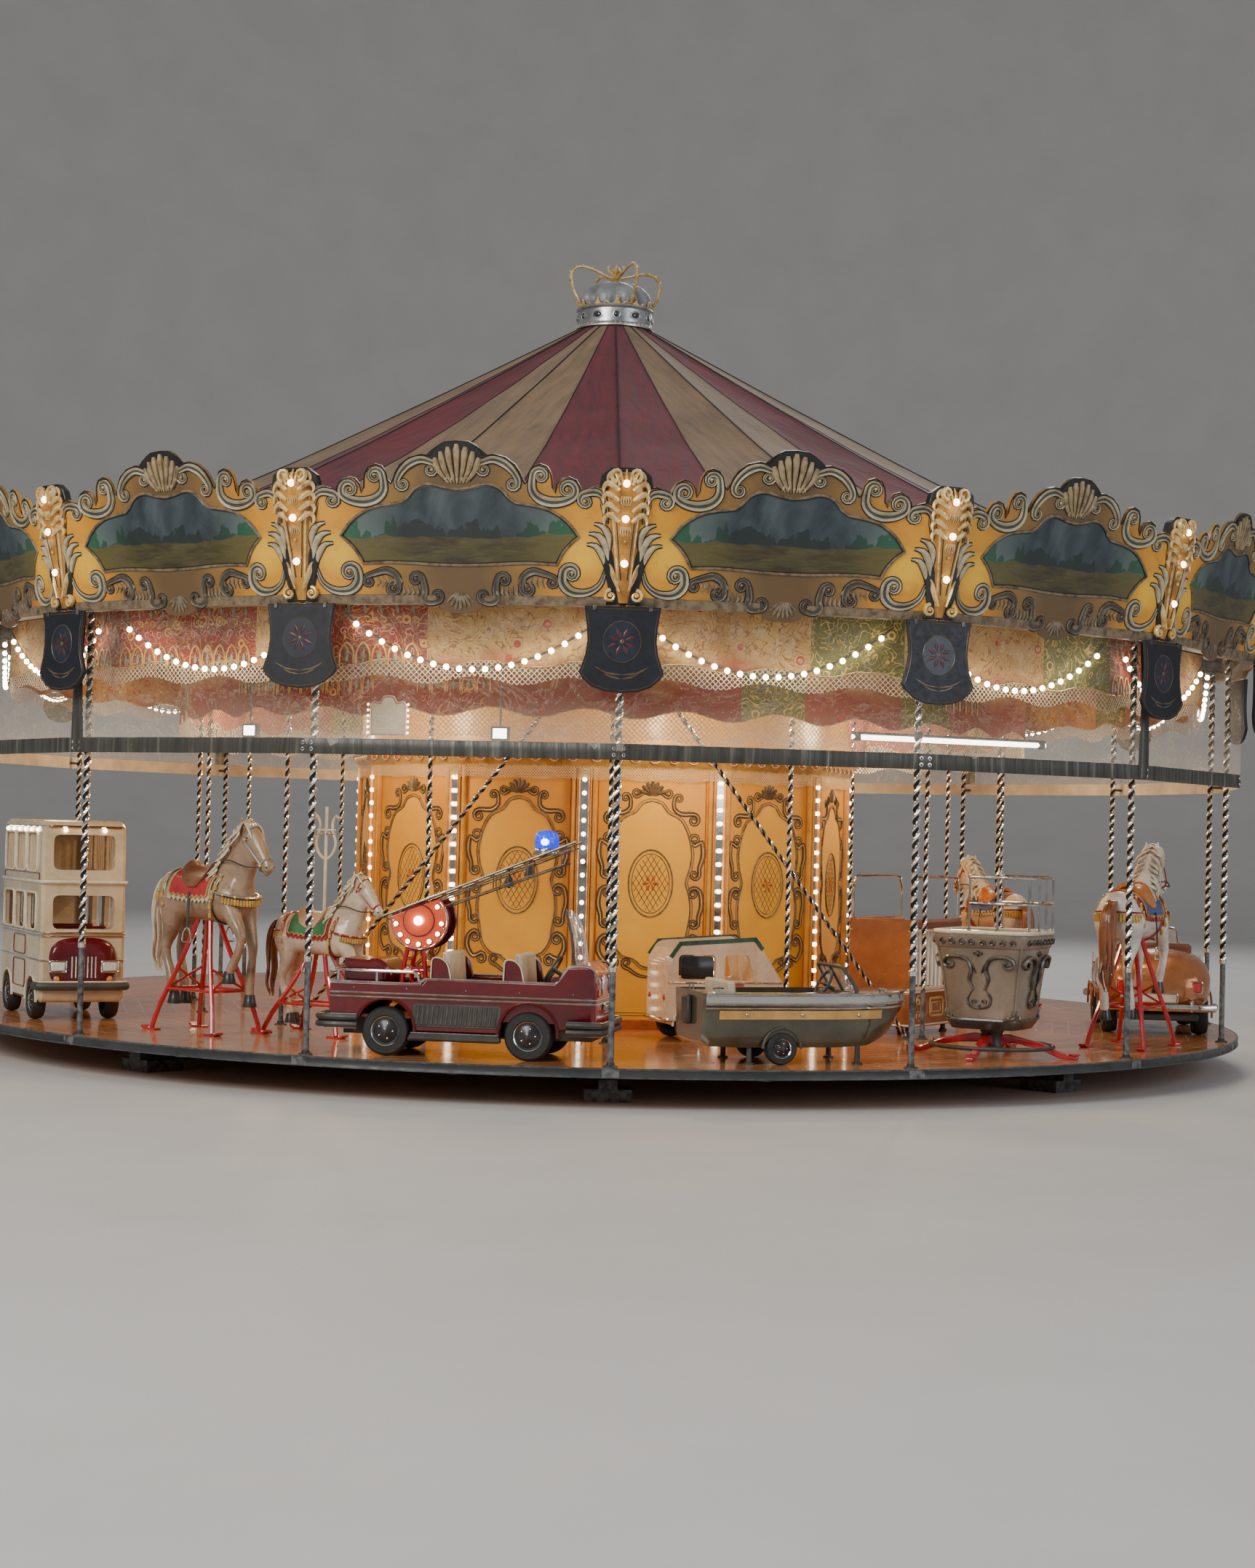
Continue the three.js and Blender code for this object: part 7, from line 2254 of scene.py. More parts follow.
def make_ladder(place):
    low = np.array((-0.595, 0.862))
    high = np.array((0.650, 1.369))
    rise = (high[1] - low[1]) / (high[0] - low[0])

    def height(x):
        return low[1] + (x - low[0]) * rise

    bars, rungs = [], []
    lower_start, lower_end = low[0] + 0.06, high[0] - 0.07
    for y in (-0.105, 0.105):
        bars.append(rod((low[0], y, low[1]), (high[0], y, high[1]), 0.0085, 8))
        bars.append(rod((low[0] + 0.03, y * 0.98, height(low[0] + 0.03) - 0.034),
            (high[0] - 0.02, y * 0.98, height(high[0] - 0.02) - 0.034), 0.0055, 6))
        bars.append(rod((lower_start, y, height(lower_start) - 0.078),
            (lower_end, y, height(lower_end) - 0.112), 0.0055, 6))
        for x in np.linspace(low[0] + 0.07, high[0] - 0.09, 6):
            drop = np.interp(x, [lower_start, lower_end], [0.078, 0.112])
            bars.append(rod((x, y, height(x)), (x, y, height(x) - drop), 0.0040, 6))
    for x in np.arange(low[0] + 0.05, high[0], 0.105):
        rungs.append(rod((x, -0.105, height(x)), (x, 0.105, height(x)), 0.0065, 6))
    legs = []
    for side in (-1, 1):
        for foot, middle, head in ((-0.449, -0.44, -0.405), (-0.287, -0.30, -0.325)):
            line = [(foot, side * 0.12, 0.405), (middle, side * 0.115, 0.55), (head, side * 0.10, 0.74)]
            legs.append(tube(smooth_path(line, 0.05), 0.016, 8))
        legs.append(rod((-0.445, side * 0.118, 0.53), (-0.30, side * 0.118, 0.53), 0.011, 8))
        legs.append(rod((-0.430, side * 0.108, 0.66), (-0.31, side * 0.108, 0.66), 0.010, 8))
        legs.append(block(-0.47, -0.27, side * 0.12 - 0.02, side * 0.12 + 0.02, 0.4006, 0.418, 0.004))
        loop = [(-0.36 + 0.035 * math.cos(a), side * 0.126, 0.50 + 0.048 * math.sin(a))
            for a in round_steps(18)]
        legs.append(tube(loop, 0.006, 6, True))
    for x, z in ((-0.445, 0.53), (-0.30, 0.53), (-0.42, 0.66), (-0.315, 0.66)):
        legs.append(rod((x, -0.118, z), (x, 0.118, z), 0.011, 8))
    centre = np.array((-0.346, 0.845))
    outline = np.array(arc(centre[0], centre[1], 0.190, math.radians(174), math.radians(408), 40))
    near = side_plate(outline, -0.122, -0.100, 0.006)
    far = side_plate(outline, 0.100, 0.122, 0.006)
    drum = side_plate(arc(centre[0], centre[1], 0.135, math.radians(150), math.radians(432), 30), -0.10, 0.10)
    ring_line = arc(centre[0], centre[1], 0.183, math.radians(176), math.radians(406), 40)
    rings = joined([tube([(x, y, z) for x, z in ring_line], 0.0045, 6) for y in (-0.124, 0.124)])
    inner_ring = arc(centre[0], centre[1], 0.10, 0, TURN, 30)[:-1]
    rings_in = flat_loop(inner_ring, 1, -0.124, 0.004, 6)
    loop = arc(centre[0], centre[1], 0.146, math.radians(160), math.radians(422), 34)
    hose = [tube([(x, -0.084 + 0.028 * k, z) for x, z in loop], 0.014, 7) for k in range(7)]
    lamps, sockets = [], []
    for degrees in (189, 218, 243, 271, 299, 327, 354, 37):
        angle = math.radians(degrees)
        spot = (centre[0] + 0.149 * math.cos(angle), -0.134, centre[1] + 0.149 * math.sin(angle))
        lamps.append(bulb(spot, 0.016))
        sockets.append(moved(lathe([(0.020, 0), (0.018, 0.006), (0.012, 0.009)], 12),
            shift(spot[0], -0.122, spot[2]) @ tilt("X", QUARTER)))
    white = ball((centre[0], -0.142, centre[1]), 0.030, 14, 8)
    rivets = [ball((centre[0] + 0.168 * math.cos(a), side * 0.1225, centre[1] + 0.168 * math.sin(a)), 0.005,
        6, 4) for a in np.radians(np.arange(180, 405, 15)) for side in (-1, 1)]
    beacon_x = 0.443
    beacon_z = height(beacon_x)
    deck = block(beacon_x - 0.072, beacon_x + 0.072, -0.108, 0.108, beacon_z - 0.002, beacon_z + 0.012, 0.004)
    on_deck = shift(beacon_x, 0, beacon_z + 0.012)
    base = moved(lathe([(AXIS, 0.0), (0.078, 0.0), (0.080, 0.012), (0.074, 0.024), (0.070, 0.026)], 28),
        on_deck)
    dome_profile = [(0.070, 0.024), (0.072, 0.05), (0.071, 0.09), (0.064, 0.115), (0.045, 0.132),
        (0.02, 0.139), (AXIS, 0.140)]
    dome = moved(lathe(dome_profile, 28), on_deck)
    flute = tube([(0, -r - 0.001, z) for r, z in dome_profile[:5]], 0.0035, 5)
    flutes = [moved(flute, on_deck @ about_z(TURN * k / 14)) for k in range(14)]
    glow_core = joined([ball((beacon_x, side * 0.052, beacon_z + 0.078), 0.030, 14, 8) for side in (-1, 1)])
    bells = []
    for x, z in ((0.334, 1.165), (0.204, 1.095)):
        bell = lathe([(AXIS, 0.05), (0.014, 0.048), (0.022, 0.03), (0.026, 0.01), (0.036, -0.012),
            (0.040, -0.02), (0.036, -0.02), (0.02, 0.02), (AXIS, 0.03)], 18)
        bells.append(moved(bell, shift(x, 0, z)))
        bells.append(rod((x, 0, z + 0.048), (x, 0, height(x)), 0.004, 6))
        bells.append(ball((x, 0, z - 0.022), 0.011, 8, 5))
        bells.append(rod((x, -0.105, height(x)), (x, 0.105, height(x)), 0.007, 6))
    parts = [(joined(bars), "ladder_metal"), (joined(rungs), "ladder_metal"), (joined(legs), "engine_red"),
        (near, "reel_orange"), (far, "maroon"), (drum, "maroon"), (joined(hose), "maroon"),
        (rings, "plated"), (rings_in, "maroon"), (joined(rivets), "plated"), (joined(lamps), "bulb"),
        (joined(sockets), "hem"), (white, "tube"), (deck, "plated"), (base, "plated"), (dome, "beacon_blue"),
        (joined(flutes), "beacon_blue"), (glow_core, "beacon_core"), (joined(bells), "hem")]
    piece("engine_ladder", all_moved(parts, place), ["fire_engine_ladder"])


# Tub of the gondola: how far its wall reaches at each height, and the form of its rounded square
GONDOLA_WALL = [(0.24, 0.302), (0.30, 0.315), (0.42, 0.329), (0.52, 0.343), (0.62, 0.362), (0.72, 0.386),
    (0.80, 0.412)]
TUB_NARROW = 0.835
TUB_POWER = 6.0


def squared(profile, steps=56):
    """A closed vessel of rounded-square section from a profile of (reach at a round section, height)."""
    angles = round_steps(steps)
    section = tub_section(angles)
    rows = [np.column_stack([reach * section * np.sin(angles), -reach * section * np.cos(angles),
        np.full(steps, height)]) for reach, height in profile]
    return skin(rows, False, True)


def tub_section(angles):
    """How far the rounded square reaches at each angle, against the round section."""
    whole = np.abs(np.cos(angles)) ** TUB_POWER + np.abs(np.sin(angles)) ** TUB_POWER
    return TUB_NARROW * whole ** (-1 / TUB_POWER)


# Spinning gondola
def make_gondola():
    place = ride_place(37, 4.320)
    legs = []
    for k in range(4):
        line = rounded([(0.0, 0.060), (0.05, 0.135), (0.11, 0.150), (0.34, 0.10), (0.50, 0.034),
            (0.590, 0.030), (0.590, 0.0), (0.47, 0.003), (0.33, 0.058), (0.12, 0.10), (0.06, 0.06)], 0.03)
        leg = moved(side_plate(line, -0.024, 0.024, 0.005), about_z(k * QUARTER + 0.5))
        legs.append(leg)
        toe = lathe([(AXIS, 0.012), (0.035, 0.010), (0.040, 0.0)], 14)
        legs.append(moved(toe, about_z(k * QUARTER + 0.5) @ shift(0.565, 0, 0.0303)))
    hoop = tube([(0.41 * math.cos(a), 0.41 * math.sin(a), 0.070) for a in round_steps(48)], 0.015, 8, True)
    post = lathe([(AXIS, 0.05), (0.078, 0.05), (0.082, 0.07), (0.075, 0.085), (0.072, 0.150), (0.080, 0.165),
        (0.078, 0.1845), (AXIS, 0.1845)], 24)
    bolts = [ball((0.41 * math.cos(a), 0.41 * math.sin(a), 0.086), 0.010, 6, 4)
        for a in np.arange(4) * QUARTER + 0.5]
    piece("gondola_spider", all_moved([(joined(legs), "engine_red"), (hoop, "hem"), (post, "hem"),
        (joined(bolts), "plated")], place), ["gondola_base"])
    turned = place @ about_z(math.radians(24))
    wall = squared([(AXIS, 0.185), (0.266, 0.185), (0.282, 0.195), (0.302, 0.240), (0.314, 0.300),
        (0.328, 0.42), (0.342, 0.52), (0.361, 0.62), (0.386, 0.72), (0.406, 0.800), (0.412, 0.822),
        (0.408, 0.834), (0.396, 0.836), (0.386, 0.826), (0.370, 0.76), (0.340, 0.62), (0.318, 0.50),
        (0.292, 0.30), (0.280, 0.216), (AXIS, 0.214)])
    lip = squared([(0.414, 0.822), (0.420, 0.832), (0.414, 0.845), (0.398, 0.848), (0.388, 0.840),
        (0.392, 0.828)])
    frieze_band = squared([(0.388, 0.726), (0.393, 0.730), (0.3975, 0.735), (0.4155, 0.806), (0.4145, 0.812),
        (0.410, 0.814)])
    foot = squared([(0.276, 0.186), (0.310, 0.230), (0.316, 0.246), (0.312, 0.258), (0.305, 0.262)])
    bench = lathe([(0.19, 0.500), (0.283, 0.500), (0.283, 0.535), (0.272, 0.548), (0.21, 0.548),
        (0.19, 0.535), (0.19, 0.500)], 24)
    corners = []
    for k in range(4):
        corner_turn = about_z(math.pi / 4 + k * QUARTER)
        reach = float(tub_section(math.pi / 4))
        strap = tube([(0, -r * reach - 0.002, z) for r, z in ((0.308, 0.26), (0.329, 0.42), (0.343, 0.52),
            (0.362, 0.62), (0.387, 0.72), (0.405, 0.79))], 0.007, 6)
        corners.append(moved(strap, corner_turn))
    rails = []
    ring = 0.402
    spots = np.linspace(math.radians(-100), math.radians(100), 60)
    section = tub_section(spots)
    for z in (1.025, 1.200):
        path = np.column_stack([ring * section * np.sin(spots), -ring * section * np.cos(spots),
            np.full(60, z)])
        rails.append(tube(path, 0.011, 8))
    for degrees in (-100, -68, -38, -13, 13, 38, 68, 100):
        angle = math.radians(degrees)
        reach = ring * float(tub_section(angle))
        x, y, _ = polar(reach, angle, 0)
        rails.append(rod((x, y, 0.84), (x, y, 1.2), 0.0085, 8))
        rails.append(ball((x, y, 0.85), 0.016, 8, 6, 0.6))
    for spot in (0, -1):
        reach = ring * section[spot]
        rails.append(ball(polar(reach, spots[spot], 1.203), 0.016, 8, 6))
    wheel_ring = tube([(0.15 * math.cos(a), 0.15 * math.sin(a), 0.72) for a in round_steps(32)], 0.012, 7,
        True)
    column = lathe([(AXIS, 0.215), (0.05, 0.215), (0.03, 0.26), (0.025, 0.68), (0.04, 0.72), (AXIS, 0.73)],
        16)
    piece("gondola_body", all_moved([(wall, "gondola_taupe"), (frieze_band, "gondola_taupe"),
        (foot, "gondola_dark"), (lip, "cream_trim"), (bench, "roll_brown"),
        (joined(corners), "gondola_taupe"), (gondola_ornament(), "gondola_dark"), (joined(rails), "plated"),
        (wheel_ring, "plated"), (column, "hem")], turned), ["gondola_tub"], "gondola", 30)


def on_gondola(path, lift):
    """A flat path laid on the side of the tub that faces -y."""
    heights, radii = zip(*GONDOLA_WALL)
    across = path[:, 0] * 1.32
    half = np.interp(path[:, 1], heights, radii) * TUB_NARROW
    out = (half ** TUB_POWER - np.abs(across) ** TUB_POWER) ** (1 / TUB_POWER) + lift
    return np.column_stack([across, -out, path[:, 1]])


def gondola_ornament():
    """Ram-horn scrolls, pear loops, a lozenge, a frieze of curls and corner leaves, on each side."""
    strokes = []
    for side in (-1, 1):
        mirror = np.array((side, 1.0))
        horn = np.vstack([[(0.030, 0.452), (0.052, 0.520), (0.040, 0.590), (0.062, 0.652), (0.110, 0.672)],
            curl((0.150, 0.628), 0.040, 1.35, -1.0)])
        strokes.append((smooth_path(horn, 0.016) * mirror, 0.0200))
        inner = [(0.016, 0.560), (0.030, 0.612), (0.044, 0.640)]
        strokes.append((smooth_path(inner, 0.012) * mirror, 0.0085))
        pear = [(0.0, 0.325), (0.046, 0.340), (0.062, 0.392), (0.036, 0.450)]
        strokes.append((smooth_path(pear, 0.016) * mirror, 0.0125))
        strokes.append((curl((0.024, 0.372), 0.018, -1.2, 1.1) * mirror, 0.0070))
        for centre in (0.026, 0.078, 0.130, 0.182):
            strokes.append((curl((centre, 0.771), 0.020, QUARTER, -1.2) * mirror, 0.0085))
        for start, top in (((0.150, 0.255), (0.186, 0.318)), ((0.172, 0.250), (0.212, 0.352)),
                ((0.120, 0.250), (0.150, 0.284))):
            leaf = [start, ((start[0] + top[0]) / 2 + 0.010, (start[1] + top[1]) / 2 - 0.010), top]
            strokes.append((smooth_path(leaf, 0.014) * mirror, 0.0150))
    strokes.append((smooth_path([(0.0, 0.712), (0.026, 0.694), (0.0, 0.676), (-0.026, 0.694), (0.0, 0.712)],
        0.03), 0.0080))
    made = []
    for path, width in strokes:
        spots = np.linspace(0, 1, len(path))
        widths = 1.45 * width * np.interp(spots, [0, 0.2, 0.75, 1], [0.55, 1, 0.95, 0.45])
        lift = np.where(path[:, 1] > 0.74, 0.006, 0.001)
        made.append(tube(on_gondola(path, lift), widths, 8, flat=0.5))
    beads = on_gondola(np.array([(0.0, 0.694), (0.0, 0.345)]), 0.004)
    made.extend(ball(spot, 0.011, 8, 5) for spot in beads)
    return around(joined(made), 4)


# Motor boat
def boat_parts():
    stations = [(-0.700, 0.270, 0.448, 0.150, 0.235), (-0.690, 0.300, 0.450, 0.118, 0.262),
        (-0.45, 0.309, 0.450, 0.110, 0.268), (0.20, 0.309, 0.452, 0.110, 0.268),
        (0.42, 0.300, 0.456, 0.122, 0.25), (0.56, 0.268, 0.461, 0.19, 0.20),
        (0.66, 0.205, 0.466, 0.275, 0.13), (0.715, 0.130, 0.469, 0.345, 0.07),
        (0.738, 0.04, 0.470, 0.40, 0.02)]
    xs = np.linspace(-0.700, 0.738, 34)
    columns = list(zip(*stations))

    def section(x):
        return [np.interp(x, columns[0], columns[i]) for i in range(1, 5)]

    rows = []
    for x in xs:
        half, top, bottom, keel = section(x)
        band = top - 0.062
        right = [(half - 0.03, top + 0.004), (half, top), (half + 0.003, top - 0.015), (half - 0.002, band),
            (half - 0.010, band - 0.010), (half - 0.012, (band + bottom) / 2),
            (half * 0.55 + keel * 0.45, bottom + 0.05), (keel, bottom), (keel * 0.5, bottom - 0.004)]
        ring = [(x, -y, z) for y, z in right] + [(x, y, z) for y, z in reversed(right)]
        rows.append(ring)
    hull = capped(skin(rows, False, True), len(rows[0]), len(rows))
    well = side_plate(rounded([(-0.53, 0.205), (0.32, 0.205), (0.30, 0.70), (-0.55, 0.70)], 0.03), -0.248,
        0.248, 0.02)
    shell = carved(hull, [well])
    bands, strakes = [], []

    def along_hull(level, grow, x0=-0.69, x1=0.72, count=30):
        path = []
        for x in np.linspace(x0, x1, count):
            half, top = section(x)[:2]
            path.append((x, -(half + grow), top - level))
        return path

    for level, grow, radius in ((0.008, 0.003, 0.010), (0.070, -0.002, 0.0085), (0.096, -0.006, 0.0085)):
        strakes.append(both(tube(along_hull(level, grow), radius, 7)))
    silver = [along_hull(level, 0.0035) for level in (0.014, 0.038, 0.062)]
    bands.append((both(skin(silver)), "boat_silver"))
    ochre = [along_hull(level, -0.0035 - 0.004 * (level > 0.13), -0.60, 0.50)
        for level in (0.108, 0.135, 0.163)]
    bands.append((both(skin(ochre)), "ochre_band"))
    rivets = [ball((x, side * 0.306, 0.318), 0.011, 10, 6) for x in (-0.42, -0.05, 0.33) for side in (-1, 1)]
    posts = []
    for x in (-0.38, 0.35):
        for side in (-1, 1):
            posts.append(moved(lathe([(AXIS, 0.0), (0.034, 0.0), (0.034, 0.010), (0.018, 0.018),
                (0.016, 0.12), (0.024, 0.140)], 16), shift(x, side * 0.245, 0)))
    parts = [(shell, "boat_paint"), *bands, (joined(strakes), "plated"), (joined(rivets), "plated"),
        (joined(posts), "hem")]
    for side in (-1, 1):
        parts += ride_wheel(-0.18, side * 0.268, 0.105, 0.105, 0.07)
    guard = arc(-0.18, 0.105, 0.128, math.pi, 0, 14)
    parts.append((side_line(guard, -0.300, 0.010, 6), "hem"))
    cushion = panel_box(-0.46, -0.16, -0.235, 0.235, 0.205, 0.345, 0.03, 0.02)
    rest = side_plate(rounded([(-0.50, 0.24), (-0.45, 0.24), (-0.475, 0.52), (-0.525, 0.52)], 0.02), -0.235,
        0.235, 0.016)
    parts.append((joined([cushion, rest]), "seat_cream"))
    dash = side_plate(rounded([(0.24, 0.40), (0.335, 0.40), (0.335, 0.455), (0.27, 0.455)], 0.012), -0.246,
        0.246, 0.008)
    parts.append((dash, "hem"))
    frame_path = [(0.345, -0.243, 0.452), (0.325, -0.235, 0.50), (0.255, -0.215, 0.610),
        (0.245, -0.19, 0.618), (0.245, 0.19, 0.618), (0.255, 0.215, 0.610), (0.325, 0.235, 0.50),
        (0.345, 0.243, 0.452)]
    frame_tube = joined([tube(frame_path, 0.012, 8), rod((0.345, 0, 0.452), (0.245, 0, 0.618), 0.010, 8)])
    white_line = tube([(x + 0.012, y * 0.96, z) for x, y, z in frame_path], 0.005, 6)
    glass = skin([[(x, y * share, z) for y in (-0.24, -0.08, 0.08, 0.24)]
        for x, share, z in ((0.345, 1.0, 0.455), (0.30, 0.96, 0.535), (0.248, 0.86, 0.614))])
    parts += [(frame_tube, "hem"), (white_line, "cream_trim"), (glass, "screen_glass")]
    for y in (-0.262, 0.262):
        for x in (-0.60, 0.50):
            horns = tube([(x - 0.035, y, 0.478), (x - 0.012, y, 0.482), (x + 0.012, y, 0.482),
                (x + 0.035, y, 0.478)], 0.007, 7)
            feet = [rod((x + foot, y, 0.445), (x + foot, y, 0.480), 0.006, 6) for foot in (-0.012, 0.012)]
            parts.append((joined([horns, *feet]), "plated"))
    steering = steering_wheel(0.09, 26, 0.0095, 0.085, 0.007, 0.08, 0.013)
    parts.append((moved(steering, shift(0.20, -0.02, 0.50) @ tilt("Y", 0.5)), "hem"))
    parts += lamp((0.732, 0, 0.43), 0.020, 1.2, 1.0)
    parts.append((block(-0.735, -0.698, -0.06, 0.06, 0.24, 0.42, 0.012), "hem"))
    return parts


# Open sports car
def car_parts():
    stations = [(-0.905, 0.0, 0.345, 0.12, 0.05), (-0.88, 0.0, 0.35, 0.25, 0.11),
        (-0.80, 0.0, 0.37, 0.36, 0.19), (-0.66, 0.0, 0.385, 0.405, 0.245), (-0.45, 0.0, 0.39, 0.418, 0.265),
        (-0.10, 0.0, 0.385, 0.415, 0.250), (0.25, 0.0, 0.38, 0.415, 0.250), (0.48, 0.0, 0.37, 0.412, 0.240),
        (0.68, 0.0, 0.35, 0.395, 0.215), (0.80, 0.0, 0.32, 0.35, 0.17), (0.86, 0.0, 0.30, 0.27, 0.115),
        (0.885, 0.0, 0.29, 0.14, 0.05)]
    smooth = smooth_path([np.array(s) for s in stations], 0.09)
    body = loft([tuple(s) for s in smooth], 30, 2.7)
    arches = [side_plate(arc(x, 0.15, 0.185, 0, TURN, 26)[:-1], y0, y1) for x in (-0.52, 0.52)
        for y0, y1 in ((-0.6, -0.24), (0.24, 0.6))]
    well = side_plate(rounded([(-0.44, 0.25), (0.25, 0.25), (0.30, 0.9), (-0.50, 0.9)], 0.05), -0.30, 0.30,
        0.03)
    shell = carved(body, [well, block(-1.1, 1.1, -0.7, 0.7, -0.2, 0.165, 0.0), *arches])
    parts = [(shell, "copper_paint")]
    parts += wheels_and_arches((-0.52, 0.52), 0.34, 0.150, 0.11, -0.414, (0.15, 0.187, 0.05, 16, 0.009),
        "copper_paint")
    parts.append((block(-0.86, 0.82, -0.30, 0.30, 0.12, 0.172, 0.01), "hem"))
    seat = side_plate(rounded([(-0.43, 0.252), (-0.10, 0.252), (-0.09, 0.36), (-0.29, 0.385), (-0.385, 0.69),
        (-0.44, 0.69)], 0.04), -0.285, 0.285, 0.025)
    parts.append((seat, "roll_brown"))
    welts = [side_line([(-0.105, 0.362), (-0.28, 0.39), (-0.31, 0.47), (-0.385, 0.695)], y, 0.006, 5)
        for y in (0.095, 0.19)]
    parts.append((joined(welts), "roll_brown"))
    width = 0.425
    for end in (-1, 1):
        x = end * 0.895
        guard_x = x + end * 0.005
        path = [(x - end * 0.16, -width - 0.005, 0.225), (x - end * 0.03, -width + 0.01, 0.222),
            (x, -width * 0.8, 0.220), (x + end * 0.012, 0, 0.220), (x, width * 0.8, 0.220),
            (x - end * 0.03, width - 0.01, 0.222), (x - end * 0.16, width + 0.005, 0.225)]
        curve = smooth_path(path, 0.06)
        parts.append((tube(curve, 0.024, 9, flat=1.25), "plated"))
        for y in (-0.24, 0.24):
            guard = block(guard_x - 0.022, guard_x + 0.022, y - 0.016, y + 0.016, 0.185, 0.285, 0.012)
            parts.append((joined([guard, rod((x, y, 0.22), (x - end * 0.10, y, 0.22), 0.014, 8)]), "plated"))
    for y in (-0.27, 0.27):
        parts.append((block(-0.878, -0.835, y - 0.045, y + 0.045, 0.335, 0.415, 0.012), "lamp_red"))
        edge = round_rect(y - 0.05, y + 0.05, 0.33, 0.42, 0.015)
        parts.append((flat_loop(edge, 0, -0.872, 0.006, 6), "plated"))
        parts += lamp((0.815, y, 0.375), 0.062)
        parts += lamp((0.862, y * 0.75, 0.285), 0.026, colour="lamp_orange")
    cap = moved(lathe([(AXIS, 0.012), (0.03, 0.012), (0.036, 0.016), (0.052, 0.010), (0.056, 0.0)], 22),
        shift(-0.800, 0, 0.520) @ tilt("Y", -1.05))
    parts.append((cap, "plated"))
    parts.append((block(-0.915, -0.905, -0.13, 0.13, 0.262, 0.322, 0.006), "cream_trim"))
    plate_edge = round_rect(-0.135, 0.135, 0.258, 0.326, 0.012)
    parts.append((flat_loop(plate_edge, 0, -0.913, 0.005, 6), "plated"))
    grille = [rod((0.882 - 0.05 * (k / 7) ** 2, 0.018 * k * s, 0.245),
        (0.872 - 0.05 * (k / 7) ** 2, 0.018 * k * s, 0.325), 0.005, 6) for k in range(8) for s in (-1, 1)]
    parts.append((joined(grille), "plated"))
    rim = [(0.305, -0.262, 0.60), (0.292, -0.260, 0.64), (0.222, -0.235, 0.775), (0.205, -0.20, 0.79),
        (0.205, 0.20, 0.79), (0.222, 0.235, 0.775), (0.292, 0.260, 0.64), (0.305, 0.262, 0.60)]
    parts.append((tube(smooth_path(rim, 0.05), 0.010, 8), "plated"))
    glass = skin([[(x + 0.03 * (1 - (y / 0.26) ** 2), y * share, z) for y in np.linspace(-0.258, 0.258, 9)]
        for x, z, share in ((0.302, 0.605, 1.0), (0.27, 0.68, 0.97), (0.21, 0.785, 0.85))])
    parts.append((glass, "screen_glass"))
    trims = [side_line([(-0.34, 0.335), (0.0, 0.339), (0.34, 0.335)], -0.421, 0.007),
        side_line([(-0.10, 0.24), (-0.105, 0.42), (-0.09, 0.58)], -0.419, 0.003, 5),
        side_line([(0.19, 0.24), (0.20, 0.42), (0.185, 0.58)], -0.419, 0.003, 5)]
    parts.append((joined(trims), "plated"))
    handle = both(tube(smooth_path([(-0.05, -0.417, 0.505), (-0.045, -0.435, 0.508), (0.025, -0.435, 0.508),
        (0.03, -0.417, 0.505)], 0.02), 0.006, 6))
    parts.append((handle, "plated"))
    steering = steering_wheel(0.115, 28, 0.011, 0.11, 0.008, 0.14, 0.015)
    parts.append((moved(steering, shift(0.10, -0.02, 0.60) @ tilt("Y", 0.5)), "hem"))
    return parts


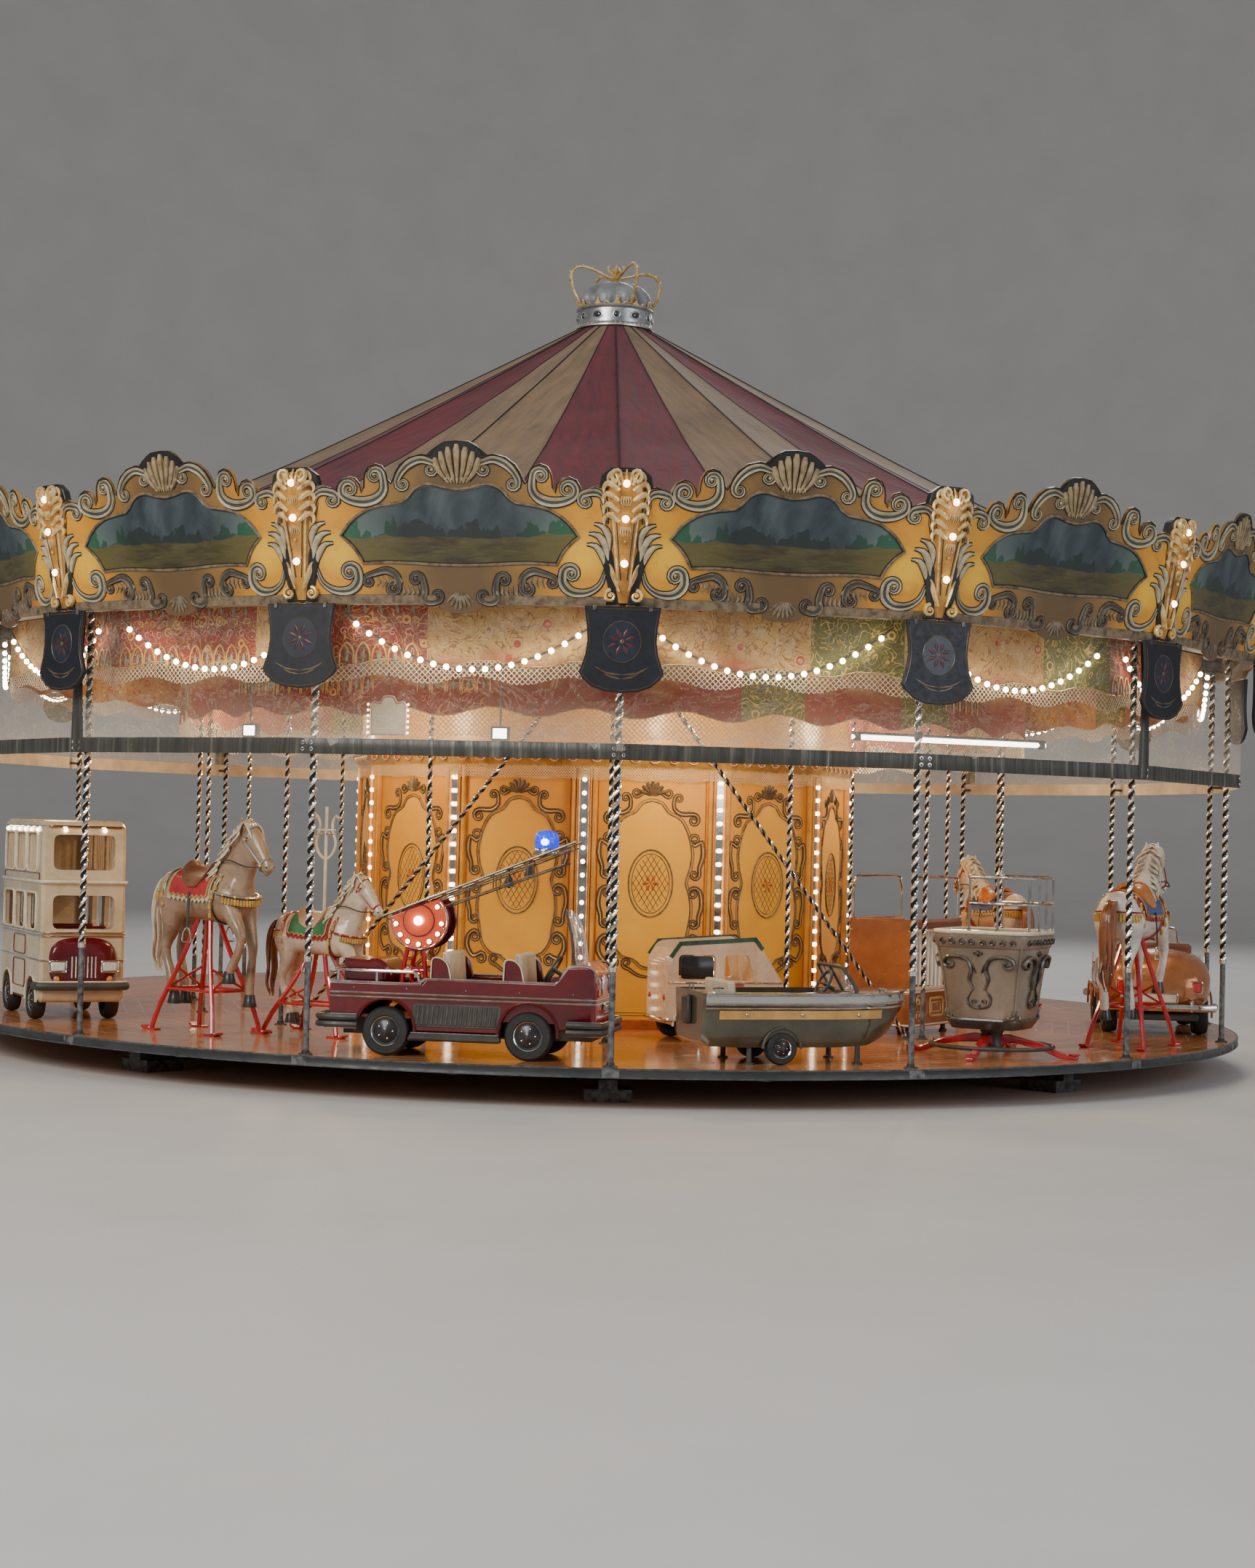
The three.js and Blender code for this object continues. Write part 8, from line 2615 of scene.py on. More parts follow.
# Open-sided double-decker bus
def make_bus():
    place = ride_place(-66, 4.350)
    shell = side_plate(rounded([(-0.640, 0.130), (0.670, 0.130), (0.672, 0.60), (0.640, 1.372),
        (0.575, 1.424), (-0.575, 1.424), (-0.640, 1.372)], 0.06, 5), -0.300, 0.300, 0.022)
    cutters = [block(-0.60, 0.56, -0.268, 0.268, 0.20, 0.955, 0.0),
        block(-0.60, 0.59, -0.268, 0.268, 1.0, 1.375, 0.0)]
    openings = []
    for z0, z1 in ((0.640, 0.900), (1.060, 1.330)):
        for x0, x1 in ((-0.56, -0.24), (-0.19, 0.13), (0.18, 0.50)):
            openings.append((x0, x1, z0, z1))
            cutters.append(side_plate(round_rect(x0, x1, z0, z1, 0.05), -0.4, 0.4))
        front = round_rect(-0.22, 0.22, z0 + 0.01, z1 - 0.01, 0.05)
        flat = prism(front, 0.45, 0.85)
        cutters.append(moved(flat, Matrix(((0, 0, 1, 0), (1, 0, 0, 0), (0, 1, 0, 0), (0, 0, 0, 1)))))
    cutters.append(side_plate(round_rect(-0.56, -0.24, 0.21, 0.9, 0.04), 0.2, 0.4))
    for x in (-0.40, 0.40):
        for y0, y1 in ((-0.5, -0.20), (0.20, 0.5)):
            cutters.append(side_plate(arc(x, 0.14, 0.172, 0, TURN, 22)[:-1], y0, y1))
    parts = [(carved(shell, cutters), "cream_paint")]
    trims, slats = [], []
    for x0, x1, z0, z1 in openings:
        edge = round_rect(x0 - 0.004, x1 + 0.004, z0 - 0.004, z1 + 0.004, 0.05)
        for radius, y in ((0.010, -0.301), (0.007, 0.301)):
            trims.append(flat_loop(edge, 1, y, radius, 6))
        if z0 > 1:
            for x in np.linspace(x0 + 0.05, x1 - 0.05, 5):
                for y in (-0.285, 0.285):
                    slats.append(rod((x, y, z0), (x, y, z1), 0.008, 7))
    parts.append((joined(trims), "cream_trim"))
    parts.append((joined(slats), "cream_paint"))
    parts += wheels_and_arches((-0.40, 0.40), 0.262, 0.140, 0.09, -0.302, (0.14, 0.174, 0.05, 15, 0.010),
        "cream_trim")
    band = round_rect(-0.644, 0.676, -0.304, 0.304, 0.03)
    for z, radius, colour in ((0.622, 0.009, "plated"), (0.600, 0.006, "plated"),
            (0.985, 0.012, "cream_trim"), (0.430, 0.006, "plated")):
        parts.append((flat_loop(band, 2, z, radius, 6), colour))
    loop = round_rect(-0.638, 0.636, -0.294, 0.294, 0.06)
    parts.append((flat_loop(loop, 2, 1.376, 0.010, 6), "plated"))
    hood = moulded([loft([(0.60, 0, 0.42, 0.24, 0.18), (0.66, 0, 0.42, 0.245, 0.185),
        (0.70, 0, 0.40, 0.23, 0.16), (0.715, 0, 0.38, 0.17, 0.11)], 24, 3.2)], 0.012, 3, 0.4)
    parts.append((hood, "maroon"))
    grille = [rod((0.716, 0.028 * k, 0.31), (0.716, 0.028 * k, 0.46), 0.006, 6) for k in range(-3, 4)]
    parts.append((joined(grille), "plated"))
    for y in (-0.185, 0.185):
        parts.append((block(0.700, 0.726, y - 0.055, y + 0.055, 0.355, 0.425, 0.010), "lamp_glass"))
        edge = round_rect(y - 0.06, y + 0.06, 0.35, 0.43, 0.015)
        parts.append((flat_loop(edge, 0, 0.722, 0.006, 6), "plated"))
        parts += lamp((0.705, y, 0.300), 0.022, colour="lamp_orange")
        parts += lamp((-0.645, y * 1.2, 0.42), 0.028, colour="lamp_red", facing=math.pi)
        parts += lamp((-0.645, y * 1.2, 0.50), 0.022, colour="lamp_orange", facing=math.pi)
    bumper = [(0.60, -0.318, 0.25), (0.69, -0.312, 0.25), (0.715, -0.25, 0.25), (0.718, 0.25, 0.25),
        (0.69, 0.312, 0.25), (0.60, 0.318, 0.25)]
    parts.append((tube(smooth_path(bumper, 0.05), 0.030, 9), "hem"))
    parts.append((tube(smooth_path([(x + 0.006, y, z + 0.030) for x, y, z in bumper], 0.05), 0.008, 6),
        "cream_trim"))
    lamps, seats = [], []
    for x in np.linspace(-0.50, 0.50, 6):
        for y in (-0.304, 0.304):
            lamps.append(bulb((x, y, 1.352), 0.017))
    for y in (-0.14, 0.0, 0.14):
        lamps.append(bulb((0.652, y, 1.352), 0.017))
    for x in (-0.10, 0.30):
        seats.append(panel_box(x, x + 0.18, -0.262, 0.262, 0.205, 0.43, 0.03, 0.015))
        seats.append(panel_box(x - 0.02, x + 0.03, -0.255, 0.255, 0.42, 0.66, 0.02, 0.012))
    parts.append((joined(lamps), "bulb"))
    parts.append((joined(seats), "maroon"))
    parts.append((block(-0.58, -0.30, -0.26, 0.26, 0.201, 0.215, 0.002), "hem"))
    rails = [rod((x, side * 0.25, 0.23), (x, side * 0.25, 0.95), 0.011, 8) for x in (-0.215, 0.155)
        for side in (-1, 1)]
    parts.append((joined(rails), "plated"))
    panels = []
    for z0, z1 in ((0.215, 0.41), (0.45, 0.585)):
        edge = round_rect(-0.20, 0.18, z0, z1, 0.03)
        panels.append(side_line(edge, -0.302, 0.0045, 5, closed=True))
    upper_edge = round_rect(-0.58, 0.58, 0.992, 1.042, 0.02)
    panels.append(side_line(upper_edge, -0.302, 0.0045, 5, closed=True))
    parts.append((joined(panels), "maroon"))
    piece("bus_body", all_moved(parts, place), ["double_decker_bus"])


# Circus wagon with bars, roll and hoops
def make_wagon():
    place = ride_place(56, 2.740)
    base = carved(side_plate(round_rect(-0.430, 0.430, 0.060, 0.330, 0.035), -0.260, 0.260, 0.012),
        [block(-0.39, 0.39, -0.222, 0.222, 0.12, 0.6, 0.0)])
    parts = [(base, "copper_paint")]
    parts.append((joined([moved(lathe([(AXIS, 0), (0.030, 0), (0.030, 0.012), (0.018, 0.02), (0.018, 0.085)],
        14), shift(x, y, 0)) for x in (-0.30, 0.30) for y in (-0.18, 0.18)]), "hem"))
    bars, rolls, hoops, gilt = [], [], [], []
    for side in (-1, 1):
        y = side * 0.240
        for x in np.arange(-0.400, 0.41, 0.0665):
            bars.append(rod((x, y, 0.325), (x, y, 0.78), 0.0085, 7))
        for z0, z1 in ((0.325, 0.352), (0.755, 0.778)):
            bars.append(block(-0.43, 0.43, y - 0.018, y + 0.018, z0, z1, 0.006))
        rolls.append(side_plate(round_rect(-0.43, 0.43, 0.772, 0.850, 0.036, 6), y - 0.030, y + 0.030,
            0.022))
        hoop = smooth_path([(-0.400, 0.84), (-0.405, 1.05), (-0.375, 1.13), (-0.31, 1.160), (0.31, 1.160),
            (0.375, 1.13), (0.405, 1.05), (0.400, 0.84)], 0.04)
        hoops.append(tube(laid(hoop, 1, y), 0.0115, 8))
        face_y = side * 0.2605
        buckle = round_rect(-0.11, 0.11, 0.135, 0.265, 0.02)
        gilt.append(flat_loop(buckle, 1, face_y, 0.011, 6))
        small = round_rect(-0.075, 0.075, 0.165, 0.235, 0.012)
        gilt.append(flat_loop(small, 1, face_y, 0.006, 6))
        for end in (-1, 1):
            for up in (-1, 1):
                spiral = curl((end * 0.30, 0.20 + up * 0.052), 0.040, QUARTER * up, end * up * -1.2)
                stem = [(end * 0.22, 0.20 + up * 0.085), (end * 0.15, 0.20 + up * 0.03)]
                path = smooth_path(np.vstack([spiral[::-1], stem]), 0.02)
                gilt.append(tube(laid(path, 1, face_y), 0.006, 5))
            gilt.append(ball((end * 0.37, face_y, 0.20), 0.014, 10, 6))
    back = block(-0.430, -0.400, -0.256, 0.256, 0.325, 0.848, 0.010)
    seat = panel_box(-0.39, -0.20, -0.218, 0.218, 0.125, 0.36, 0.03, 0.015)
    parts += [(joined(bars), "cream_trim"), (joined(rolls), "roll_brown"), (joined(hoops), "plated"),
        (joined(gilt), "gold_paint"), (back, "copper_paint"), (seat, "roll_brown")]
    for y in (-0.17, 0.17):
        parts += lamp((0.432, y, 0.28), 0.024, colour="lamp_red")
        parts += lamp((-0.432, y, 0.28), 0.024, colour="lamp_red", facing=math.pi)
    for z in (0.075, 0.318):
        loop = round_rect(-0.434, 0.434, -0.264, 0.264, 0.03)
        parts.append((flat_loop(loop, 2, z, 0.008, 6), "cream_trim"))
    piece("wagon_body", all_moved(parts, place), ["circus_wagon"])


# Camper van
def make_van():
    place = ride_place(17, 2.720)
    outline = rounded([(-0.450, 0.110), (0.450, 0.110), (0.450, 0.372), (0.415, 0.402), (0.255, 0.640),
        (0.200, 0.715), (-0.375, 0.680), (-0.450, 0.560)], 0.05, 5)
    body = side_plate(outline, -0.230, 0.230, 0.022)
    cutters = [side_plate([(-0.40, 0.18), (0.23, 0.18), (0.23, 0.9), (-0.40, 0.9)], -0.192, 0.192)]
    for x0, x1, slant in ((-0.375, -0.10, 0.0), (-0.035, 0.195, -0.05)):
        cutters.append(side_plate(rounded([(x0, 0.42), (x1, 0.42), (x1 + slant, 0.60), (x0, 0.60)], 0.04),
            -0.3, 0.3))
    for x in (-0.27, 0.27):
        for y0, y1 in ((-0.5, -0.15), (0.15, 0.5)):
            cutters.append(side_plate(arc(x, 0.11, 0.138, 0, TURN, 22)[:-1], y0, y1))
    parts = [(carved(body, cutters), "van_cream")]
    parts += wheels_and_arches((-0.27, 0.27), 0.195, 0.110, 0.07, -0.232, (0.11, 0.140, 0.05, 14, 0.008),
        "cream_trim")
    stripe = [(-0.446, 0.59), (-0.372, 0.690), (0.198, 0.726), (0.26, 0.648)]
    for start, end in zip(stripe, stripe[1:]):
        across = Vector((end[1] - start[1], start[0] - end[0])).normalized() * 0.030
        band = [start, end, (end[0] + across.x, end[1] + across.y),
            (start[0] + across.x, start[1] + across.y)]
        parts.append((both(side_plate(band, -0.2325, -0.228)), "van_green"))
    for x0, x1, colour in ((-0.115, -0.02, "reel_orange"), (0.0, 0.115, "engine_red")):
        parts.append((both(panel_box(x0, x1, -0.2335, -0.226, 0.20, 0.400, 0.02, 0.003)), colour))
    glass = [both(side_plate(round_rect(-0.35, -0.11, 0.43, 0.59, 0.03), -0.212, -0.206)),
        side_plate([(0.252, 0.60), (0.395, 0.412), (0.402, 0.417), (0.260, 0.606)], -0.18, 0.18)]
    parts.append((joined(glass), "dark_glass"))
    parts.append((panel_box(-0.40, -0.20, -0.188, 0.188, 0.185, 0.34, 0.03, 0.015), "roll_brown"))
    for y in (-0.15, 0.15):
        parts += lamp((0.452, y, 0.30), 0.040)
        parts += lamp((-0.452, y, 0.30), 0.022, colour="lamp_red", facing=math.pi)
    loop = round_rect(-0.462, 0.462, -0.236, 0.236, 0.05)
    parts.append((flat_loop(loop, 2, 0.150, 0.014, 8), "plated"))
    for y in (-0.233, 0.233):
        parts.append((rod((-0.452, y, 0.405), (0.40, y, 0.405), 0.006, 6), "plated"))
    piece("van_body", all_moved(parts, place), ["camper_van"])


# Carved horses on their trestles. Lengths are for a full-size horse and are scaled
def leg_path(points, radii, y):
    path = smooth_path([(x, z) for x, z in points], 0.05)
    spots = np.linspace(0, 1, len(path))
    given = np.linspace(0, 1, len(radii))
    line = laid(path, 1, y)
    return tube(line, np.interp(spots, given, radii), 12)


def horse_body():
    trunk = loft([(-0.445, 0, 0.80, 0.04, 0.05), (-0.42, 0, 0.80, 0.115, 0.125),
        (-0.34, 0, 0.79, 0.162, 0.172), (-0.22, 0, 0.775, 0.160, 0.168), (-0.04, 0, 0.758, 0.150, 0.158),
        (0.13, 0, 0.758, 0.152, 0.170), (0.26, 0, 0.785, 0.148, 0.185), (0.36, 0, 0.81, 0.112, 0.160),
        (0.415, 0, 0.83, 0.05, 0.09)], 22)
    haunch = [ball((-0.305, side * 0.065, 0.735), 0.125, 16, 10, 1.25) for side in (-1, 1)]
    shoulder = [ball((0.265, side * 0.055, 0.74), 0.110, 16, 10, 1.3) for side in (-1, 1)]
    neck_line = [(0.20, 0, 0.86), (0.30, 0, 0.96), (0.365, 0, 1.07), (0.395, 0, 1.17), (0.400, 0, 1.235)]
    neck = tube(neck_line, [0.110, 0.096, 0.076, 0.062, 0.05], 16, flat=1.75)
    head_line = [(0.370, 0, 1.235), (0.425, 0, 1.205), (0.495, 0, 1.125), (0.560, 0, 1.045),
        (0.610, 0, 0.985), (0.640, 0, 0.955)]
    head = tube(head_line, [0.045, 0.062, 0.057, 0.043, 0.038, 0.022], 16, flat=1.35)
    jaw = ball((0.445, 0, 1.135), 0.062, 14, 9, 1.1)
    nose = [ball((0.618, side * 0.018, 0.985), 0.026, 10, 7) for side in (-1, 1)]
    lip = ball((0.598, 0, 0.950), 0.026, 10, 7)
    brow = [ball((0.455, side * 0.048, 1.205), 0.024, 10, 7) for side in (-1, 1)]
    ears = []
    for side in (-1, 1):
        ears.append(tube([(0.385, side * 0.035, 1.24), (0.375, side * 0.045, 1.29),
            (0.378, side * 0.048, 1.345)], [0.026, 0.024, 0.005], 10, flat=0.6))
    legs = [
        leg_path([(0.29, 0.75), (0.33, 0.58), (0.380, 0.43), (0.368, 0.28), (0.352, 0.14), (0.358, 0.09)],
            [0.085, 0.065, 0.044, 0.029, 0.035, 0.036], 0.085),
        leg_path([(0.29, 0.75), (0.39, 0.60), (0.455, 0.50), (0.415, 0.38), (0.350, 0.28), (0.335, 0.25)],
            [0.085, 0.065, 0.044, 0.029, 0.034, 0.034], -0.085),
        leg_path([(-0.30, 0.76), (-0.31, 0.58), (-0.400, 0.40), (-0.372, 0.24), (-0.345, 0.11),
            (-0.338, 0.07)], [0.115, 0.085, 0.046, 0.031, 0.036, 0.036], 0.085),
        leg_path([(-0.30, 0.76), (-0.29, 0.56), (-0.355, 0.39), (-0.305, 0.25), (-0.262, 0.12),
            (-0.252, 0.08)], [0.115, 0.085, 0.046, 0.031, 0.036, 0.036], -0.085),
    ]
    return moulded([trunk, *haunch, *shoulder, neck, head, jaw, *nose, lip, *brow, *ears, *legs], 0.0120, 4,
        0.42)


HOOVES = [(0.362, 0.085, 0.06), (0.334, -0.085, 0.225), (-0.332, 0.085, 0.045), (-0.245, -0.085, 0.055)]


def horse_hooves():
    made = []
    for x, y, z in HOOVES:
        hoof = lathe([(AXIS, 0.045), (0.034, 0.04), (0.040, 0.0), (0.050, -0.035), (0.048, -0.045),
            (AXIS, -0.045)], 16)
        made.append(moved(hoof, shift(x, y, z)))
    return joined(made)


def lock(points, thick, thin=0.004, sides=6):
    path = smooth_path(points, 0.03)
    radii = np.interp(np.linspace(0, 1, len(path)), [0, 0.3, 1], [thick * 0.6, thick, thin])
    return tube(path, radii, sides, flat=0.6)


def horse_mane():
    crest = smooth_path([(0.395, 1.30), (0.335, 1.255), (0.275, 1.16), (0.205, 1.05), (0.13, 0.975)], 0.035)
    locks = []
    for number, (x, z) in enumerate(crest):
        for side in (-1, 1):
            sway = 0.02 * math.sin(number * 1.9 + side)
            reach = 0.13 + 0.03 * math.sin(number * 2.3)
            bulge = 0.075 + 0.035 * number / len(crest)
            points = [(x + 0.02, side * 0.006, z + 0.015), (x - 0.005, side * bulge * 0.75, z - 0.015),
                (x + 0.015 + sway, side * bulge * 1.12, z - reach * 0.45),
                (x - 0.03 + sway, side * bulge * 1.28, z - reach * 0.8),
                (x - 0.06 + sway, side * (bulge * 1.28 + 0.012), z - reach)]
            locks.append(lock(points, 0.021))
    for k in range(5):
        y = 0.012 * (k - 2)
        locks.append(lock([(0.385, y, 1.30), (0.43, y * 2.2, 1.285), (0.475, y * 2.5, 1.235),
            (0.50, y * 2.4, 1.185)], 0.014))
    return joined(locks)


def horse_tail():
    locks = []
    for k in range(9):
        angle = TURN * k / 9
        y, out = 0.030 * math.cos(angle), 0.030 * math.sin(angle)
        sway = 0.018 * math.sin(k * 2.1)
        points = [(-0.425, y * 0.4, 0.885), (-0.480 - out * 0.4, y * 0.8, 0.875), (-0.525 - out, y, 0.79),
            (-0.545 - out, y * 1.5, 0.64), (-0.535 - out + sway, y * 1.6, 0.47),
            (-0.555 - out, y * 1.2 + sway, 0.33), (-0.525 - out * 0.5, y * 0.6, 0.22 + 0.02 * (k % 3))]
        locks.append(lock(points, 0.030, 0.005, 7))
    return joined(locks)


def over_back(x0, x1, low_angle, grow, steps=14, scallop=0.0, columns=12):
    """A cover laid over the trunk between two stations; the angle is how far down each side it reaches."""
    stations = [-0.42, -0.34, -0.22, -0.04, 0.13, 0.26, 0.36]
    wide = [0.115, 0.162, 0.160, 0.150, 0.152, 0.148, 0.112]
    high = [0.125, 0.172, 0.168, 0.158, 0.170, 0.185, 0.160]
    middle = [0.80, 0.79, 0.775, 0.758, 0.758, 0.785, 0.81]
    rows = []
    for j in range(columns + 1):
        x = x0 + (x1 - x0) * j / columns
        half = np.interp(x, stations, wide) + grow
        rise = np.interp(x, stations, high) + grow
        z = np.interp(x, stations, middle)
        reach = low_angle + scallop * abs(math.sin(math.pi * j / 2))
        rows.append([(x, half * math.sin(a), z + rise * math.cos(a))
            for a in np.linspace(-reach, reach, steps + 1)])
    return rows


def thick_skin(rows, depth):
    rows = np.array(rows)
    inner = rows.copy()
    away = inner - np.array([0, 0, 1]) * 0.77
    away[:, :, 0] = 0
    length = np.maximum(np.linalg.norm(away, axis=2, keepdims=True), 1e-6)
    inner -= away / length * depth
    outline = np.concatenate([rows, inner[:, ::-1]], axis=1)
    shape = skin(outline, False, True)
    return capped(shape, outline.shape[1], outline.shape[0])


def horse_tack(colours):
    """Saddle, cloth, straps, tassels and stirrups."""
    cloth = thick_skin(over_back(-0.225, 0.175, 1.45, 0.022, 20, 0.10, 16), 0.008)
    under = thick_skin(over_back(-0.245, 0.195, 1.62, 0.016, 20, 0.12, 20), 0.007)
    seat_rows = []
    for x, lift, reach in ((-0.175, 0.075, 0.55), (-0.165, 0.082, 0.70), (-0.13, 0.045, 0.95),
            (-0.05, 0.034, 1.15), (0.04, 0.036, 1.15), (0.085, 0.055, 0.8), (0.105, 0.085, 0.42),
            (0.115, 0.080, 0.30)):
        half, rise, z = 0.15, 0.165, 0.758
        seat_rows.append([(x, (half + 0.032) * math.sin(a),
            z + (rise + 0.02 + lift * math.cos(a * 1.1)) * math.cos(a))
            for a in np.linspace(-reach, reach, 15)])
    saddle = thick_skin(seat_rows, 0.028)
    straps, tassels, studs = [], [], []
    for x, lean in ((0.22, 0.10), (-0.285, -0.04)):
        ring_path = []
        half = np.interp(x, [-0.34, -0.22, 0.13, 0.26], [0.162, 0.160, 0.152, 0.148]) + 0.014
        rise = np.interp(x, [-0.34, -0.22, 0.13, 0.26], [0.172, 0.168, 0.170, 0.185]) + 0.014
        for a in round_steps(40):
            ring_path.append((x + lean * math.cos(a) * 0.5, half * math.sin(a), 0.778 + rise * math.cos(a)))
        straps.append(tube(ring_path, 0.014, 6, True, flat=0.45))
        for side in (-1, 1):
            for number in range(5):
                a = 0.75 + 0.33 * number
                spot = (x + lean * math.cos(a) * 0.5, side * (half + 0.010) * math.sin(a),
                    0.778 + (rise + 0.010) * math.cos(a))
                tassels.append(moved(lathe([(AXIS, 0.0), (0.010, -0.006), (0.009, -0.014), (0.014, -0.030),
                    (0.013, -0.052), (AXIS, -0.054)], 9), shift(*spot)))
                studs.append(ball(spot, 0.010, 8, 5))
    breast = []
    for a in np.linspace(-1.75, 1.75, 26):
        breast.append((0.20 + 0.235 * math.cos(a / 1.35), 0.168 * math.sin(a / 1.12),
            0.80 - 0.03 * math.cos(a)))
    straps.append(tube(breast, 0.017, 6, flat=0.45))
    fringe = []
    for number, (x, y, z) in enumerate(breast[3:-3]):
        fringe.append(moved(lathe([(AXIS, 0.0), (0.010, -0.008), (0.012, -0.032), (0.010, -0.046),
            (AXIS, -0.047)], 8), shift(x * 1.02, y * 1.04, z - 0.012)))
        if number % 4 == 0:
            studs.append(ball((x * 1.02, y * 1.05, z), 0.012, 8, 5))
    crupper = []
    for a in np.linspace(-1.5, 1.5, 22):
        crupper.append((-0.30 - 0.155 * math.cos(a), 0.172 * math.sin(a), 0.80 + 0.01 * math.cos(a)))
    straps.append(tube(crupper, 0.015, 6, flat=0.45))
    for x, y, z in crupper[1:-1]:
        fringe.append(moved(lathe([(AXIS, 0.0), (0.011, -0.01), (0.012, -0.05), (0.009, -0.066),
            (AXIS, -0.067)], 8), shift(x * 1.01, y * 1.05, z - 0.010)))
    bridle = []
    for centre, tilt_angle, half, tall in (((0.585, 1.012), -0.72, 0.045, 0.055),
            ((0.435, 1.19), -0.5, 0.066, 0.094)):
        loop = []
        for a in round_steps(26):
            up = tall * math.cos(a)
            loop.append((centre[0] + up * math.sin(-tilt_angle), half * math.sin(a),
                centre[1] + up * math.cos(tilt_angle)))
        bridle.append(tube(loop, 0.0075, 6, True))
    reins = []
    for side in (-1, 1):
        bridle.append(tube(smooth_path([(0.43, side * 0.068, 1.17), (0.51, side * 0.062, 1.09),
            (0.588, side * 0.046, 1.005)], 0.03), 0.006, 6))
        reins.append(tube(smooth_path([(0.582, side * 0.046, 0.995), (0.50, side * 0.10, 0.99),
            (0.36, side * 0.125, 1.03), (0.22, side * 0.10, 1.02), (0.12, side * 0.02, 0.985)], 0.04), 0.006,
            6))
        studs.append(ball((0.583, side * 0.048, 1.0), 0.013, 8, 5))
        studs.append(ball((0.44, side * 0.070, 1.175), 0.012, 8, 5))
    stirrups, leathers = [], []
    for side in (-1, 1):
        leathers.append(tube([(-0.01, side * 0.176, 0.80), (0.0, side * 0.186, 0.66),
            (0.0, side * 0.190, 0.545)], 0.010, 6, flat=0.35))
        shape = smooth_path([(0.0, 0.555), (0.036, 0.52), (0.048, 0.475), (0.046, 0.455), (-0.046, 0.455),
            (-0.048, 0.475), (-0.036, 0.52)], 0.03, True)
        stirrups.append(tube(laid(shape, 1, side * 0.192), 0.006, 7, True))
    lines = []
    rows = np.array(over_back(-0.225, 0.175, 1.45, 0.024, 20, 0.10, 16))
    for edge in (rows[:, 0], rows[:, -1], rows[0], rows[-1]):
        lines.append(tube(edge, 0.006, 6))
    cloth_colour, under_colour, saddle_colour, strap_colour, fringe_colour = colours
    return [(cloth, cloth_colour), (under, under_colour), (saddle, saddle_colour),
        (joined(straps), strap_colour), (joined(tassels), fringe_colour), (joined(fringe), fringe_colour),
        (joined(studs), "gilt"), (joined(bridle), strap_colour), (joined(reins), "hem"),
        (joined(stirrups), "plated"), (joined(leathers), "hem"), (joined(lines), "gold_paint")]


def horse_eyes():
    dark, white = [], []
    for side in (-1, 1):
        white.append(ball((0.462, side * 0.062, 1.188), 0.015, 10, 7))
        dark.append(ball((0.466, side * 0.070, 1.188), 0.0095, 8, 6))
        dark.append(ball((0.632, side * 0.034, 0.990), 0.0075, 8, 5))
    dark.append(tube(smooth_path([(0.560, -0.036, 0.968), (0.605, -0.022, 0.955), (0.622, 0, 0.952),
        (0.605, 0.022, 0.955), (0.560, 0.036, 0.968)], 0.02), 0.004, 5))
    return joined(dark), joined(white)


def horse_stand(lift, size):
    """The red trestle, with bright bolts and toes that curl up."""
    top = lift + 0.640 * size
    bars, bolts = [block(-0.095, 0.095, -0.042, 0.042, top - 0.030, top + 0.040, 0.008)], []
    for end in (-1, 1):
        for side in (-1, 1):
            bars.append(tube(smooth_path([(end * 0.055, side * 0.030, top),
                (end * 0.15, side * 0.10, top * 0.62), (end * 0.27, side * 0.175, top * 0.24),
                (end * 0.320, side * 0.210, 0.012)], 0.06), 0.017, 8))
            toe = rounded([(end * 0.255, 0.0), (end * 0.375, 0.0), (end * 0.405, 0.016),
                (end * 0.398, 0.030), (end * 0.365, 0.012), (end * 0.255, 0.012)], 0.008)
            bars.append(side_plate(toe, side * 0.21 - 0.030, side * 0.21 + 0.030, 0.002))
            bolts.append(ball((end * 0.345, side * 0.21, 0.014), 0.011, 8, 5))
            bolts.append(ball((end * 0.075, side * 0.044, top - 0.005), 0.010, 8, 5))
        low = top * 0.36
        bars.append(rod((end * 0.235, -0.155, low), (end * 0.235, 0.155, low), 0.012, 8))
        for side in (-1, 1):
            upper = (end * 0.18, side * 0.118, top * 0.55)
            bars.append(rod(upper, (end * 0.235, -side * 0.155, low), 0.009, 6))
        bolts.append(ball((end * 0.208, 0, (top * 0.55 + low) / 2), 0.014, 8, 5))
    for side in (-1, 1):
        bars.append(rod((-0.235, side * 0.155, top * 0.36), (0.235, side * 0.155, top * 0.36), 0.010, 8))
    return joined(bars), joined(bolts)


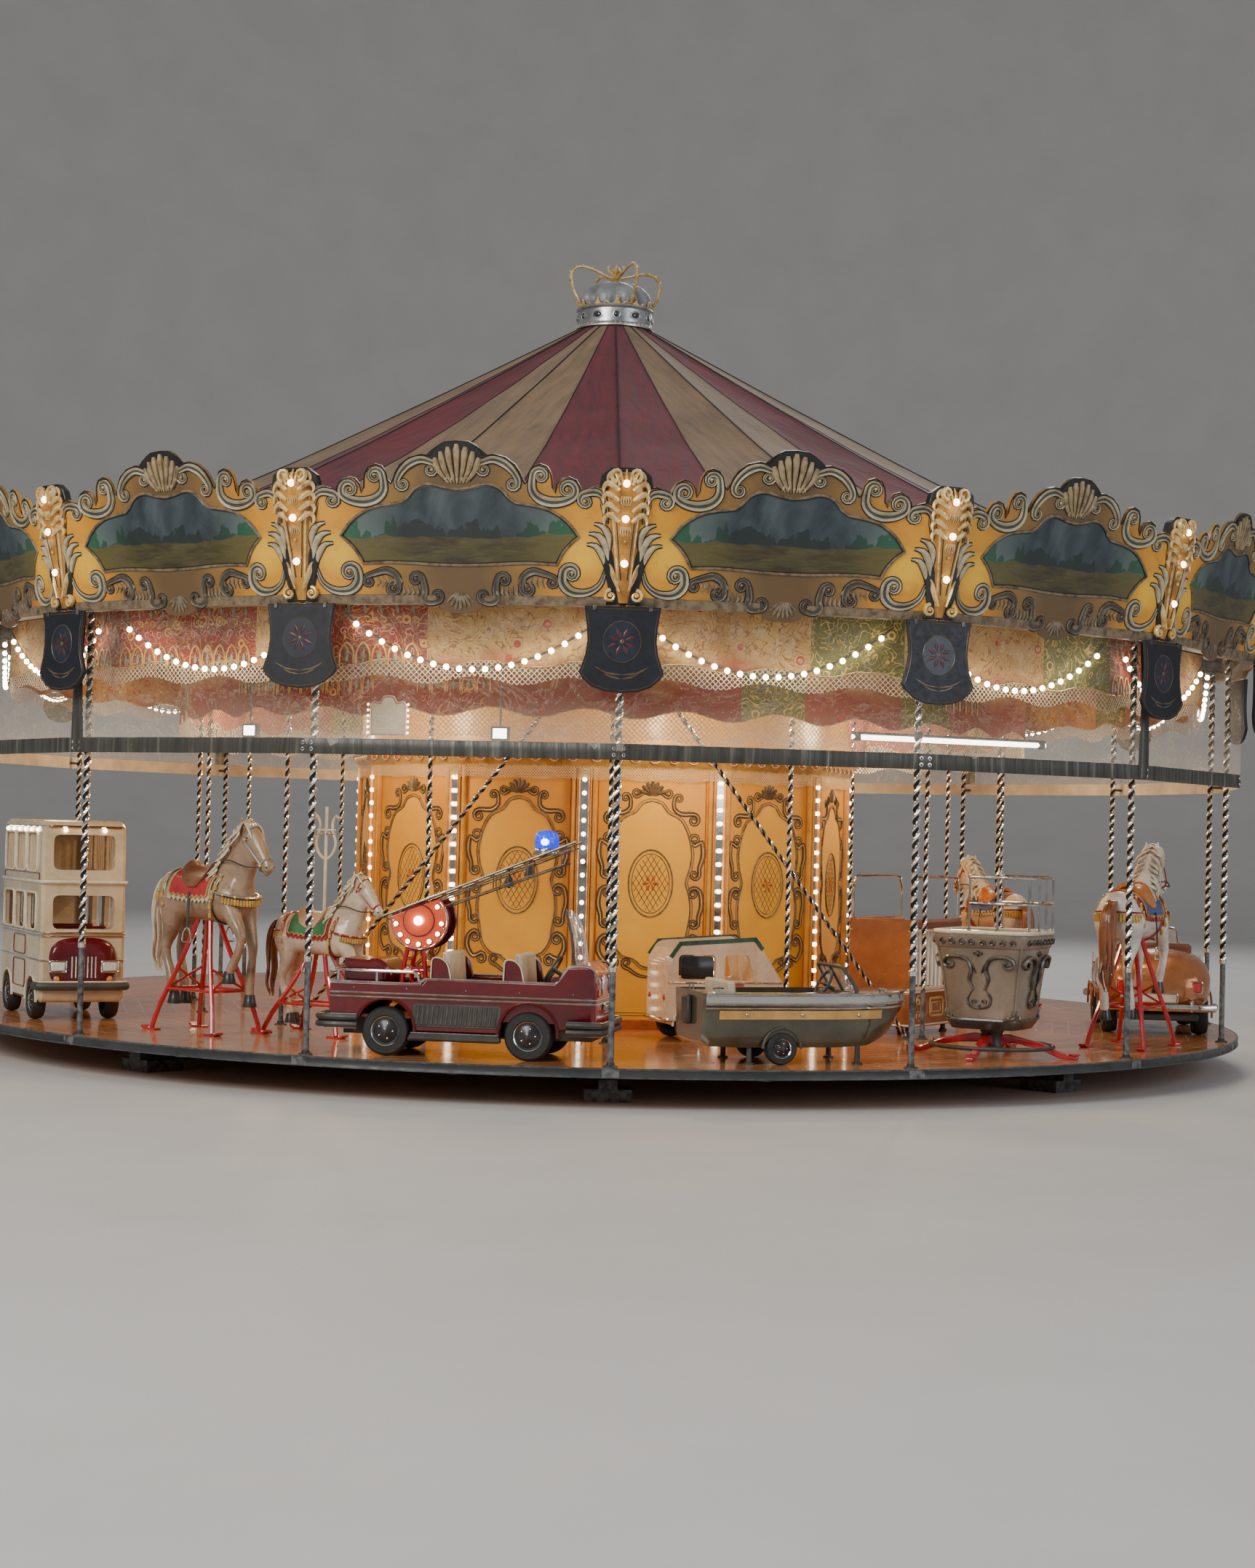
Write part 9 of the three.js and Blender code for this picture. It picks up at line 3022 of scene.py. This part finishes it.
def make_horses():
    body = horse_body()
    hooves = horse_hooves()
    mane, tail = horse_mane(), horse_tail()
    eyes, whites = horse_eyes()
    herd = [
        ("white_horse", 57, 4.500, 0.200, 0.95, "white_coat", "mane_cream", "tail_brown",
            ("saddle_blue", "saddle_red", "saddle_orange", "strap_red", "fringe_ochre")),
        ("brown_horse", -42.5, 4.050, 0.170, 0.98, "brown_coat", "mane_cream", "mane_cream",
            ("saddle_red", "saddle_cream", "roll_brown", "strap_grey", "fringe_ochre")),
        ("cream_horse", -33.5, 3.560, 0.060, 0.80, "cream_coat", "mane_cream", "tail_brown",
            ("saddle_green", "saddle_red", "seat_tan", "strap_red", "fringe_ochre")),
        ("back_horse", 118, 4.000, 0.120, 0.90, "cream_coat", "mane_cream", "tail_brown",
            ("saddle_blue", "saddle_cream", "saddle_orange", "strap_red", "fringe_ochre")),
    ]
    for name, azimuth, ring, lift, size, coat, mane_colour, tail_colour, colours in herd:
        place = ride_place(azimuth, ring)
        scaled = place @ shift(0, 0, lift) @ Matrix.Scale(size, 4)
        stand, bolts = horse_stand(lift, size)
        parts = all_moved([(body, coat), (hooves, "hoof"), (mane, mane_colour), (tail, tail_colour),
            (eyes, "hem"), (whites, "cream_trim")], scaled)
        tack = all_moved(horse_tack(colours), scaled)
        frame_parts = all_moved([(stand, "engine_red"), (bolts, "plated")], place)
        if name == "cream_horse":
            frame_parts += all_moved(bell_holder(), place)
        piece(f"{name}_carving", parts,
            [name], crease=50)
        piece(f"{name}_tack", tack)
        piece(f"{name}_stand", frame_parts)


def bell_holder():
    """A white lyre on a post, with a row of small bells."""
    lines = []
    for side in (-1, 1):
        lyre = smooth_path([(side * 0.012, 1.20), (side * 0.06, 1.24), (side * 0.085, 1.31),
            (side * 0.06, 1.39), (side * 0.055, 1.45), (side * 0.085, 1.50), (side * 0.11, 1.48)], 0.02)
        lines.append(tube([(x + 0.02, 0.0, z) for x, z in lyre], 0.010, 7))
    lines.append(rod((0.02, 0, 0.60), (0.02, 0, 1.56), 0.011, 8))
    lines.append(rod((-0.06, 0, 1.40), (0.10, 0, 1.40), 0.008, 7))
    bells = []
    for k in range(-2, 3):
        bells.append(ball((0.02 + 0.034 * k, 0, 1.375), 0.013, 8, 6))
    return [(joined(lines), "cream_trim"), (joined(bells), "plated")]


def make_rides():
    make_engine()
    make_gondola()
    pairs = (
        ("boat_body", "motor_boat", boat_parts, 15.5, 4.400, "boat_paint"),
        ("back_boat_body", "back_boat", boat_parts, 152, 4.400, "boat_paint"),
        ("car_body", "sports_car", car_parts, 82, 4.370, "copper_paint"),
        ("back_car_body", "back_car", car_parts, 200, 4.370, "copper_paint"),
    )
    for name, node, made_parts, azimuth, ring, slot in pairs:
        piece(name, all_moved(made_parts(), ride_place(azimuth, ring)), [node])
    make_bus()
    make_wagon()
    make_van()
    make_horses()


def backdrop():
    """A curved wall behind the carousel that runs up out of the floor."""
    start, bend, top, half_sweep = 30.0, 15.0, 60.0, math.radians(65)
    profile = [(start + bend * math.sin(t), bend * (1 - math.cos(t))) for t in np.linspace(0, QUARTER, 18)]
    profile.append((start + bend, top))
    rows = []
    for radius, z in profile:
        rows.append([(radius * math.sin(a), radius * math.cos(a), z)
            for a in np.linspace(-half_sweep, half_sweep, 60)])
    return skin(rows)


# Floor and lights
def make_stage():
    recipe = Recipe("studio_floor")
    recipe.link(recipe.ramp(recipe.noise(0.8, 5.0), [(0.3, (0.62, 0.61, 0.59)), (0.7, (0.66, 0.65, 0.63))]),
        "Base Color")
    recipe.gloss(recipe.noise(2.0), 0.55, 0.7)
    reach = 120
    flat = Shape([(-reach, -reach, 0), (reach, -reach, 0), (reach, reach, 0), (-reach, reach, 0)],
        [(0, 1, 2, 3)])
    for name, shape in (("floor", flat), ("backdrop", backdrop())):
        mesh = new_mesh(name, shape)
        mesh.materials.append(recipe.made)
        mesh.shade_smooth()
        obj = new_object(name, mesh)
    world = bpy.data.worlds.new("studio")
    world.use_nodes = True
    background = world.node_tree.nodes["Background"]
    background.inputs["Color"].default_value = (0.80, 0.82, 0.86, 1)
    background.inputs["Strength"].default_value = 0.32
    bpy.context.scene.world = world


def area_light(name, place, target, size, power, colour):
    data = bpy.data.lights.new(name, "AREA")
    data.size = size
    data.energy = power
    data.color = colour
    lamp = new_object(name, data)
    lamp.location = place
    lamp.rotation_mode = "QUATERNION"
    lamp.rotation_quaternion = (Vector(target) - Vector(place)).to_track_quat("-Z", "Y")


def make_lights():
    area_light("key", (-11, -18, 11), (0, 0, 2.6), 9, 2900, (1.0, 0.96, 0.9))
    area_light("fill", (15, -14, 7), (0, 0, 2.4), 10, 1000, (0.9, 0.94, 1.0))
    area_light("back", (4, 18, 14), (0, 0, 3.0), 10, 1600, (1.0, 0.97, 0.93))
    for name, count, first, ring, height, power in (("drum_light", 6, 0.25, 2.80, 2.55, 62),
            ("ride_light", 8, 0.5, 4.30, 2.30, 13)):
        for k in range(count):
            angle = (k + first) * TURN / count
            data = bpy.data.lights.new(f"{name}_{k}", "POINT")
            data.energy = power
            data.color = (1.0, 0.74, 0.42)
            data.shadow_soft_size = 0.12
            lamp = new_object(f"{name}_{k}", data)
            lamp.location = polar(ring, angle, height)


make_stage()
make_lights()
make_deck()
make_rim()
make_sweeps(*make_poles())
make_boards()
make_corbels()
make_curtain()
make_curtain_fixings()
make_valance("outer_cloth", "outer_valance", OUTER_VALANCE_RING, SWEEP_BOTTOM - 0.0005, 2.602, 2.70, 0.13, 3,
    CLOTH_BAYS)
make_valance("inner_cloth", "inner_valance", INNER_VALANCE_RING, SWEEP_BOTTOM - 0.0005, 2.285, 2.37, 0.235,
    2, CLOTH_BAYS)
RED_PANELS = [(bay, panel, 3) for bay in range(BAYS) for panel, colour in enumerate(CLOTH_BAYS[bay % 8])
    if colour == "cloth"]
make_applique("inner_applique", INNER_VALANCE_RING, 2.555, RED_PANELS)
make_applique("outer_applique", OUTER_VALANCE_RING, 2.642, RED_PANELS)
make_swags()
make_floodlights()
make_notice()
make_roof()
make_crown()
make_drum()
make_cornice()
make_rides()
